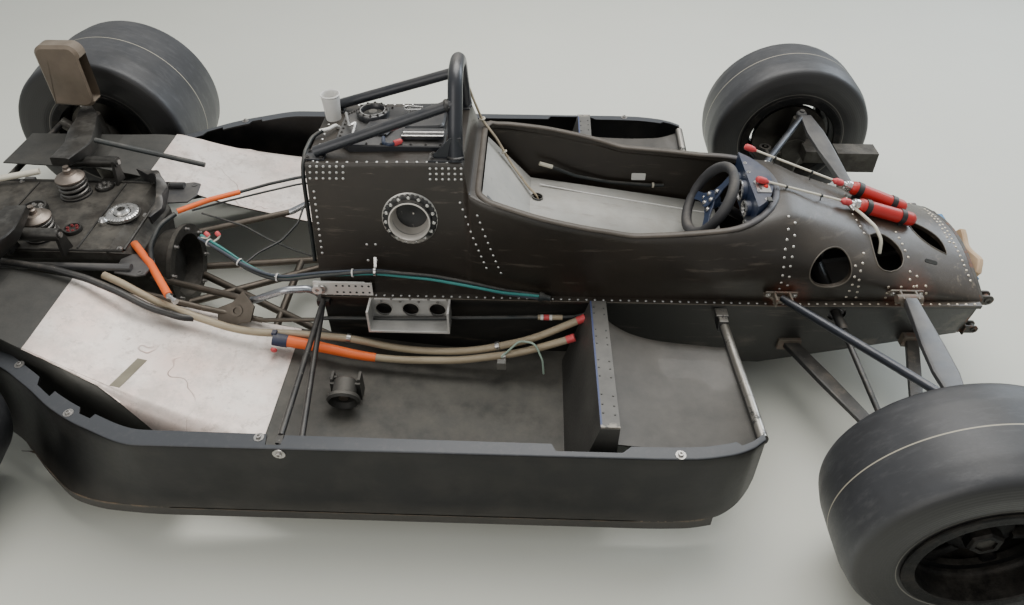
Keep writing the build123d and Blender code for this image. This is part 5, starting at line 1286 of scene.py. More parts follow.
add("seat_cable", pair, tan_rubber, "tan_hose")
ties = [band(0.0055, 0.0095, 0, 0.004, c, n, 12)
        for c, n in (((0.172, 0.169, 0.706), (0.3, 0, -1)), ((0.238, 0.153, 0.6), (0.5, -0.2, -0.8)))]
far_hose = pipe([(0.36, 0.2085, 0.518), (0.395, 0.212, 0.505), (0.47, 0.2165, 0.47), (0.58, 0.221, 0.446),
                 (0.7, 0.221, 0.437), (0.76, 0.222, 0.436)],
                0.0055, 0.08, 0.012, 10)
add("far_wall_hose", far_hose, cable_black, "cable")
add("cable_ties", [*ties, rod((0.35, 0.208, 0.522), (0.392, 0.212, 0.507), 0.0066, 10),
                   band(0.006, 0.009, 0, 0.006, (0.722, 0.221, 0.437), AHEAD, 12)], cream, "cream_rod")
line = pipe([(0.352, 0.166, 0.4695), (0.5, 0.163, 0.4415), (0.7, 0.158, 0.4095), (0.905, 0.152, 0.3775)],
            0.0024, 0.05, 0.03, 6)
name_plate = slab(rounded_box(0.046, 0.026, 0.003), (0.676, 0.2315, 0.462), AHEAD, (0, 0.05, 1), 0.0014,
                  0.0003)
add("liner_line", line, white, "white_plastic")
add("blank_plate", name_plate, white, "white_plastic")
hem = band(0.015, 0.0185, -0.002, 0.0025, (0.345, 0.1, 0.4675), (0.16, 0, 1), 24)
add("liner_grommet", hem, cable_black, "cable")
# Painted shade: the liner's near half, ahead of x 0.42, is darker.
near_half_shade = liner_grey.axis("Y").below(0.02, 0.05) * liner_grey.axis("X").above(0.42, 0.1)
liner_grey.tint(near_half_shade * 0.45, (0.135, 0.13, 0.12))
scuff = liner_grey.noise(1.0, 7.0, 0.75, liner_grey.stretched((5, 30, 30))).above(0.62, 0.05)
liner_grey.tint(scuff * 0.35, (0.16, 0.14, 0.12))
# Painted shade: the liner ahead of x 0.66 is darker.
liner_grey.tint(liner_grey.axis("X").above(0.66, 0.2) * 0.4, (0.15, 0.155, 0.14))
print("cockpit dressed")

# %% [markdown]
# ## Two red bottles and their pull rods
# Each bottle lies in two black straps on the nose and has a bright collar and a rod with a soft red cap
# on each end. The bottle's body is one turned profile with round shoulders.

# %% Bottles
BOTTLES = [(np.array([1.282, -0.018, 0.544]), np.array([1.466, -0.016, 0.489])),
           (np.array([1.29, 0.076, 0.544]), np.array([1.462, 0.044, 0.489]))]
TIPS = [np.array([0.978, -0.032, 0.634]), np.array([0.982, 0.146, 0.632])]
red_paint = paint("red_paint", (0.42, 0.01, 0.01), (0.55, 0.022, 0.018), chips=0.72)
cap_red = dull("cap_red", (0.55, 0.045, 0.05), (0.66, 0.09, 0.1), rough=(0.35, 0.5), dust=0.1)
bottle_shapes, straps, collars, tube_shapes, caps, clips = [], [], [], [], [], []
for (rear, front), tip in zip(BOTTLES, TIPS):
    length = np.linalg.norm(front - rear)
    axis = (front - rear) / length
    profile = [(0, 0), (0.01, 0), (0.017, 0.004), (0.021, 0.014), (0.021, length - 0.012),
               (0.017, length - 0.003), (0.01, length), (0, length)]
    bottle_shapes.append(turned(soft_profile(profile, 0.008, 0.004), rear, axis, 32))
    collars.append(turned([(0.0, -0.022), (0.008, -0.022), (0.008, -0.014), (0.013, -0.014), (0.013, -0.009),
                           (0.016, -0.008), (0.016, 0.003), (0, 0.003)],
                          rear, axis, 20))
    for share in (0.165, 0.765):
        at = rear + (front - rear) * share
        straps.append(band(0.0208, 0.0232, -0.008, 0.008, at, axis, 32))
        foot, _ = from_above(tub_tree, [at[:2]])
        straps.append(brick((at[0] - 0.007, at[0] + 0.007), (at[1] - 0.014, at[1] + 0.014),
                            (foot[0, 2] - 0.002, at[2] - 0.018)))
    near_end = rear + (tip - rear) * 0.1
    tube_shapes.append(rod(near_end, tip, 0.0035, 10))
    caps.append(turned([(0, 0.011), (0.006, 0.0105), (0.0095, 0.007), (0.0105, -0.004), (0.009, -0.018),
                        (0.0045, -0.024), (0.0045, -0.027)],
                       tip, tip - near_end, 20))
    caps.append(turned([(0, 0.014), (0.007, 0.013), (0.0105, 0.006), (0.0105, -0.012), (0.0045, -0.02),
                        (0.0045, -0.023)],
                       near_end, near_end - tip, 20))
    for share in (0.3, 0.7):
        at = near_end + (tip - near_end) * share
        ground, _ = from_above(tub_tree, [at[:2]])
        base = ground[0] if len(ground) else at - (0, 0, 0.02)
        clips.append(rod(base - (0, 0, 0.002), at, 0.0016, 8))
        clips.append(band(0.0034, 0.0052, -0.003, 0.003, at, tip - near_end, 10))
add("bottle_bodies", bottle_shapes, red_paint, "red_paint", "bottles")
add("bottle_straps", straps, cable_black, "cable")
add("bottle_collars", collars, bright, "bright_alloy")
add("rod_tubes", tube_shapes, cream, "cream_rod", "pull_rods")
add("rod_caps", caps, cap_red, "cream_rod")
add("rod_clips", clips, cable_black, "cable")
cream_hose = pipe([(1.268, -0.024, 0.54), (1.288, -0.048, 0.533), (1.318, -0.092, 0.52),
                   (1.333, -0.122, 0.494), (1.335, -0.134, 0.455)], 0.0048, 0.04, 0.008, 12)
add("bottle_hose", cream_hose, cream, "cream_rod")
add("hose_joint", turned([(0, 0), (0.0085, 0), (0.0085, 0.012), (0.006, 0.014), (0.006, 0.02), (0, 0.02)],
                         (1.262, -0.02, 0.545), (0.35, -0.5, -0.35), 16), bright, "bright_alloy")
print("bottles and rods")

# %% [markdown]
# ## Roll hoop and the top of the fuel box
# The hoop is one bent tube with two straight braces, in smooth blue-black enamel that shows every
# light, on folded feet. The plates on the fuel box are glossy too. They carry a filler ring, two wire
# handles, a vent pipe and a capped hose end.

# %% Roll hoop
enamel = paint("enamel", (0.012, 0.014, 0.02), (0.022, 0.026, 0.036), chips=0.71)
enamel.shader.inputs["Coat Weight"].default_value = 0.6
enamel.shader.inputs["Metallic"].default_value = 0.35
gloss_black = paint("gloss_black", (0.006, 0.007, 0.01), (0.015, 0.017, 0.024), chips=0.74)
gloss_black.shader.inputs["Coat Weight"].default_value = 0.7
half_hoop = [(0.122, 0.148, 0.757), (0.122, 0.126, 0.838), (0.122, 0.052, 0.963)]
hoop_line = half_hoop + [(x, -y, z) for x, y, z in reversed(half_hoop)]
hoop_parts = [pipe(hoop_line, 0.02, 0.075, 0.01, 24)]
welds = []
for s in (-1, 1):
    top, foot = np.array([0.122, s * 0.096, 0.898]), np.array([-0.26, s * 0.128, 0.764])
    hoop_parts.append(rod(top, foot, 0.015, 20))
    hoop_parts.append(brick((-0.286, -0.232), (s * 0.106, s * 0.15), (0.749, 0.755), 0.001))
    gusset = [(-0.072, 0), (0.024, 0), (0.016, 0.068), (-0.012, 0.068)]
    hoop_parts += [slab(gusset, (0.122, s * 0.147, 0.757), AHEAD, UP, 0.006),
                   brick((0.05, 0.14), (s * 0.122, s * 0.162), (0.7565, 0.7635), 0.0015)]
    away = (foot - top) / np.linalg.norm(foot - top)
    welds.append(turned([(0.0148, 0.006), (0.0185, 0.004), (0.0195, -0.002), (0.0148, -0.008)],
                        top + away * 0.022, away, 24, loop=True))
    welds.append(turned([(0.0196, 0), (0.0235, 0.001), (0.0235, 0.004), (0.0196, 0.007)],
                        (0.122, s * 0.147, 0.7635), (0, -s * 0.25, 1), 28, loop=True))
add("hoop_tubes", hoop_parts, enamel, "dark_steel", "roll_hoop")
add("hoop_welds", welds, black_paint, "dark_steel")
hoop_feet = ((0.06, 0.13), (0.06, 0.154), (0.084, 0.13), (0.132, 0.156))
brace_feet = ((-0.278, 0.112), (-0.278, 0.144), (-0.24, 0.112), (-0.24, 0.144))
foot_bolts = [(x, s * y, 0.7635) for s in (-1, 1) for x, y in hoop_feet]
foot_bolts += [(x, s * y, 0.755) for s in (-1, 1) for x, y in brace_feet]
add("hoop_foot_bolts", bolts(foot_bolts, UP, 0.0045, 0.005), black_paint, "dark_steel", closed=False)
print("hoop", len(hoop_parts), "parts")

# %% Fuel box plates
FILLER = np.array([-0.132, 0.056])
plan = np.array([(-0.11, -0.108), (0.15, -0.108), (0.15, 0.108), (-0.11, 0.108), (-0.152, 0.066),
                 (-0.152, -0.066)])
lid = slab(plan, (-0.062, 0.0, 0.762), AHEAD, LEFT, 0.024, 0.003)
collar = turned([(0.03, 0.0), (0.046, 0.0), (0.047, 0.012), (0.044, 0.018), (0.041, 0.0195), (0.036, 0.0195),
                 (0.034, 0.016), (0.03, 0.004)],
                (*FILLER, 0.773), UP, 40, loop=True)
hood_outline = rounded_box(0.112, 0.136, 0.02)
hood = slab(hood_outline, (0.026, 0.03, 0.784), (1, 0, 0.05), LEFT, 0.02, 0.005)
shelf = slab(rounded_box(0.118, 0.044, 0.006), (0.027, -0.061, 0.784), (1, 0, 0.02), LEFT, 0.012, 0.002)
flap = slab([(-0.045, -0.034), (0.03, -0.042), (0.048, 0.0), (0.026, 0.04), (-0.03, 0.034)],
            (-0.104, -0.02, 0.779), (1, 0, 0.06), (0, 1, 0.05), 0.006, 0.002)
add("fuel_lid", [lid, collar, hood, shelf, flap], gloss_black, "dark_panel", "fuel_cell_top")
turns = full_turn(12)
ring_places = [(FILLER[0] + 0.0395 * math.cos(t), FILLER[1] + 0.0395 * math.sin(t), 0.7925) for t in turns]
lid_edge = np.concatenate([row_of(plan[i], plan[(i + 1) % 6], 7)[:-1] for i in range(6)])
lid_places = [(-0.062 + x * 0.93, y * 0.93, 0.774) for x, y in lid_edge]
add("lid_bolts", bolts(ring_places + lid_places, UP, 0.0026, 0.0035, 1.6), black_paint, "dark_panel",
    closed=False)
well = turned([(0, -0.012), (0.031, -0.012), (0.031, -0.008), (0.02, -0.006), (0.012, 0.002), (0, 0.003)],
              (*FILLER, 0.786), UP, 32)
add("filler_well", well, cable_black, "dark_panel")
inner_rim = turned([(0.0335, 0), (0.0362, 0.0005), (0.0362, 0.0018), (0.0335, 0.0018)],
                   (*FILLER, 0.792), UP, 40, loop=True)
handle = pipe([(0.011, 0.066, 0.797), (-0.035, 0.068, 0.8), (-0.044, 0.057, 0.8), (-0.034, 0.044, 0.8),
               (0.022, 0.048, 0.8), (0.036, 0.066, 0.794)],
              0.0028, 0.012, 0.004, 10)
hook = pipe([(-0.204, 0.034, 0.792), (-0.18, -0.038, 0.792), (-0.166, -0.015, 0.793), (-0.168, -0.08, 0.78)],
            0.0042, 0.004, 0.003, 10)
shelf_edges = [rod((-0.03, -0.0815, 0.79), (0.084, -0.0815, 0.791), 0.0018, 8),
               rod((-0.028, -0.063, 0.7905), (0.084, -0.063, 0.7915), 0.0014, 8)]
vent = pipe([(-0.226, 0.02, 0.752), (-0.232, 0.006, 0.768), (-0.246, -0.015, 0.768), (-0.27, -0.027, 0.768)],
            0.0055, 0.01, 0.004, 12)
add("lid_wires", [inner_rim, handle, hook, *shelf_edges], bright, "bright_alloy")
add("vent_pipe", vent, white, "white_plastic")
vent_hose = pipe([(-0.262, -0.024, 0.768), (-0.289, -0.044, 0.758), (-0.296, -0.1, 0.747),
                  (-0.296, -0.14, 0.728), (-0.296, -0.158, 0.69), (-0.297, -0.17, 0.6),
                  (-0.299, -0.178, 0.5), (-0.3, -0.19, 0.43)], 0.0058, 0.035, 0.01, 12)
add("vent_hose", vent_hose, cable_black, "cable")
cup_profile = [(0, -0.004), (0.021, -0.004), (0.0255, 0.062), (0.0262, 0.066), (0.0262, 0.076),
               (0.0285, 0.077), (0.029, 0.08), (0.0275, 0.082), (0.0245, 0.081), (0.0195, 0.004), (0, 0.003)]
cup = turned(soft_profile(cup_profile, 0.0015, 0.0025), (-0.254, 0.076, 0.749), UP, 40)
add("vent_cup", cup, white, "white_plastic", "breather_cup")
grey_hose = pipe([(-0.082, -0.072, 0.778), (-0.076, -0.104, 0.78), (-0.06, -0.114, 0.781),
                  (-0.044, -0.106, 0.781)], 0.005, 0.008, 0.003, 10)
add("lid_hose", grey_hose, blue_black, "blue_black_panel")
add("lid_hose_cap", turned([(0, 0), (0.0075, 0), (0.0085, 0.004), (0.008, 0.02), (0.004, 0.024), (0, 0.024)],
                           (-0.047, -0.1075, 0.781), (1, 0.65, 0.05), 16), cap_red, "red_paint")
print("fuel box top")

# %% [markdown]
# ## The port on the flank
# A scalloped black ring holds a pale cone. The ring is a turned profile whose outer points are pushed
# out on alternate stretches, which makes the teeth.


# %% Side port
def toothed(shape, centre, axis, beyond, depth, teeth):
    """Pushes the points farther than beyond from the axis outward by depth on alternate stretches."""
    points, faces = shape
    d, u, v = axes_of(axis)
    off = points - np.asarray(centre)
    along = (off @ d)[:, None] * d
    flat = off - along
    r = np.linalg.norm(flat, axis=1)
    angle = np.arctan2(flat @ v, flat @ u)
    push = np.where((r > beyond) & (np.sin(angle * teeth) > 0), 1 + depth / np.maximum(r, 1e-6), 1.0)
    return np.asarray(centre) + along + flat * push[:, None], faces


PORT, OUT = np.array([-0.006, -0.196, 0.597]), np.array([0.0, -1.0, 0.18]) / math.hypot(1, 0.18)
scallops = toothed(turned([(0.055, 0.001), (0.0725, 0.001), (0.0725, 0.01), (0.07, 0.012), (0.062, 0.012),
                           (0.0605, 0.024), (0.0575, 0.024), (0.055, 0.018)],
                          PORT, OUT, 192, loop=True), PORT, OUT, 0.0715, 0.0028, 32)
backing = turned([(0.05, -0.004), (0.0775, -0.004), (0.0785, 0.001), (0.0785, 0.003), (0.0755, 0.0042),
                  (0.05, 0.0042)], PORT, OUT, 64, loop=True)
cone = turned([(0.0585, 0.022), (0.0575, 0.026), (0.0545, 0.0265), (0.0525, 0.023), (0.05, 0.0),
               (0.046, -0.022), (0.0435, -0.034), (0.048, -0.034), (0.0555, 0.0)], PORT, OUT, 64, loop=True)
floor_disc = turned([(0, -0.033), (0.044, -0.033), (0.044, -0.029), (0.02, -0.0285), (0.012, -0.03),
                     (0, -0.03)], PORT, OUT, 48)
dot = turned([(0, -0.0305), (0.0028, -0.0305), (0.0022, -0.027), (0, -0.0265)], PORT + (0.004, 0, 0),
             OUT, 12)
ring_black = paint("ring_black", (0.006, 0.006, 0.007), (0.02, 0.02, 0.02), chips=0.7)
ring_black.tint(ring_black.axis("Z").below(0.545, 0.01) * 0.8, (0.45, 0.42, 0.38))
add("port_ring", scallops, ring_black, "dark_steel")
add("port_backing", backing, machined, "bright_alloy", "side_port")
cone_alloy = worn("cone_alloy", (0.64, 0.6, 0.55), (0.78, 0.74, 0.69), rough=(0.25, 0.42), tone_scale=20,
                  dust=0.06, Metallic=0.35)
add("port_cone", [cone, dot], cone_alloy, "bright_alloy")
add("port_floor", floor_disc, black_paint, "dark_panel")
_, port_u, port_v = axes_of(OUT)
turns = full_turn(15)
places = [PORT + 0.0665 * (math.cos(t) * port_u + math.sin(t) * port_v) + 0.0115 * OUT for t in turns]
add("port_bolts", bolts(places, OUT, 0.004, 0.0042, 1.3), bright, "bright_alloy", closed=False)
print("port with", len(places), "bolts")

# %% [markdown]
# ## Inside the side pods
# The pod's floor rises into a tunnel towards the rear wheel, and creased bright shields lie on its hot
# part. Floor and shield are strips of the same surface: a table gives height and widths along the car,
# and across the car the roof is flat and then falls in a curve to the outer panel.

# %% Floor and tunnel roof
# Columns: x, height, inner half width, half width where the flat ends, half width and height of the foot
ROOF = np.array([
    (0.544, 0.112, 0.226, 0.715, 0.797, 0.112), (0.43, 0.112, 0.226, 0.715, 0.797, 0.112),
    (0.18, 0.118, 0.228, 0.715, 0.797, 0.118), (-0.2, 0.165, 0.23, 0.7, 0.791, 0.15),
    (-0.282, 0.188, 0.238, 0.67, 0.775, 0.135), (-0.36, 0.208, 0.252, 0.64, 0.75, 0.118),
    (-0.57, 0.258, 0.256, 0.61, 0.692, 0.112), (-0.78, 0.318, 0.256, 0.576, 0.642, 0.112),
    (-0.99, 0.405, 0.26, 0.538, 0.552, 0.112), (-1.15, 0.44, 0.262, 0.48, 0.492, 0.112)])[::-1]


def roof_points(x, s, lift=0.0, flat=8, turn=10, reach=1.0):
    """Grid of points across the roof at each x. On the curve, the share of the width to the power 2.3 and
    the share of the height to the power 2.3 add up to 1."""
    z, w0, w1, w2, low = (through(x, ROOF[:, 0], ROOF[:, i])[:, None] for i in range(1, 6))
    share = np.linspace(0, 1, flat)[None, :]
    y = w0 + (w1 - w0) * share
    t = np.linspace(0, 1, turn + 1)[None, 1:] * np.reshape(reach, (-1, 1))
    out = np.sin(t * np.pi / 2) ** (2 / 2.3)
    down = np.cos(t * np.pi / 2).clip(0) ** (2 / 2.3)
    y = np.concatenate([y, w1 + (w2 - w1) * out], 1)
    z = np.concatenate([z + 0 * share, low + (z - low) * down], 1) + lift
    return np.stack([np.broadcast_to(x[:, None], y.shape), s * y, z], 2)


floor_skin = dull("floor_skin", (0.034, 0.034, 0.03), (0.07, 0.068, 0.06), rough=(0.42, 0.66), dust=0.3)
smear = floor_skin.noise(1.0, 6.0, 0.65, floor_skin.stretched((2, 9, 9))).above(0.56, 0.12)
floor_skin.tint(smear * 0.35, (0.115, 0.112, 0.098))
# Painted shade: the floor behind x -0.95, beside the rear wheels, is almost black.
floor_skin.tint(floor_skin.axis("X").below(-0.95, 0.04) * 0.6, (0.02, 0.02, 0.019))
shield_sheet = worn("shield_sheet", (0.74, 0.665, 0.61), (0.92, 0.86, 0.81), rough=(0.3, 0.48), tone_scale=4,
                    dust=0.08, Metallic=0.3)
pink = shield_sheet.noise(5, 4.0, 0.6).above(0.55, 0.12)
shield_sheet.tint(pink * 0.55, (0.74, 0.52, 0.44))
crack = (shield_sheet.noise(3.2, 3.0, 0.55) - 0.5).absolute().below(0.003, 0.0018)
crack = crack * shield_sheet.noise(2.1).above(0.52, 0.05)
scratch = shield_sheet.noise(1.0, 7.0, 0.75, shield_sheet.stretched((26, 6, 10))).above(0.66, 0.03)
shield_sheet.tint((crack * 0.75 + scratch * 0.35).clipped(), (0.3, 0.16, 0.13))
mottle = shield_sheet.noise(11, 6.0, 0.75).above(0.54, 0.08)
shield_sheet.tint(mottle * 0.5, (0.44, 0.39, 0.35))
shield_sheet.tint(shield_sheet.noise(30, 6.0, 0.8).above(0.6, 0.05) * 0.45, (0.34, 0.28, 0.24))
shield_sheet.bump(shield_sheet.noise(9, 3.0, 0.5) * 0.8 - crack * 0.5 + shield_sheet.grain * 0.1, 0.004,
                  0.55)
x_floor = np.concatenate([np.linspace(-1.15, -0.2, 60), np.linspace(-0.18, 0.544, 30)])
x_shield = np.linspace(-0.99, -0.362, 60)
rear = np.stack([np.stack([np.full(8, x), np.linspace(w0, w1, 8), np.full(8, z)], 1)
                 for x, z, w0, w1 in zip(np.linspace(-1.4695, -1.1502, 6), np.linspace(0.455, 0.44, 6),
                                         [0.262] * 6, np.linspace(0.455, 0.48, 6))])
for s in (-1, 1):
    sheets = joined(shell(roof_points(x_floor, s), 0.0038), shell(rear * (1, s, 1), 0.0038))
    made = piece(f"pod_floor_{SIDE[s]}", sheets, floor_skin)
    fit(made, "grey_floor", "tunnel_roofs")
    reach = np.interp(x_shield, [-0.99, -0.8, -0.72, -0.6], [0.06, 0.1, 0.3, 0.66])
    sheet = roof_points(x_shield, s, 0.0026, 12, 9, reach)
    wander = 0.0018 * np.sin(x_shield * 31) + 0.0012 * np.sin(x_shield * 83 + 1)
    sheet[:, -1, 2] += wander
    sheet[:, 11:13, 2] += 0.0012
    made = piece(f"heat_shield_{SIDE[s]}", shell(sheet, 0.0016), shield_sheet, sharp=25)
    fit(made, "bright_sheet", "heat_shields")
print("pod floors and shields")

# %% Tape, clamp and bolts on the pods
tape_x = np.linspace(-0.752, -0.728, 5)
tape = dull("tape", (0.16, 0.14, 0.09), (0.3, 0.27, 0.19), rough=(0.4, 0.6), dust=0.1)
strip = roof_points(tape_x, -1, 0.005, 8, 6, 0.1)[:, 3:7]
strip[:, :, 1] = np.linspace(-0.475, -0.58, 4)
strip[:, :, 0] += np.linspace(0.01, -0.018, 4)
strip[:, :, 2] = through(strip[:, :, 0], ROOF[:, 0], ROOF[:, 1]) + 0.0046
add("shield_tape", shell(strip, 0.001), tape, "cable")
screw_steel = brushed("screw_steel", (0.34, 0.33, 0.32), (0.52, 0.5, 0.48), rough=(0.3, 0.5))
lip_places = ((-0.999, 0.561), (-0.795, 0.712), (-0.308, 0.768), (0.684, 0.786))
places = np.array([(x, s * y, 0.3702) for s in (-1, 1) for x, y in lip_places])
lip_bolts = bolts(places, UP, 0.0065, 0.007, 1.9)
side_bolts = bolts([(-0.255, s * 0.8005, 0.352) for s in (-1, 1)], [(0, s, 0) for s in (-1, 1)], 0.0075,
                   0.006, 2.1)
add("pod_bolts", [lip_bolts, side_bolts], screw_steel, "bright_alloy", closed=False)

# %% Radiator strips
strip_grey = worn("strip_grey", (0.085, 0.083, 0.078), (0.13, 0.127, 0.118), rough=(0.35, 0.55),
                  tone_scale=16, dust=0.1)
strip_grey.tint(strip_grey.axis("X").below(0.5035, 0.0012) * 0.9, (0.05, 0.07, 0.17))
ragged = strip_grey.noise(70, 5.0, 0.7).above(0.5, 0.05)
ragged = ragged * strip_grey.axis("Y").absolute().above(0.728, 0.006)
strip_grey.tint(ragged * 0.9, (0.34, 0.31, 0.26))
black_holes, frayed = [], []
for s in (-1, 1):
    a, b = np.array([0.522, s * 0.266, 0.3635]), np.array([0.522, s * 0.74, 0.4032])
    v = (b - a) / np.linalg.norm(b - a)
    up = np.cross(AHEAD, v)
    up = up * np.sign(up[2])
    half = np.linalg.norm(b - a) / 2
    outline = [(-0.023, -half), (0.023, -half), (0.0235, half), (-0.023, half)]
    plate = slab(outline, (a + b) / 2 + up * 0.0008, AHEAD, v, 0.003, 0.0006)
    add(f"radiator_strip_{SIDE[s]}", plate, strip_grey, "dark_composite")
    for share in (0.06, 0.115, 0.26, 0.32, 0.38, 0.515, 0.575, 0.64, 0.775, 0.845, 0.905):
        black_holes.append(a + (b - a) * share + (-0.014, 0, 0) + up * 0.0022)
        black_holes.append(a + (b - a) * (share + 0.012) + (0.014, 0, 0) + up * 0.0022)
    frayed.append(rod(a + (-0.0225, 0, 0) + up * 0.001, b + (-0.0225, 0, 0) + up * 0.001, 0.0013, 6))
add("strip_rivets", rivets(black_holes, UP, 0.0028, 0.002), cable_black, "cable", closed=False)
edge_blue = dull("edge_blue", (0.012, 0.018, 0.05), (0.03, 0.045, 0.11), rough=(0.4, 0.6))
add("strip_edges", frayed, edge_blue, "blue_black_panel")

# %% Loose fan ring and its bracket
RING_AT, RING_OUT = np.array([-0.18, -0.512, 0.214]), np.array([0.05, -0.93, -0.22])
fan = [turned([(0.03, 0.0), (0.043, 0.0), (0.046, 0.004), (0.046, 0.012), (0.04, 0.018), (0.036, 0.014),
               (0.034, 0.004)], RING_AT, RING_OUT, 40, loop=True),
       turned([(0, -0.05), (0.028, -0.05), (0.033, -0.044), (0.033, 0.002), (0.016, 0.002), (0.012, -0.006),
               (0, -0.006)], RING_AT, RING_OUT, 32),
       brick((-0.222, -0.138), (-0.486, -0.478), (0.17, 0.236), 0.001),
       brick((-0.222, -0.214), (-0.478, -0.446), (0.172, 0.246), 0.001),
       brick((-0.146, -0.138), (-0.478, -0.446), (0.172, 0.246), 0.001),
       rod((-0.226, -0.462, 0.236), (-0.206, -0.462, 0.236), 0.005, 10)]
add("fan_ring", fan, dark_sheet, "dark_panel")
fan_hub = turned([(0, 0), (0.014, 0), (0.013, 0.003), (0.006, 0.004), (0, 0.004)],
                 RING_AT + RING_OUT * 0.003, RING_OUT, 24)
add("fan_hub", fan_hub, bare_steel, "bare_steel")
print("radiator strips and fan ring")

# %% Tray and engine plates
tray_alloy = worn("tray_alloy", (0.4, 0.395, 0.375), (0.54, 0.53, 0.51), rough=(0.3, 0.5), tone_scale=16,
                  dust=0.1, Metallic=0.45)
bare_edge = tray_alloy.axis("Z").above(0.3425, 0.001).either(tray_alloy.axis("Y").below(-0.3095, 0.001))
tray_alloy.tint(bare_edge * 0.8, (0.85, 0.83, 0.8))
plate_alloy = worn("plate_alloy", (0.7, 0.68, 0.64), (0.82, 0.8, 0.76), rough=(0.35, 0.5), tone_scale=16,
                   dust=0.1, Metallic=0.3)
screws = [(x, -0.2505 - 0.004 - 0.011 * (i % 2), 0.345) for i, x in enumerate(np.linspace(-0.13, 0.088, 9))]
add("tray_screws", bolts(screws, UP, 0.0026, 0.003, 1.5), screw_steel, "bright_alloy", closed=False)
hem_x = [-0.14 + 0.237 * (i + 0.5) / 3 for i in range(3)]
tray_hem = [band(0.0235, 0.027, -0.001, 0.0012, (x, -0.2562, 0.307), (0, -1, 0), 32) for x in hem_x]
add("tray_rims", tray_hem, machined, "machined_alloy")
for s in (-1, 1):
    a = np.linspace(np.pi / 2, 3 * np.pi / 2, 12)
    outline = np.concatenate([np.stack([-0.276 + 0.0235 * np.cos(a), 0.3745 + 0.0235 * np.sin(a)], 1),
                              [(-0.128, 0.351), (-0.128, 0.398)]])
    plate = slab(outline, (0, s * 0.2462, 0), AHEAD, UP, 0.0035, 0.0006)
    add(f"engine_plate_{SIDE[s]}", plate, plate_alloy, "machined_alloy")
    dots = [(x, s * 0.2482, z) for z in (0.362, 0.3865) for x in np.linspace(-0.232, -0.138, 6)]
    add(f"plate_holes_{SIDE[s]}", rivets(dots, (0, s, 0), 0.0036, 0.0009), cable_black, "cable",
        closed=False)
    boss = turned([(0.0065, 0), (0.015, 0), (0.0155, 0.004), (0.014, 0.007), (0.007, 0.007)],
                  (-0.276, s * 0.2478, 0.3745), (0, s, 0), 28, loop=True)
    add(f"plate_boss_{SIDE[s]}", boss, screw_steel, "machined_alloy")
print("tray and plates")

# %% [markdown]
# ## Hoses, cables and the engine bay
# Two tan hoses sag along the right pod, one with an orange sleeve. The cable loom is three cables laid
# side by side: each keeps its own distance from the loom's middle line, turned slowly so that they
# cross. In the bay lie brown steel tubes, two bent silver tubes and a few loose cables.

# %% Tan hoses
HOSE_HIGH = [(0.466, -0.284, 0.302), (0.332, -0.31, 0.246), (0.152, -0.318, 0.197), (-0.038, -0.312, 0.192),
             (-0.198, -0.308, 0.232), (-0.358, -0.322, 0.262), (-0.5, -0.342, 0.284), (-0.64, -0.318, 0.32),
             (-0.76, -0.29, 0.352), (-0.86, -0.254, 0.386), (-0.915, -0.236, 0.398)]
HOSE_LOW = [(0.436, -0.332, 0.272), (0.302, -0.338, 0.218), (0.122, -0.348, 0.192), (-0.038, -0.352, 0.192),
            (-0.15, -0.356, 0.208), (-0.298, -0.354, 0.248), (-0.4, -0.352, 0.268)]
hoses = [pipe(HOSE_HIGH, 0.011, 0.6, 0.012, 16), pipe(HOSE_LOW, 0.011, 0.6, 0.012, 16)]
tan_rubber.tint(tan_rubber.noise(1.0, 6.0, 0.7, tan_rubber.stretched((8, 40, 40))).above(0.58, 0.08) * 0.45,
                (0.16, 0.125, 0.085))
add("tan_hoses", hoses, tan_rubber, "tan_hose", "coolant_hoses")


def along(points, start, stop, lift=0.0, bend=0.6):
    """The part of a rounded line between two shares of its length."""
    line = rounded(points, bend, 0.006)
    n = len(line)
    return line[int(start * n):max(int(stop * n), int(start * n) + 3)] + (0, 0, lift)


sleeve_red = dull("sleeve_red", (0.84, 0.13, 0.022), (0.95, 0.2, 0.045), rough=(0.4, 0.6), dust=0.03)
covered = along(HOSE_LOW, 0.665, 0.985)
sleeve = carry(covered, ring(0.015, 20), np.linspace(0.86, 1.12, len(covered)))
add("orange_sleeve", sleeve, sleeve_red, "red_paint")
end_line = along(HOSE_LOW, 0.95, 1.0)
sleeve_clamp = [carry(end_line + (-0.01, 0, 0.001), ring(0.0185, 20)),
                brick((-0.412, -0.398), (-0.352, -0.336), (0.282, 0.292), 0.001)]
add("sleeve_clamp", sleeve_clamp, edge_blue, "blue_black_panel")
tips = [rod(HOSE_HIGH[0], (0.489, -0.28, 0.312), 0.0118, 16),
        rod(HOSE_LOW[0], (0.458, -0.33, 0.281), 0.0118, 16),
        turned([(0, 0), (0.009, 0), (0.01, 0.006), (0.006, 0.01), (0, 0.01)], (-0.405, -0.372, 0.25),
               (-0.2, -1, -0.4), 14)]
add("hose_tips", tips, cap_red, "red_paint")
clips = [turned([(0.0112, -0.006), (0.0138, -0.006), (0.0142, 0), (0.0138, 0.006), (0.0112, 0.006)], c, n,
                20, loop=True)
         for c, n in (((0.236, -0.3145, 0.2215), (1, 0.05, 0.28)),
                      ((0.256, -0.341, 0.2085), (1, 0.05, 0.28)), ((-0.205, -0.3085, 0.234), (1, 0, -0.25)))]
clips.append(brick((0.236, 0.262), (-0.372, -0.356), (0.182, 0.212), 0.002))
add("hose_clips", clips, machined, "machined_alloy")
green_lead = pipe([(0.248, -0.352, 0.215), (0.3, -0.33, 0.262), (0.345, -0.338, 0.262),
                   (0.368, -0.362, 0.214), (0.372, -0.372, 0.17)], 0.003, 0.03, 0.006, 8)
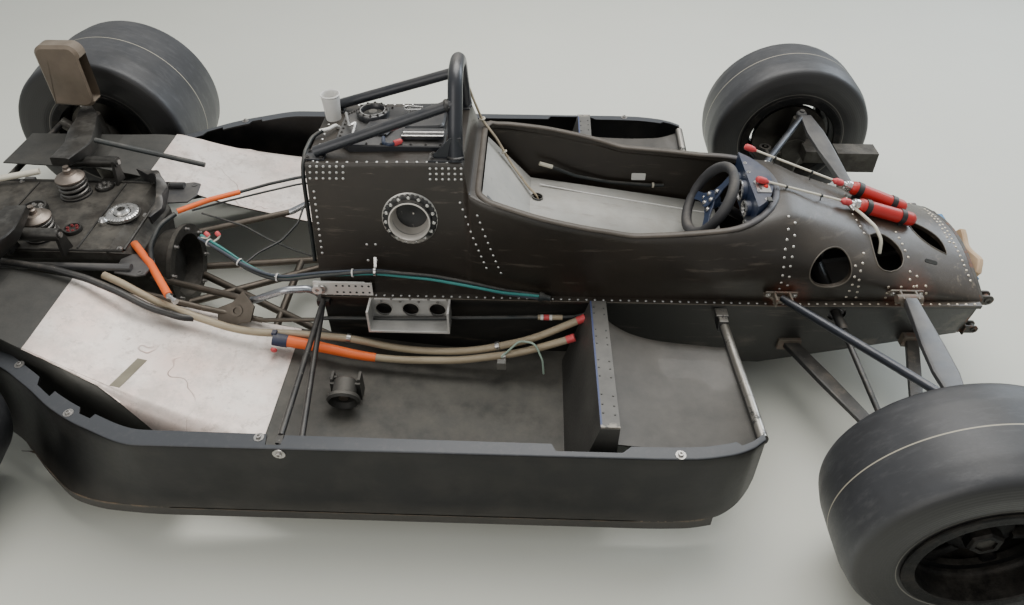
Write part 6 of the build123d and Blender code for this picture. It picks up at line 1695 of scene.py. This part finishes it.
pale_green = dull("pale_green", (0.3, 0.42, 0.34), (0.42, 0.52, 0.44), rough=(0.4, 0.6))
add("green_lead", green_lead, pale_green, "cable")
print("hoses", len(HOSE_HIGH) + len(HOSE_LOW), "marks")

# %% Cable loom
LOOM = [(0.368, -0.257, 0.368), (0.25, -0.262, 0.388), (0.15, -0.262, 0.415), (0.05, -0.259, 0.436),
        (-0.11, -0.257, 0.452), (-0.262, -0.262, 0.441), (-0.392, -0.262, 0.42), (-0.48, -0.244, 0.446),
        (-0.56, -0.2, 0.47), (-0.64, -0.15, 0.478)]
core = rounded(LOOM, 0.5, 0.01)
_, loom_side, loom_up = frames(core)
twist = np.linspace(0, 5.0, len(core))
cable_teal = dull("cable_teal", (0.02, 0.17, 0.16), (0.05, 0.27, 0.25), rough=(0.35, 0.55), dust=0.08)
cable_slate = dull("cable_slate", (0.035, 0.045, 0.065), (0.08, 0.095, 0.12), rough=(0.35, 0.55), dust=0.1)
for name, phase, r, finish in (("black_cable", 0.0, 0.005, cable_black),
                               ("teal_cable", 2.1, 0.0042, cable_teal),
                               ("slate_cable", 4.2, 0.004, cable_slate)):
    off = 0.0058 * (np.cos(twist + phase)[:, None] * loom_side + np.sin(twist + phase)[:, None] * loom_up)
    made = piece(name, carry(core + off, ring(r, 10)), finish)
    fit(made, "cable", *(["cable_loom"] if name == "black_cable" else []))
tie_rings, n = [], len(core)
for share in (0.52, 0.735, 0.84, 0.955):
    i = int(share * n)
    tie_rings.append(band(0.0102, 0.0122, -0.002, 0.002, core[i], core[min(i + 1, n - 1)] - core[i - 1], 16))
tie_rings.append(rod(core[int(0.735 * n)] + (0, -0.01, 0.004), core[int(0.735 * n)] + (0, -0.016, 0.018),
                     0.0012, 6))
add("loom_ties", tie_rings, white, "white_plastic")
ring_clip = [band(0.0105, 0.013, -0.003, 0.003, (-0.11, -0.257, 0.452), AHEAD, 20),
             slab([(-0.004, 0), (0.004, 0), (0.004, 0.03), (-0.004, 0.03)], (-0.11, -0.248, 0.46), AHEAD,
                  (0, 0.5, 1), 0.0018, 0.0004)]
gland = turned([(0.0112, 0), (0.014, 0.002), (0.014, 0.01), (0.0085, 0.024), (0.0085, 0.034), (0.0, 0.034)],
               (0.352, -0.2575, 0.3715), (1, 0, -0.25), 20)
add("loom_clip", ring_clip, bright, "bright_alloy")
add("loom_gland", gland, cable_black, "cable")
fork_lines = [[(-0.636, -0.152, 0.478), (-0.612, -0.166, 0.486), (-0.604, -0.16, 0.494)],
              [(-0.6, -0.172, 0.474), (-0.58, -0.166, 0.486), (-0.574, -0.158, 0.494)]]
fork = [pipe(points, 0.0032, 0.01, 0.004, 8) for points in fork_lines]
add("loom_fork", fork, cream, "cream_rod")
loom_caps = [rod((-0.606, -0.162, 0.492), (-0.618, -0.156, 0.5), 0.0075, 12, (0.8, 1, 0.8)),
             rod((-0.576, -0.16, 0.492), (-0.586, -0.154, 0.501), 0.0075, 12, (0.8, 1, 0.8))]
add("loom_caps", loom_caps, cap_red, "red_paint")
print("loom", n, "stations")

# %% Engine bay
bay_steel = brushed("bay_steel", (0.1, 0.085, 0.07), (0.18, 0.155, 0.13), rough=(0.38, 0.6))
bay = [rod((-0.482, -0.168, 0.123), (-0.482, 0.168, 0.123), 0.0125, 16)]
silver = []
for s in (-1, 1):
    for end in (-0.104, 0.104):
        bay.append(rod((-0.283, s * 0.2, 0.118), (-0.858, end, 0.138), 0.0125, 16))
    side = [(-0.283, s * 0.216, 0.299), (-0.312, s * 0.222, 0.35), (-0.392, s * 0.236, 0.354),
            (-0.502, s * 0.224, 0.297), (-0.862, s * 0.104, 0.274)]
    silver.append(carry(along(side, 0, 0.42, 0, 0.05), ring(0.0112, 16)))
    bay.append(carry(along(side, 0.41, 1.0, 0, 0.05), ring(0.0105, 16)))
bay += [rod((-0.29, -0.262, 0.262), (-0.47, -0.262, 0.254), 0.0065, 12),
        rod((-0.47, -0.262, 0.254), (-0.64, -0.262, 0.3), 0.0085, 12),
        rod((-0.64, -0.262, 0.3), (-0.85, -0.24, 0.345), 0.0085, 12)]
add("bay_tubes", bay, bay_steel, "bare_steel", "engine_frame")
silver_tube = brushed("silver_tube", (0.38, 0.4, 0.44), (0.55, 0.57, 0.6), rough=(0.2, 0.35))
add("silver_tubes", silver, silver_tube, "bare_steel")
ear = [slab([(-0.05, -0.03), (0.006, -0.04), (0.052, -0.036), (0.06, 0.01), (0.02, 0.058), (-0.01, 0.026),
             (-0.052, 0.012)],
            (-0.545, -0.262, 0.29), (1, 0, 0.1), (0, 0.75, 0.66), 0.006, 0.0012),
       band(0.01, 0.0175, -0.004, 0.005, (-0.538, -0.264, 0.292), (0, -0.66, 0.75), 24)]
add("bay_plate", ear, bay_steel, "bare_steel")
flank = [pipe([(-0.29, -0.262, 0.268), (-0.1, -0.262, 0.272), (0.18, -0.262, 0.284), (0.356, -0.26, 0.29)],
              0.006, 0.3, 0.03, 10),
         pipe([(0.42, -0.259, 0.29), (0.47, -0.256, 0.292), (0.495, -0.25, 0.3)], 0.0055, 0.1, 0.02, 10)]
add("flank_tube", flank, cable_black, "cable")
add("joint_body", rod((0.352, -0.26, 0.29), (0.424, -0.259, 0.29), 0.0078, 14), tan_rubber, "tan_hose")
add("joint_white", [rod((x, -0.26, 0.29), (x + 0.008, -0.26, 0.29), 0.0086, 14) for x in (0.36, 0.386)],
    white, "white_plastic")
add("joint_red", rod((0.369, -0.26, 0.29), (0.385, -0.26, 0.29), 0.0086, 14), cap_red, "red_paint")
loose = [pipe([(-0.296, -0.19, 0.44), (-0.318, -0.15, 0.415), (-0.38, -0.12, 0.41), (-0.464, -0.086, 0.42),
               (-0.56, -0.03, 0.43), (-0.7, 0.01, 0.445)], 0.003, 0.1, 0.01, 8),
         pipe([(-0.29, 0.17, 0.48), (-0.415, 0.189, 0.47), (-0.52, 0.14, 0.47), (-0.61, 0.086, 0.47)],
              0.0052, 0.12, 0.01, 10),
         pipe([(-0.292, 0.176, 0.462), (-0.43, 0.17, 0.452), (-0.54, 0.12, 0.45), (-0.64, 0.06, 0.455),
               (-0.74, 0.03, 0.44)], 0.0034, 0.12, 0.01, 8),
         pipe([(-0.29, 0.15, 0.455), (-0.395, 0.097, 0.44), (-0.392, -0.019, 0.436), (-0.42, -0.109, 0.436),
               (-0.47, -0.17, 0.44), (-0.5, -0.222, 0.436)], 0.0034, 0.08, 0.01, 8),
         pipe([(-0.768, -0.02, 0.462), (-0.8, -0.07, 0.455), (-0.812, -0.13, 0.425), (-0.8, -0.18, 0.38)],
              0.008, 0.08, 0.01, 12),
         rod((-0.743, 0.2, 0.499), (-1.077, 0.2, 0.587), 0.0085, 12)]
add("loose_cables", loose, cable_black, "cable")
red_sleeves = [pipe([(-0.6, 0.092, 0.47), (-0.68, 0.045, 0.472), (-0.762, -0.014, 0.468)], 0.0085, 0.1, 0.01,
                    14),
               pipe([(-0.88, -0.098, 0.405), (-0.8, -0.18, 0.396), (-0.7, -0.305, 0.388)], 0.0115, 0.15,
                    0.01, 14)]
add("red_sleeves", red_sleeves, sleeve_red, "red_paint")
ends = [turned([(0, 0), (0.009, 0), (0.01, 0.008), (0.006, 0.012), (0.006, 0.03), (0.009, 0.032),
                (0.009, 0.04), (0, 0.04)], (-0.702, -0.303, 0.388), (0.75, -0.6, -0.1), 16),
        turned([(0, 0), (0.006, 0), (0.006, 0.012), (0, 0.012)], (-0.5, -0.222, 0.436), (-0.3, -1, -0.2),
               12)]
add("hose_ends", ends, bright, "bright_alloy")
print("engine bay")

# %% [markdown]
# ## Front suspension and bulkhead
# A boxed arm is a rectangle whose width and height change along a line, so `beam` carries a rounded
# rectangle and stretches it at each station. The front plate follows the moulding's own last section.


# %% Arms
def beam(points, widths, heights, step=0.02):
    """Rounded rectangle along a line: the width lies level, across the line, and the height stands on it."""
    line = rounded(points, 0.05, step)
    share = np.linspace(0, 1, len(line))
    w, h = (np.interp(share, np.linspace(0, 1, len(v)), v)[:, None, None] for v in (widths, heights))
    t = np.gradient(line, axis=0)
    side = unit_rows(np.cross(t, UP))
    up = unit_rows(np.cross(side, t))
    o = rounded_box(1.0, 1.0, 0.12, 3)
    grid = line[:, None] + side[:, None] * w * o[None, :, :1] + up[:, None] * h * o[None, :, 1:]
    n, m = grid.shape[:2]
    return grid.reshape(-1, 3), capped_faces(n, m)


polished = paint("polished", (0.02, 0.024, 0.034), (0.045, 0.052, 0.07), chips=0.75)
polished.shader.inputs["Metallic"].default_value = 0.8
polished.shader.inputs["Coat Weight"].default_value = 0.5
arm_grey = paint("arm_grey", (0.04, 0.04, 0.042), (0.075, 0.075, 0.078), chips=0.7)
arm_black = paint("arm_black", (0.008, 0.008, 0.009), (0.02, 0.02, 0.021), chips=0.68)
arm_black.tint(arm_black.noise(26, 5.0, 0.7).above(0.6, 0.06) * arm_black.facing_up() * 0.5,
               (0.16, 0.13, 0.1))
upper_rear, upper_front, lower, brackets, bracket_bolts, balls = [], [], [], [], [], []
for s in (-1, 1):
    ball, low_ball = np.array([1.33, s * 0.69, 0.448]), np.array([1.33, s * 0.69, 0.185])
    upper_rear.append(rod((1.04, s * 0.262, 0.388), ball + (-0.012, -s * 0.03, -0.002), 0.012, 20,
                          (0.9, 1, 1, 1, 0.9)))
    upper_front.append(beam([(1.385, s * 0.276, 0.404), (1.34, s * 0.672, 0.447)],
                            (0.034, 0.044, 0.058, 0.062, 0.04), (0.024, 0.022, 0.018, 0.016, 0.016)))
    lower.append(beam([(1.115, s * 0.222, 0.172), (1.32, s * 0.676, 0.1835)], (0.042, 0.046, 0.04, 0.034),
                      (0.02, 0.018, 0.014, 0.012)))
    lower.append(beam([(1.48, s * 0.218, 0.196), (1.338, s * 0.676, 0.184)], (0.036, 0.036, 0.032, 0.028),
                      (0.018, 0.016, 0.014, 0.012)))
    for centre in (ball, low_ball):
        balls.append(turned([(0, -0.0065), (0.016, -0.0065), (0.019, -0.003), (0.019, 0.004), (0.015, 0.009),
                             (0.009, 0.01), (0.009, 0.017), (0, 0.017)],
                            centre, (0, 0, 1 if centre is ball else -1), 24))
    for x, z in ((1.385, 0.404), (1.04, 0.388)):
        y = s * 0.262
        brackets.append(slab([(-0.046, 0), (0.046, 0), (0.016, 0.04), (-0.016, 0.04)],
                             (x, s * 0.236, z - 0.006), AHEAD, (0, s, 0), 0.007, 0.0012))
        brackets.append(slab(rounded_box(0.092, 0.022, 0.004), (x, s * 0.2475, z + 0.002), AHEAD,
                             (0, 0.2 * s, 1), 0.006, 0.001))
        brackets += [brick((x + d - 0.003, x + d + 0.003), (s * 0.25, s * 0.286), (z - 0.014, z + 0.014),
                           0.0012) for d in (-0.021, 0.021)]
        bracket_bolts += [(x + d, s * 0.2515, z + 0.002) for d in (-0.037, 0.037)]
    brackets.append(rod((1.35, s * 0.272, 0.404), (1.42, s * 0.272, 0.404), 0.015, 20,
                        (0.85, 1, 1, 1, 0.85)))
    for x, z in ((1.115, 0.172), (1.48, 0.196)):
        brackets.append(brick((x - 0.034, x + 0.034), (s * 0.214, s * 0.236), (z - 0.02, z + 0.022), 0.002))
bolt_out = np.array([(0, -1.0, 0)] * 4 + [(0, 1.0, 0)] * 4)
add("upper_rear_legs", upper_rear, polished, "dark_steel", "front_arms")
add("upper_front_arms", upper_front, arm_grey, "dark_steel", "front_arms")
add("lower_front_arms", lower, arm_black, "dark_steel", "front_arms")
bracket_skin = worn("bracket_skin", (0.075, 0.062, 0.048), (0.16, 0.135, 0.105), rough=(0.4, 0.6),
                    tone_scale=24, dust=0.2)
bracket_skin.tint(bracket_skin.noise(34, 5.0, 0.7).above(0.57, 0.05) * 0.4, (0.18, 0.06, 0.035))
add("arm_brackets", brackets, bracket_skin, "dark_steel")
add("arm_balls", balls, arm_grey, "dark_steel")
add("bracket_bolts", bolts(bracket_bolts, bolt_out, 0.0042, 0.005), screw_steel, "bright_alloy",
    closed=False)
print("front arms")

# %% Front plate, lugs and foam
last = tub_section(np.array([TUB_FRONT]))[0]
half = np.concatenate([[(0.183, 0.1885), (0.205, 0.21), (0.231, 0.357)], last])
outline = np.concatenate([half, half[::-1][1:] * (-1, 1)]) * (0.985, 1)
plate_dark = worn("plate_dark", (0.035, 0.033, 0.03), (0.09, 0.085, 0.075), rough=(0.4, 0.65), tone_scale=16,
                  dust=0.2, Metallic=0.3)
plate_dark.tint(plate_dark.noise(30, 5.0, 0.7).above(0.58, 0.05) * 0.7, (0.2, 0.075, 0.035))
lugs = [slab(outline, (1.618, 0, 0), LEFT, UP, 0.0118, 0.0015)]
for s in (-1, 1):
    for z, r in ((0.346, 0.017), (0.228, 0.014)):
        a = np.linspace(-np.pi / 2, np.pi / 2, 14)
        ear = np.concatenate([[(1.624, z + r), (1.624, z - r)],
                              np.stack([1.669 - r + r * np.cos(a), z + r * np.sin(a)], 1)])
        for d in (-0.011, 0.011):
            lugs.append(slab(ear, (0, s * (0.195 + d), 0), AHEAD, UP, 0.006, 0.001))
        lugs.append(band(r / 3, r * 0.62, -0.017, 0.017, (1.669 - r, s * 0.195, z), LEFT, 20))
        lugs.append(slab(rounded_box(2.6 * r, 0.04, 0.004), (1.6255, s * 0.195, z), UP, LEFT, 0.004, 0.001))
add("front_plate", lugs, plate_dark, "machined_alloy", "front_bulkhead")
t = np.linspace(-1, 1, 26)
top_y = np.linspace(0.104, -0.132, 26)
top_z = through(-top_y, -np.array([0.104, 0.062, 0.03, -0.03, -0.1, -0.132]),
                np.array([0.366, 0.384, 0.432, 0.418, 0.424, 0.392]))
edge = np.concatenate([np.stack([0.108 * t, 0.307 + 0.004 * np.sin(9 * t)], 1),
                       np.stack([top_y, top_z + 0.003 * np.sin(40 * top_y)], 1)])
board = slab(edge, (1.5625, 0, 0), LEFT, (0.22, 0, 1), 0.018, 0.004)
pad = piece("foam_pad", board, foam)
fit(pad, "foam", "foam_board")
clip_blue = dull("clip_blue", (0.03, 0.16, 0.36), (0.06, 0.24, 0.46), rough=(0.35, 0.5), dust=0.1)
clip_parts = [brick((1.626, 1.65), (0.122, 0.15), (0.38, 0.394), 0.002),
              brick((1.628, 1.656), (-0.13, -0.112), (0.352, 0.364), 0.002),
              pipe([(1.64, 0.136, 0.392), (1.655, 0.11, 0.384), (1.662, 0.06, 0.38), (1.664, -0.06, 0.374),
                    (1.658, -0.118, 0.366)], 0.0018, 0.03, 0.006, 6)]
add("nose_clips", clip_parts, clip_blue, "blue_black_panel")
small_slot = slab(rounded_box(0.036, 0.012, 0.005), (1.47, -0.166, 0.4535), (1, -0.15, -0.2),
                  (0.12, 1, 0.75), 0.003, 0.0004)
add("nose_slot", small_slot, cable_black, "dark_composite")
print("front plate")

# %% [markdown]
# ## Rear: gearbox, springs, rockers and ducts
# Everything here is oily and dark, and the light only catches coils, caps and bolt heads. A spring is a
# line that climbs as it turns, with a round section carried along it.

# %% Springs
def coil(x, y, low, high, radius, turns, wire):
    """Spring round (x, y): its end turns climb slowly and the turns between them climb evenly."""
    a = np.linspace(0, 2 * np.pi * turns, int(26 * turns))
    climb = np.interp(a, [0, 2 * np.pi * 0.8, a[-1] - 2 * np.pi * 0.8, a[-1]],
                      [low, low + wire, high - wire, high])
    return carry(np.stack([x + radius * np.cos(a), y + radius * np.sin(a), climb], 1), ring(wire, 10))


spring_dark = brushed("spring_dark", (0.1, 0.095, 0.09), (0.22, 0.21, 0.2), along=(60, 60, 60),
                      rough=(0.25, 0.45))
coils, cap_shapes, cores = [], [], []
for s in (-1, 1):
    x, y = -1.144, s * 0.107
    coils.append(coil(x, y, 0.448, 0.494, 0.0385, 3.4, 0.0062))
    cap_shapes.append(turned([(0.012, 0.0), (0.042, 0.0), (0.0445, 0.003), (0.0445, 0.008), (0.04, 0.013),
                              (0.03, 0.016), (0.024, 0.022), (0.012, 0.024)], (x, y, 0.498), UP, 40,
                              loop=True))
    cap_shapes.append(turned([(0, 0.018), (0.0125, 0.018), (0.0125, 0.034), (0.009, 0.038), (0.009, 0.046),
                              (0, 0.046)], (x, y, 0.5), UP, 20))
    cores.append(turned([(0, 0), (0.048, 0), (0.048, 0.006), (0.026, 0.01), (0.022, 0.06), (0, 0.06)],
                        (x, y, 0.4405), UP, 32))
add("spring_coils", coils, spring_dark, "spring_steel", "spring_dampers")
add("spring_caps", cap_shapes, bare_steel, "spring_steel")
add("damper_cores", cores, black_paint, "dark_steel")

# %% Rockers, brackets and links
rockers, small = [], []
for s in (-1, 1):
    pivot, ball = np.array([-1.11, s * 0.192, 0.51]), np.array([-1.318, s * 0.58, 0.487])
    line = [(-1.168, s * 0.126, 0.55), (-1.16, s * 0.235, 0.538), (-1.225, s * 0.42, 0.516), ball]
    rockers.append(beam(line, (0.062, 0.086, 0.09, 0.074, 0.056, 0.036),
                        (0.028, 0.044, 0.062, 0.06, 0.048, 0.03)))
    rockers.append(turned([(0, -0.094), (0.017, -0.094), (0.019, -0.088), (0.019, 0.08), (0.017, 0.086),
                           (0, 0.086)], pivot, AHEAD, 28))
    for x in (-1.193, -1.033):
        rockers.append(slab([(-0.014, -0.07), (0.036, -0.07), (0.018, 0.01), (0.006, 0.017),
                             (-0.008, 0.012)], (x, pivot[1], pivot[2]), (0, -s, 0), UP, 0.01, 0.0012))
    low_ball = np.array([-1.333, s * 0.59, 0.185])
    for x in (-1.083, -1.453):
        rockers.append(beam([(x, s * 0.118, 0.15), low_ball], (0.034, 0.03), (0.018, 0.015), 0.03))
    small.append(rod(pivot + (-0.097, 0, 0), pivot + (0.09, 0, 0), 0.0085, 16))
    small.append(turned([(0, 0), (0.016, 0), (0.016, 0.01), (0.01, 0.014), (0, 0.014)],
                        ball + (-0.004, 0, 0.014), UP, 20))
oily = worn("oily", (0.012, 0.011, 0.01), (0.035, 0.033, 0.03), rough=(0.28, 0.5), tone_scale=12, dust=0.12,
            Metallic=0.35)
oily.tint(oily.facing_up() ** 2 * oily.noise(22, 5.0, 0.7).above(0.55, 0.08) * 0.5, (0.12, 0.115, 0.105))
oily.bump(oily.noise(120, 3.0, 0.6), 0.0006, 0.6)
add("rear_rockers", rockers, oily, "dark_steel", "rear_arms")
add("rocker_pins", small, screw_steel, "bright_alloy")
toe = [rod((-1.445, s * 0.165, 0.418), (-1.445, s * 0.59, 0.418), 0.0105, 14) for s in (-1, 1)]
add("rear_toe_links", toe, arm_black, "dark_steel")
add("cream_tie_rods", [rod((-1.3, s * 0.19, 0.47), (-1.452, s * 0.14, 0.462), 0.0105, 14) for s in (-1, 1)],
    cream, "cream_rod")
scrap = beam([(-0.962, 0.192, 0.452), (-0.9, 0.176, 0.47), (-0.862, 0.12, 0.462), (-0.838, 0.03, 0.45),
              (-0.846, -0.03, 0.444)],
             (0.008, 0.03, 0.016, 0.036, 0.02, 0.03, 0.008), (0.07, 0.03, 0.06, 0.024, 0.05, 0.02, 0.03),
             0.012)
add("torn_boot", scrap, arm_black, "dark_panel")
black_hose = pipe([(-1.34, -0.236, 0.452), (-1.19, -0.25, 0.455), (-1.04, -0.262, 0.442),
                   (-0.94, -0.276, 0.42), (-0.85, -0.297, 0.392), (-0.76, -0.322, 0.356),
                   (-0.67, -0.33, 0.326), (-0.64, -0.322, 0.316)], 0.0105, 0.3, 0.012, 14)
add("black_hose", black_hose, arm_black, "cable")
print("springs and rockers")

# %% Gearbox covers
CASE_TOP = 0.4402
COVER_AT = (-0.946, 0, 0.4405)
lid_parts, silver_parts, heads, red_heads = [], [], [], []
tooth_ring = toothed(turned([(0.026, 0), (0.0475, 0), (0.0475, 0.01), (0.044, 0.014), (0.036, 0.014),
                             (0.034, 0.01), (0.026, 0.01)], COVER_AT, UP, 180, loop=True),
                     COVER_AT, UP, 0.047, 0.0024, 30)
silver_parts += [tooth_ring,
                 turned([(0.012, 0), (0.024, 0), (0.024, 0.018), (0.02, 0.023), (0.012, 0.023)], COVER_AT,
                        UP, 32, loop=True),
                 turned([(0, 0), (0.014, 0), (0.014, 0.012), (0.008, 0.02), (0, 0.02)],
                        (-0.985, -0.046, 0.4405), UP, 20)]
lid_parts.append(turned([(0, 0), (0.052, 0), (0.0545, 0.002), (0.0545, 0.005), (0.0, 0.006)],
                        (-0.946, 0, CASE_TOP), UP, 48))
for x, y, r, h in ((-1.07, 0.148, 0.03, 0.01), (-1.063, -0.084, 0.027, 0.012), (-1.23, 0.01, 0.04, 0.018)):
    lid_parts.append(turned([(0, 0), (r, 0), (r, h * 0.6), (r * 0.93, h), (r * 0.8, h), (r * 0.74, h * 0.6),
                             (r * 0.3, h * 0.55), (0, h * 0.6)], (x, y, CASE_TOP), UP, 36))
    for t in full_turn(6):
        head = (x + 0.55 * r * math.cos(t), y + 0.55 * r * math.sin(t), CASE_TOP + h * 0.56)
        (red_heads if y < -0.05 else heads).append(head)
for x, y in np.concatenate([row_of((-0.885, -0.165), (-1.36, -0.172), 4),
                            row_of((-0.885, 0.165), (-1.36, 0.172), 4), [(-0.876, 0.0)]]):
    heads.append((x, y, CASE_TOP))
rim_bar = [rod((-0.87, s * 0.176, 0.441), (-1.43, s * 0.18, 0.441), 0.0045, 8) for s in (-1, 1)]
rim_bar.append(rod((-0.868, -0.172, 0.441), (-0.868, 0.172, 0.441), 0.0045, 8))
ribs = [brick((x - 0.003, x + 0.003), (-0.168, 0.168), (0.438, 0.4435), 0.001) for x in (-1.01, -1.3)]
add("gearbox_lids", [*lid_parts, *rim_bar, *ribs], oily, "cast_alloy", "gearbox_covers")
add("toothed_cover", silver_parts, bright, "machined_alloy")
add("gearbox_bolts", bolts(heads, UP, 0.0048, 0.006), screw_steel, "machined_alloy", closed=False)
dark_red = dull("dark_red", (0.14, 0.018, 0.02), (0.26, 0.03, 0.032), rough=(0.4, 0.6), dust=0.15)
add("red_bolts", bolts(red_heads, UP, 0.004, 0.006, 1.3), dark_red, "red_paint", closed=False)
a = full_turn(8) + np.pi / 8
bell_heads = [(-0.7895, 0.121 * math.cos(t), 0.24 + 0.121 * math.sin(t)) for t in a]
bell_rim = [turned([(0.1035, 0), (0.108, 0.004), (0.131, 0.004), (0.1345, 0.001), (0.1345, -0.01),
                    (0.1035, -0.01)], (-0.7945, 0, 0.24), AHEAD, 64, loop=True)]
bell_rim += [band(0.104, 0.109, 0, 0.006, (-0.82 - 0.02 * i, 0, 0.24), AHEAD, 48) for i in range(2)]
add("bell_rim", bell_rim, oily, "cast_alloy")
add("bell_studs", bolts(bell_heads, AHEAD, 0.0048, 0.012, 1.5), screw_steel, "cast_alloy", closed=False)
link_parts = []
for s in (-1, 1):
    link_parts.append(rod((-0.84, s * 0.212, 0.408), (-1.372, s * 0.212, 0.408), 0.0112, 20))
    holed = slab([(-0.062, -0.05), (-0.04, -0.064), (0.03, -0.058), (0.05, -0.02), (0.044, 0.038),
                  (0.02, 0.046), (-0.05, 0.03)],
                 (-0.838, s * 0.196, 0.396), AHEAD, (0, s, 0.08), 0.006, 0.001)
    link_parts += [holed, band(0.005, 0.01, -0.004, 0.005, (-0.812, s * 0.226, 0.398), UP, 18),
                   brick((-1.384, -1.35), (s * 0.172, s * 0.226), (0.39, 0.424), 0.002)]
add("side_links", link_parts, arm_grey, "dark_steel", "side_links")

# %% Brake ducts
duct_resin = dull("duct_resin", (0.115, 0.088, 0.062), (0.2, 0.155, 0.115), rough=(0.4, 0.6), scale=180)
duct_resin.tint(duct_resin.noise(5, 5.0, 0.65).above(0.58, 0.1) * 0.5, (0.09, 0.075, 0.06))
ducts = []
for s in (-1, 1):
    prof = soft_profile([(-1.355, 0.562), (-1.205, 0.552), (-1.205, 0.76), (-1.225, 0.782), (-1.335, 0.782),
                         (-1.357, 0.76), (-1.355, 0.562)], 0.045, 0.008)[:-1]
    ducts.append(slab(prof, (0, s * 0.499, 0), AHEAD, UP, 0.062, 0.01))
    ducts.append(slab(rounded_box(0.036, 0.1, 0.006), (-1.272, s * 0.499, 0.52), AHEAD, UP, 0.026, 0.002))
duct = piece("brake_ducts", joined(*ducts), duct_resin)
for s in (-1, 1):
    cut(duct, brick((-1.345, -1.19), (s * 0.474, s * 0.524), (0.575, 0.738), 0.004))
fit(duct, "tan_composite", "rear_ducts")
print("gearbox, links and ducts")

# %% [markdown]
# ## Finishes on the solids
# Each solid takes one finish. A table from node name to finish keeps that in one place.

# %% Dress the solids
SOLID_FINISH = {
    "tub_lower": tub_tray_skin, "tub_upper": tub_skin, "front_bulkhead": machined, "foam_board": foam,
    "fuel_cell_top": dark_sheet, "breather_cup": white, "side_port": bright, "roll_hoop": black_paint,
    "cockpit_liner": liner_grey, "dash_panel": blue_black, "steering_column": black_paint,
    "steering_wheel": grip, "bottles": bright, "pull_rods": cream, "side_panels": black_paint,
    "radiator_bulkheads": dark_sheet, "inlet_fairings": dark_sheet, "tunnel_roofs": floor_grey,
    "heat_shields": machined, "pod_struts": black_paint, "coolant_hoses": tan_rubber,
    "cable_loom": cable_black, "mount_plates": tray_alloy, "engine_frame": bare_steel,
    "bell_housing": cast_alloy, "gearbox": cast_alloy, "gearbox_covers": machined, "side_links": black_paint,
    "spring_dampers": bright, "rear_uprights": cast_alloy, "rear_arms": black_paint, "rear_ducts": tan_cloth,
    "front_arms": black_paint, "steering_rack": arm_black, "knuckle_right": cast_alloy,
    "knuckle_left": cast_alloy,
}
for side in ("right", "left"):
    for end in ("front", "rear"):
        SOLID_FINISH[f"tyre_{end}_{side}"] = tyre_rubber
        SOLID_FINISH[f"rim_{end}_{side}"] = wheel_alloy
    SOLID_FINISH[f"brake_front_{side}"] = disc_iron
    SOLID_FINISH[f"drive_rear_{side}"] = disc_iron


def dress(name, finish):
    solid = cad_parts[name]
    solid.data.materials.clear()
    solid.data.materials.append(finish.material)


for name, finish in SOLID_FINISH.items():
    dress(name, finish)
print("dressed", len(SOLID_FINISH), "missing", set(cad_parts) - set(SOLID_FINISH))

# %% [markdown]
# ## The floor
# A plain pale concrete floor, slightly green, without marks.

# %% Floor
floor_mesh = bpy.data.meshes.new("floor")
floor_mesh.from_pydata([(-60, -60, 0), (60, -60, 0), (60, 60, 0), (-60, 60, 0)], [], [(0, 1, 2, 3)])
floor = bpy.data.objects.new("floor", floor_mesh)
bpy.context.collection.objects.link(floor)
concrete = Finish("concrete", Roughness=0.75)
concrete.colour(concrete.mix(concrete.noise(1.2, 6.0, 0.6), (0.65, 0.66, 0.59), (0.73, 0.73, 0.66)))
floor_mesh.materials.append(concrete.material)
print("floor laid")
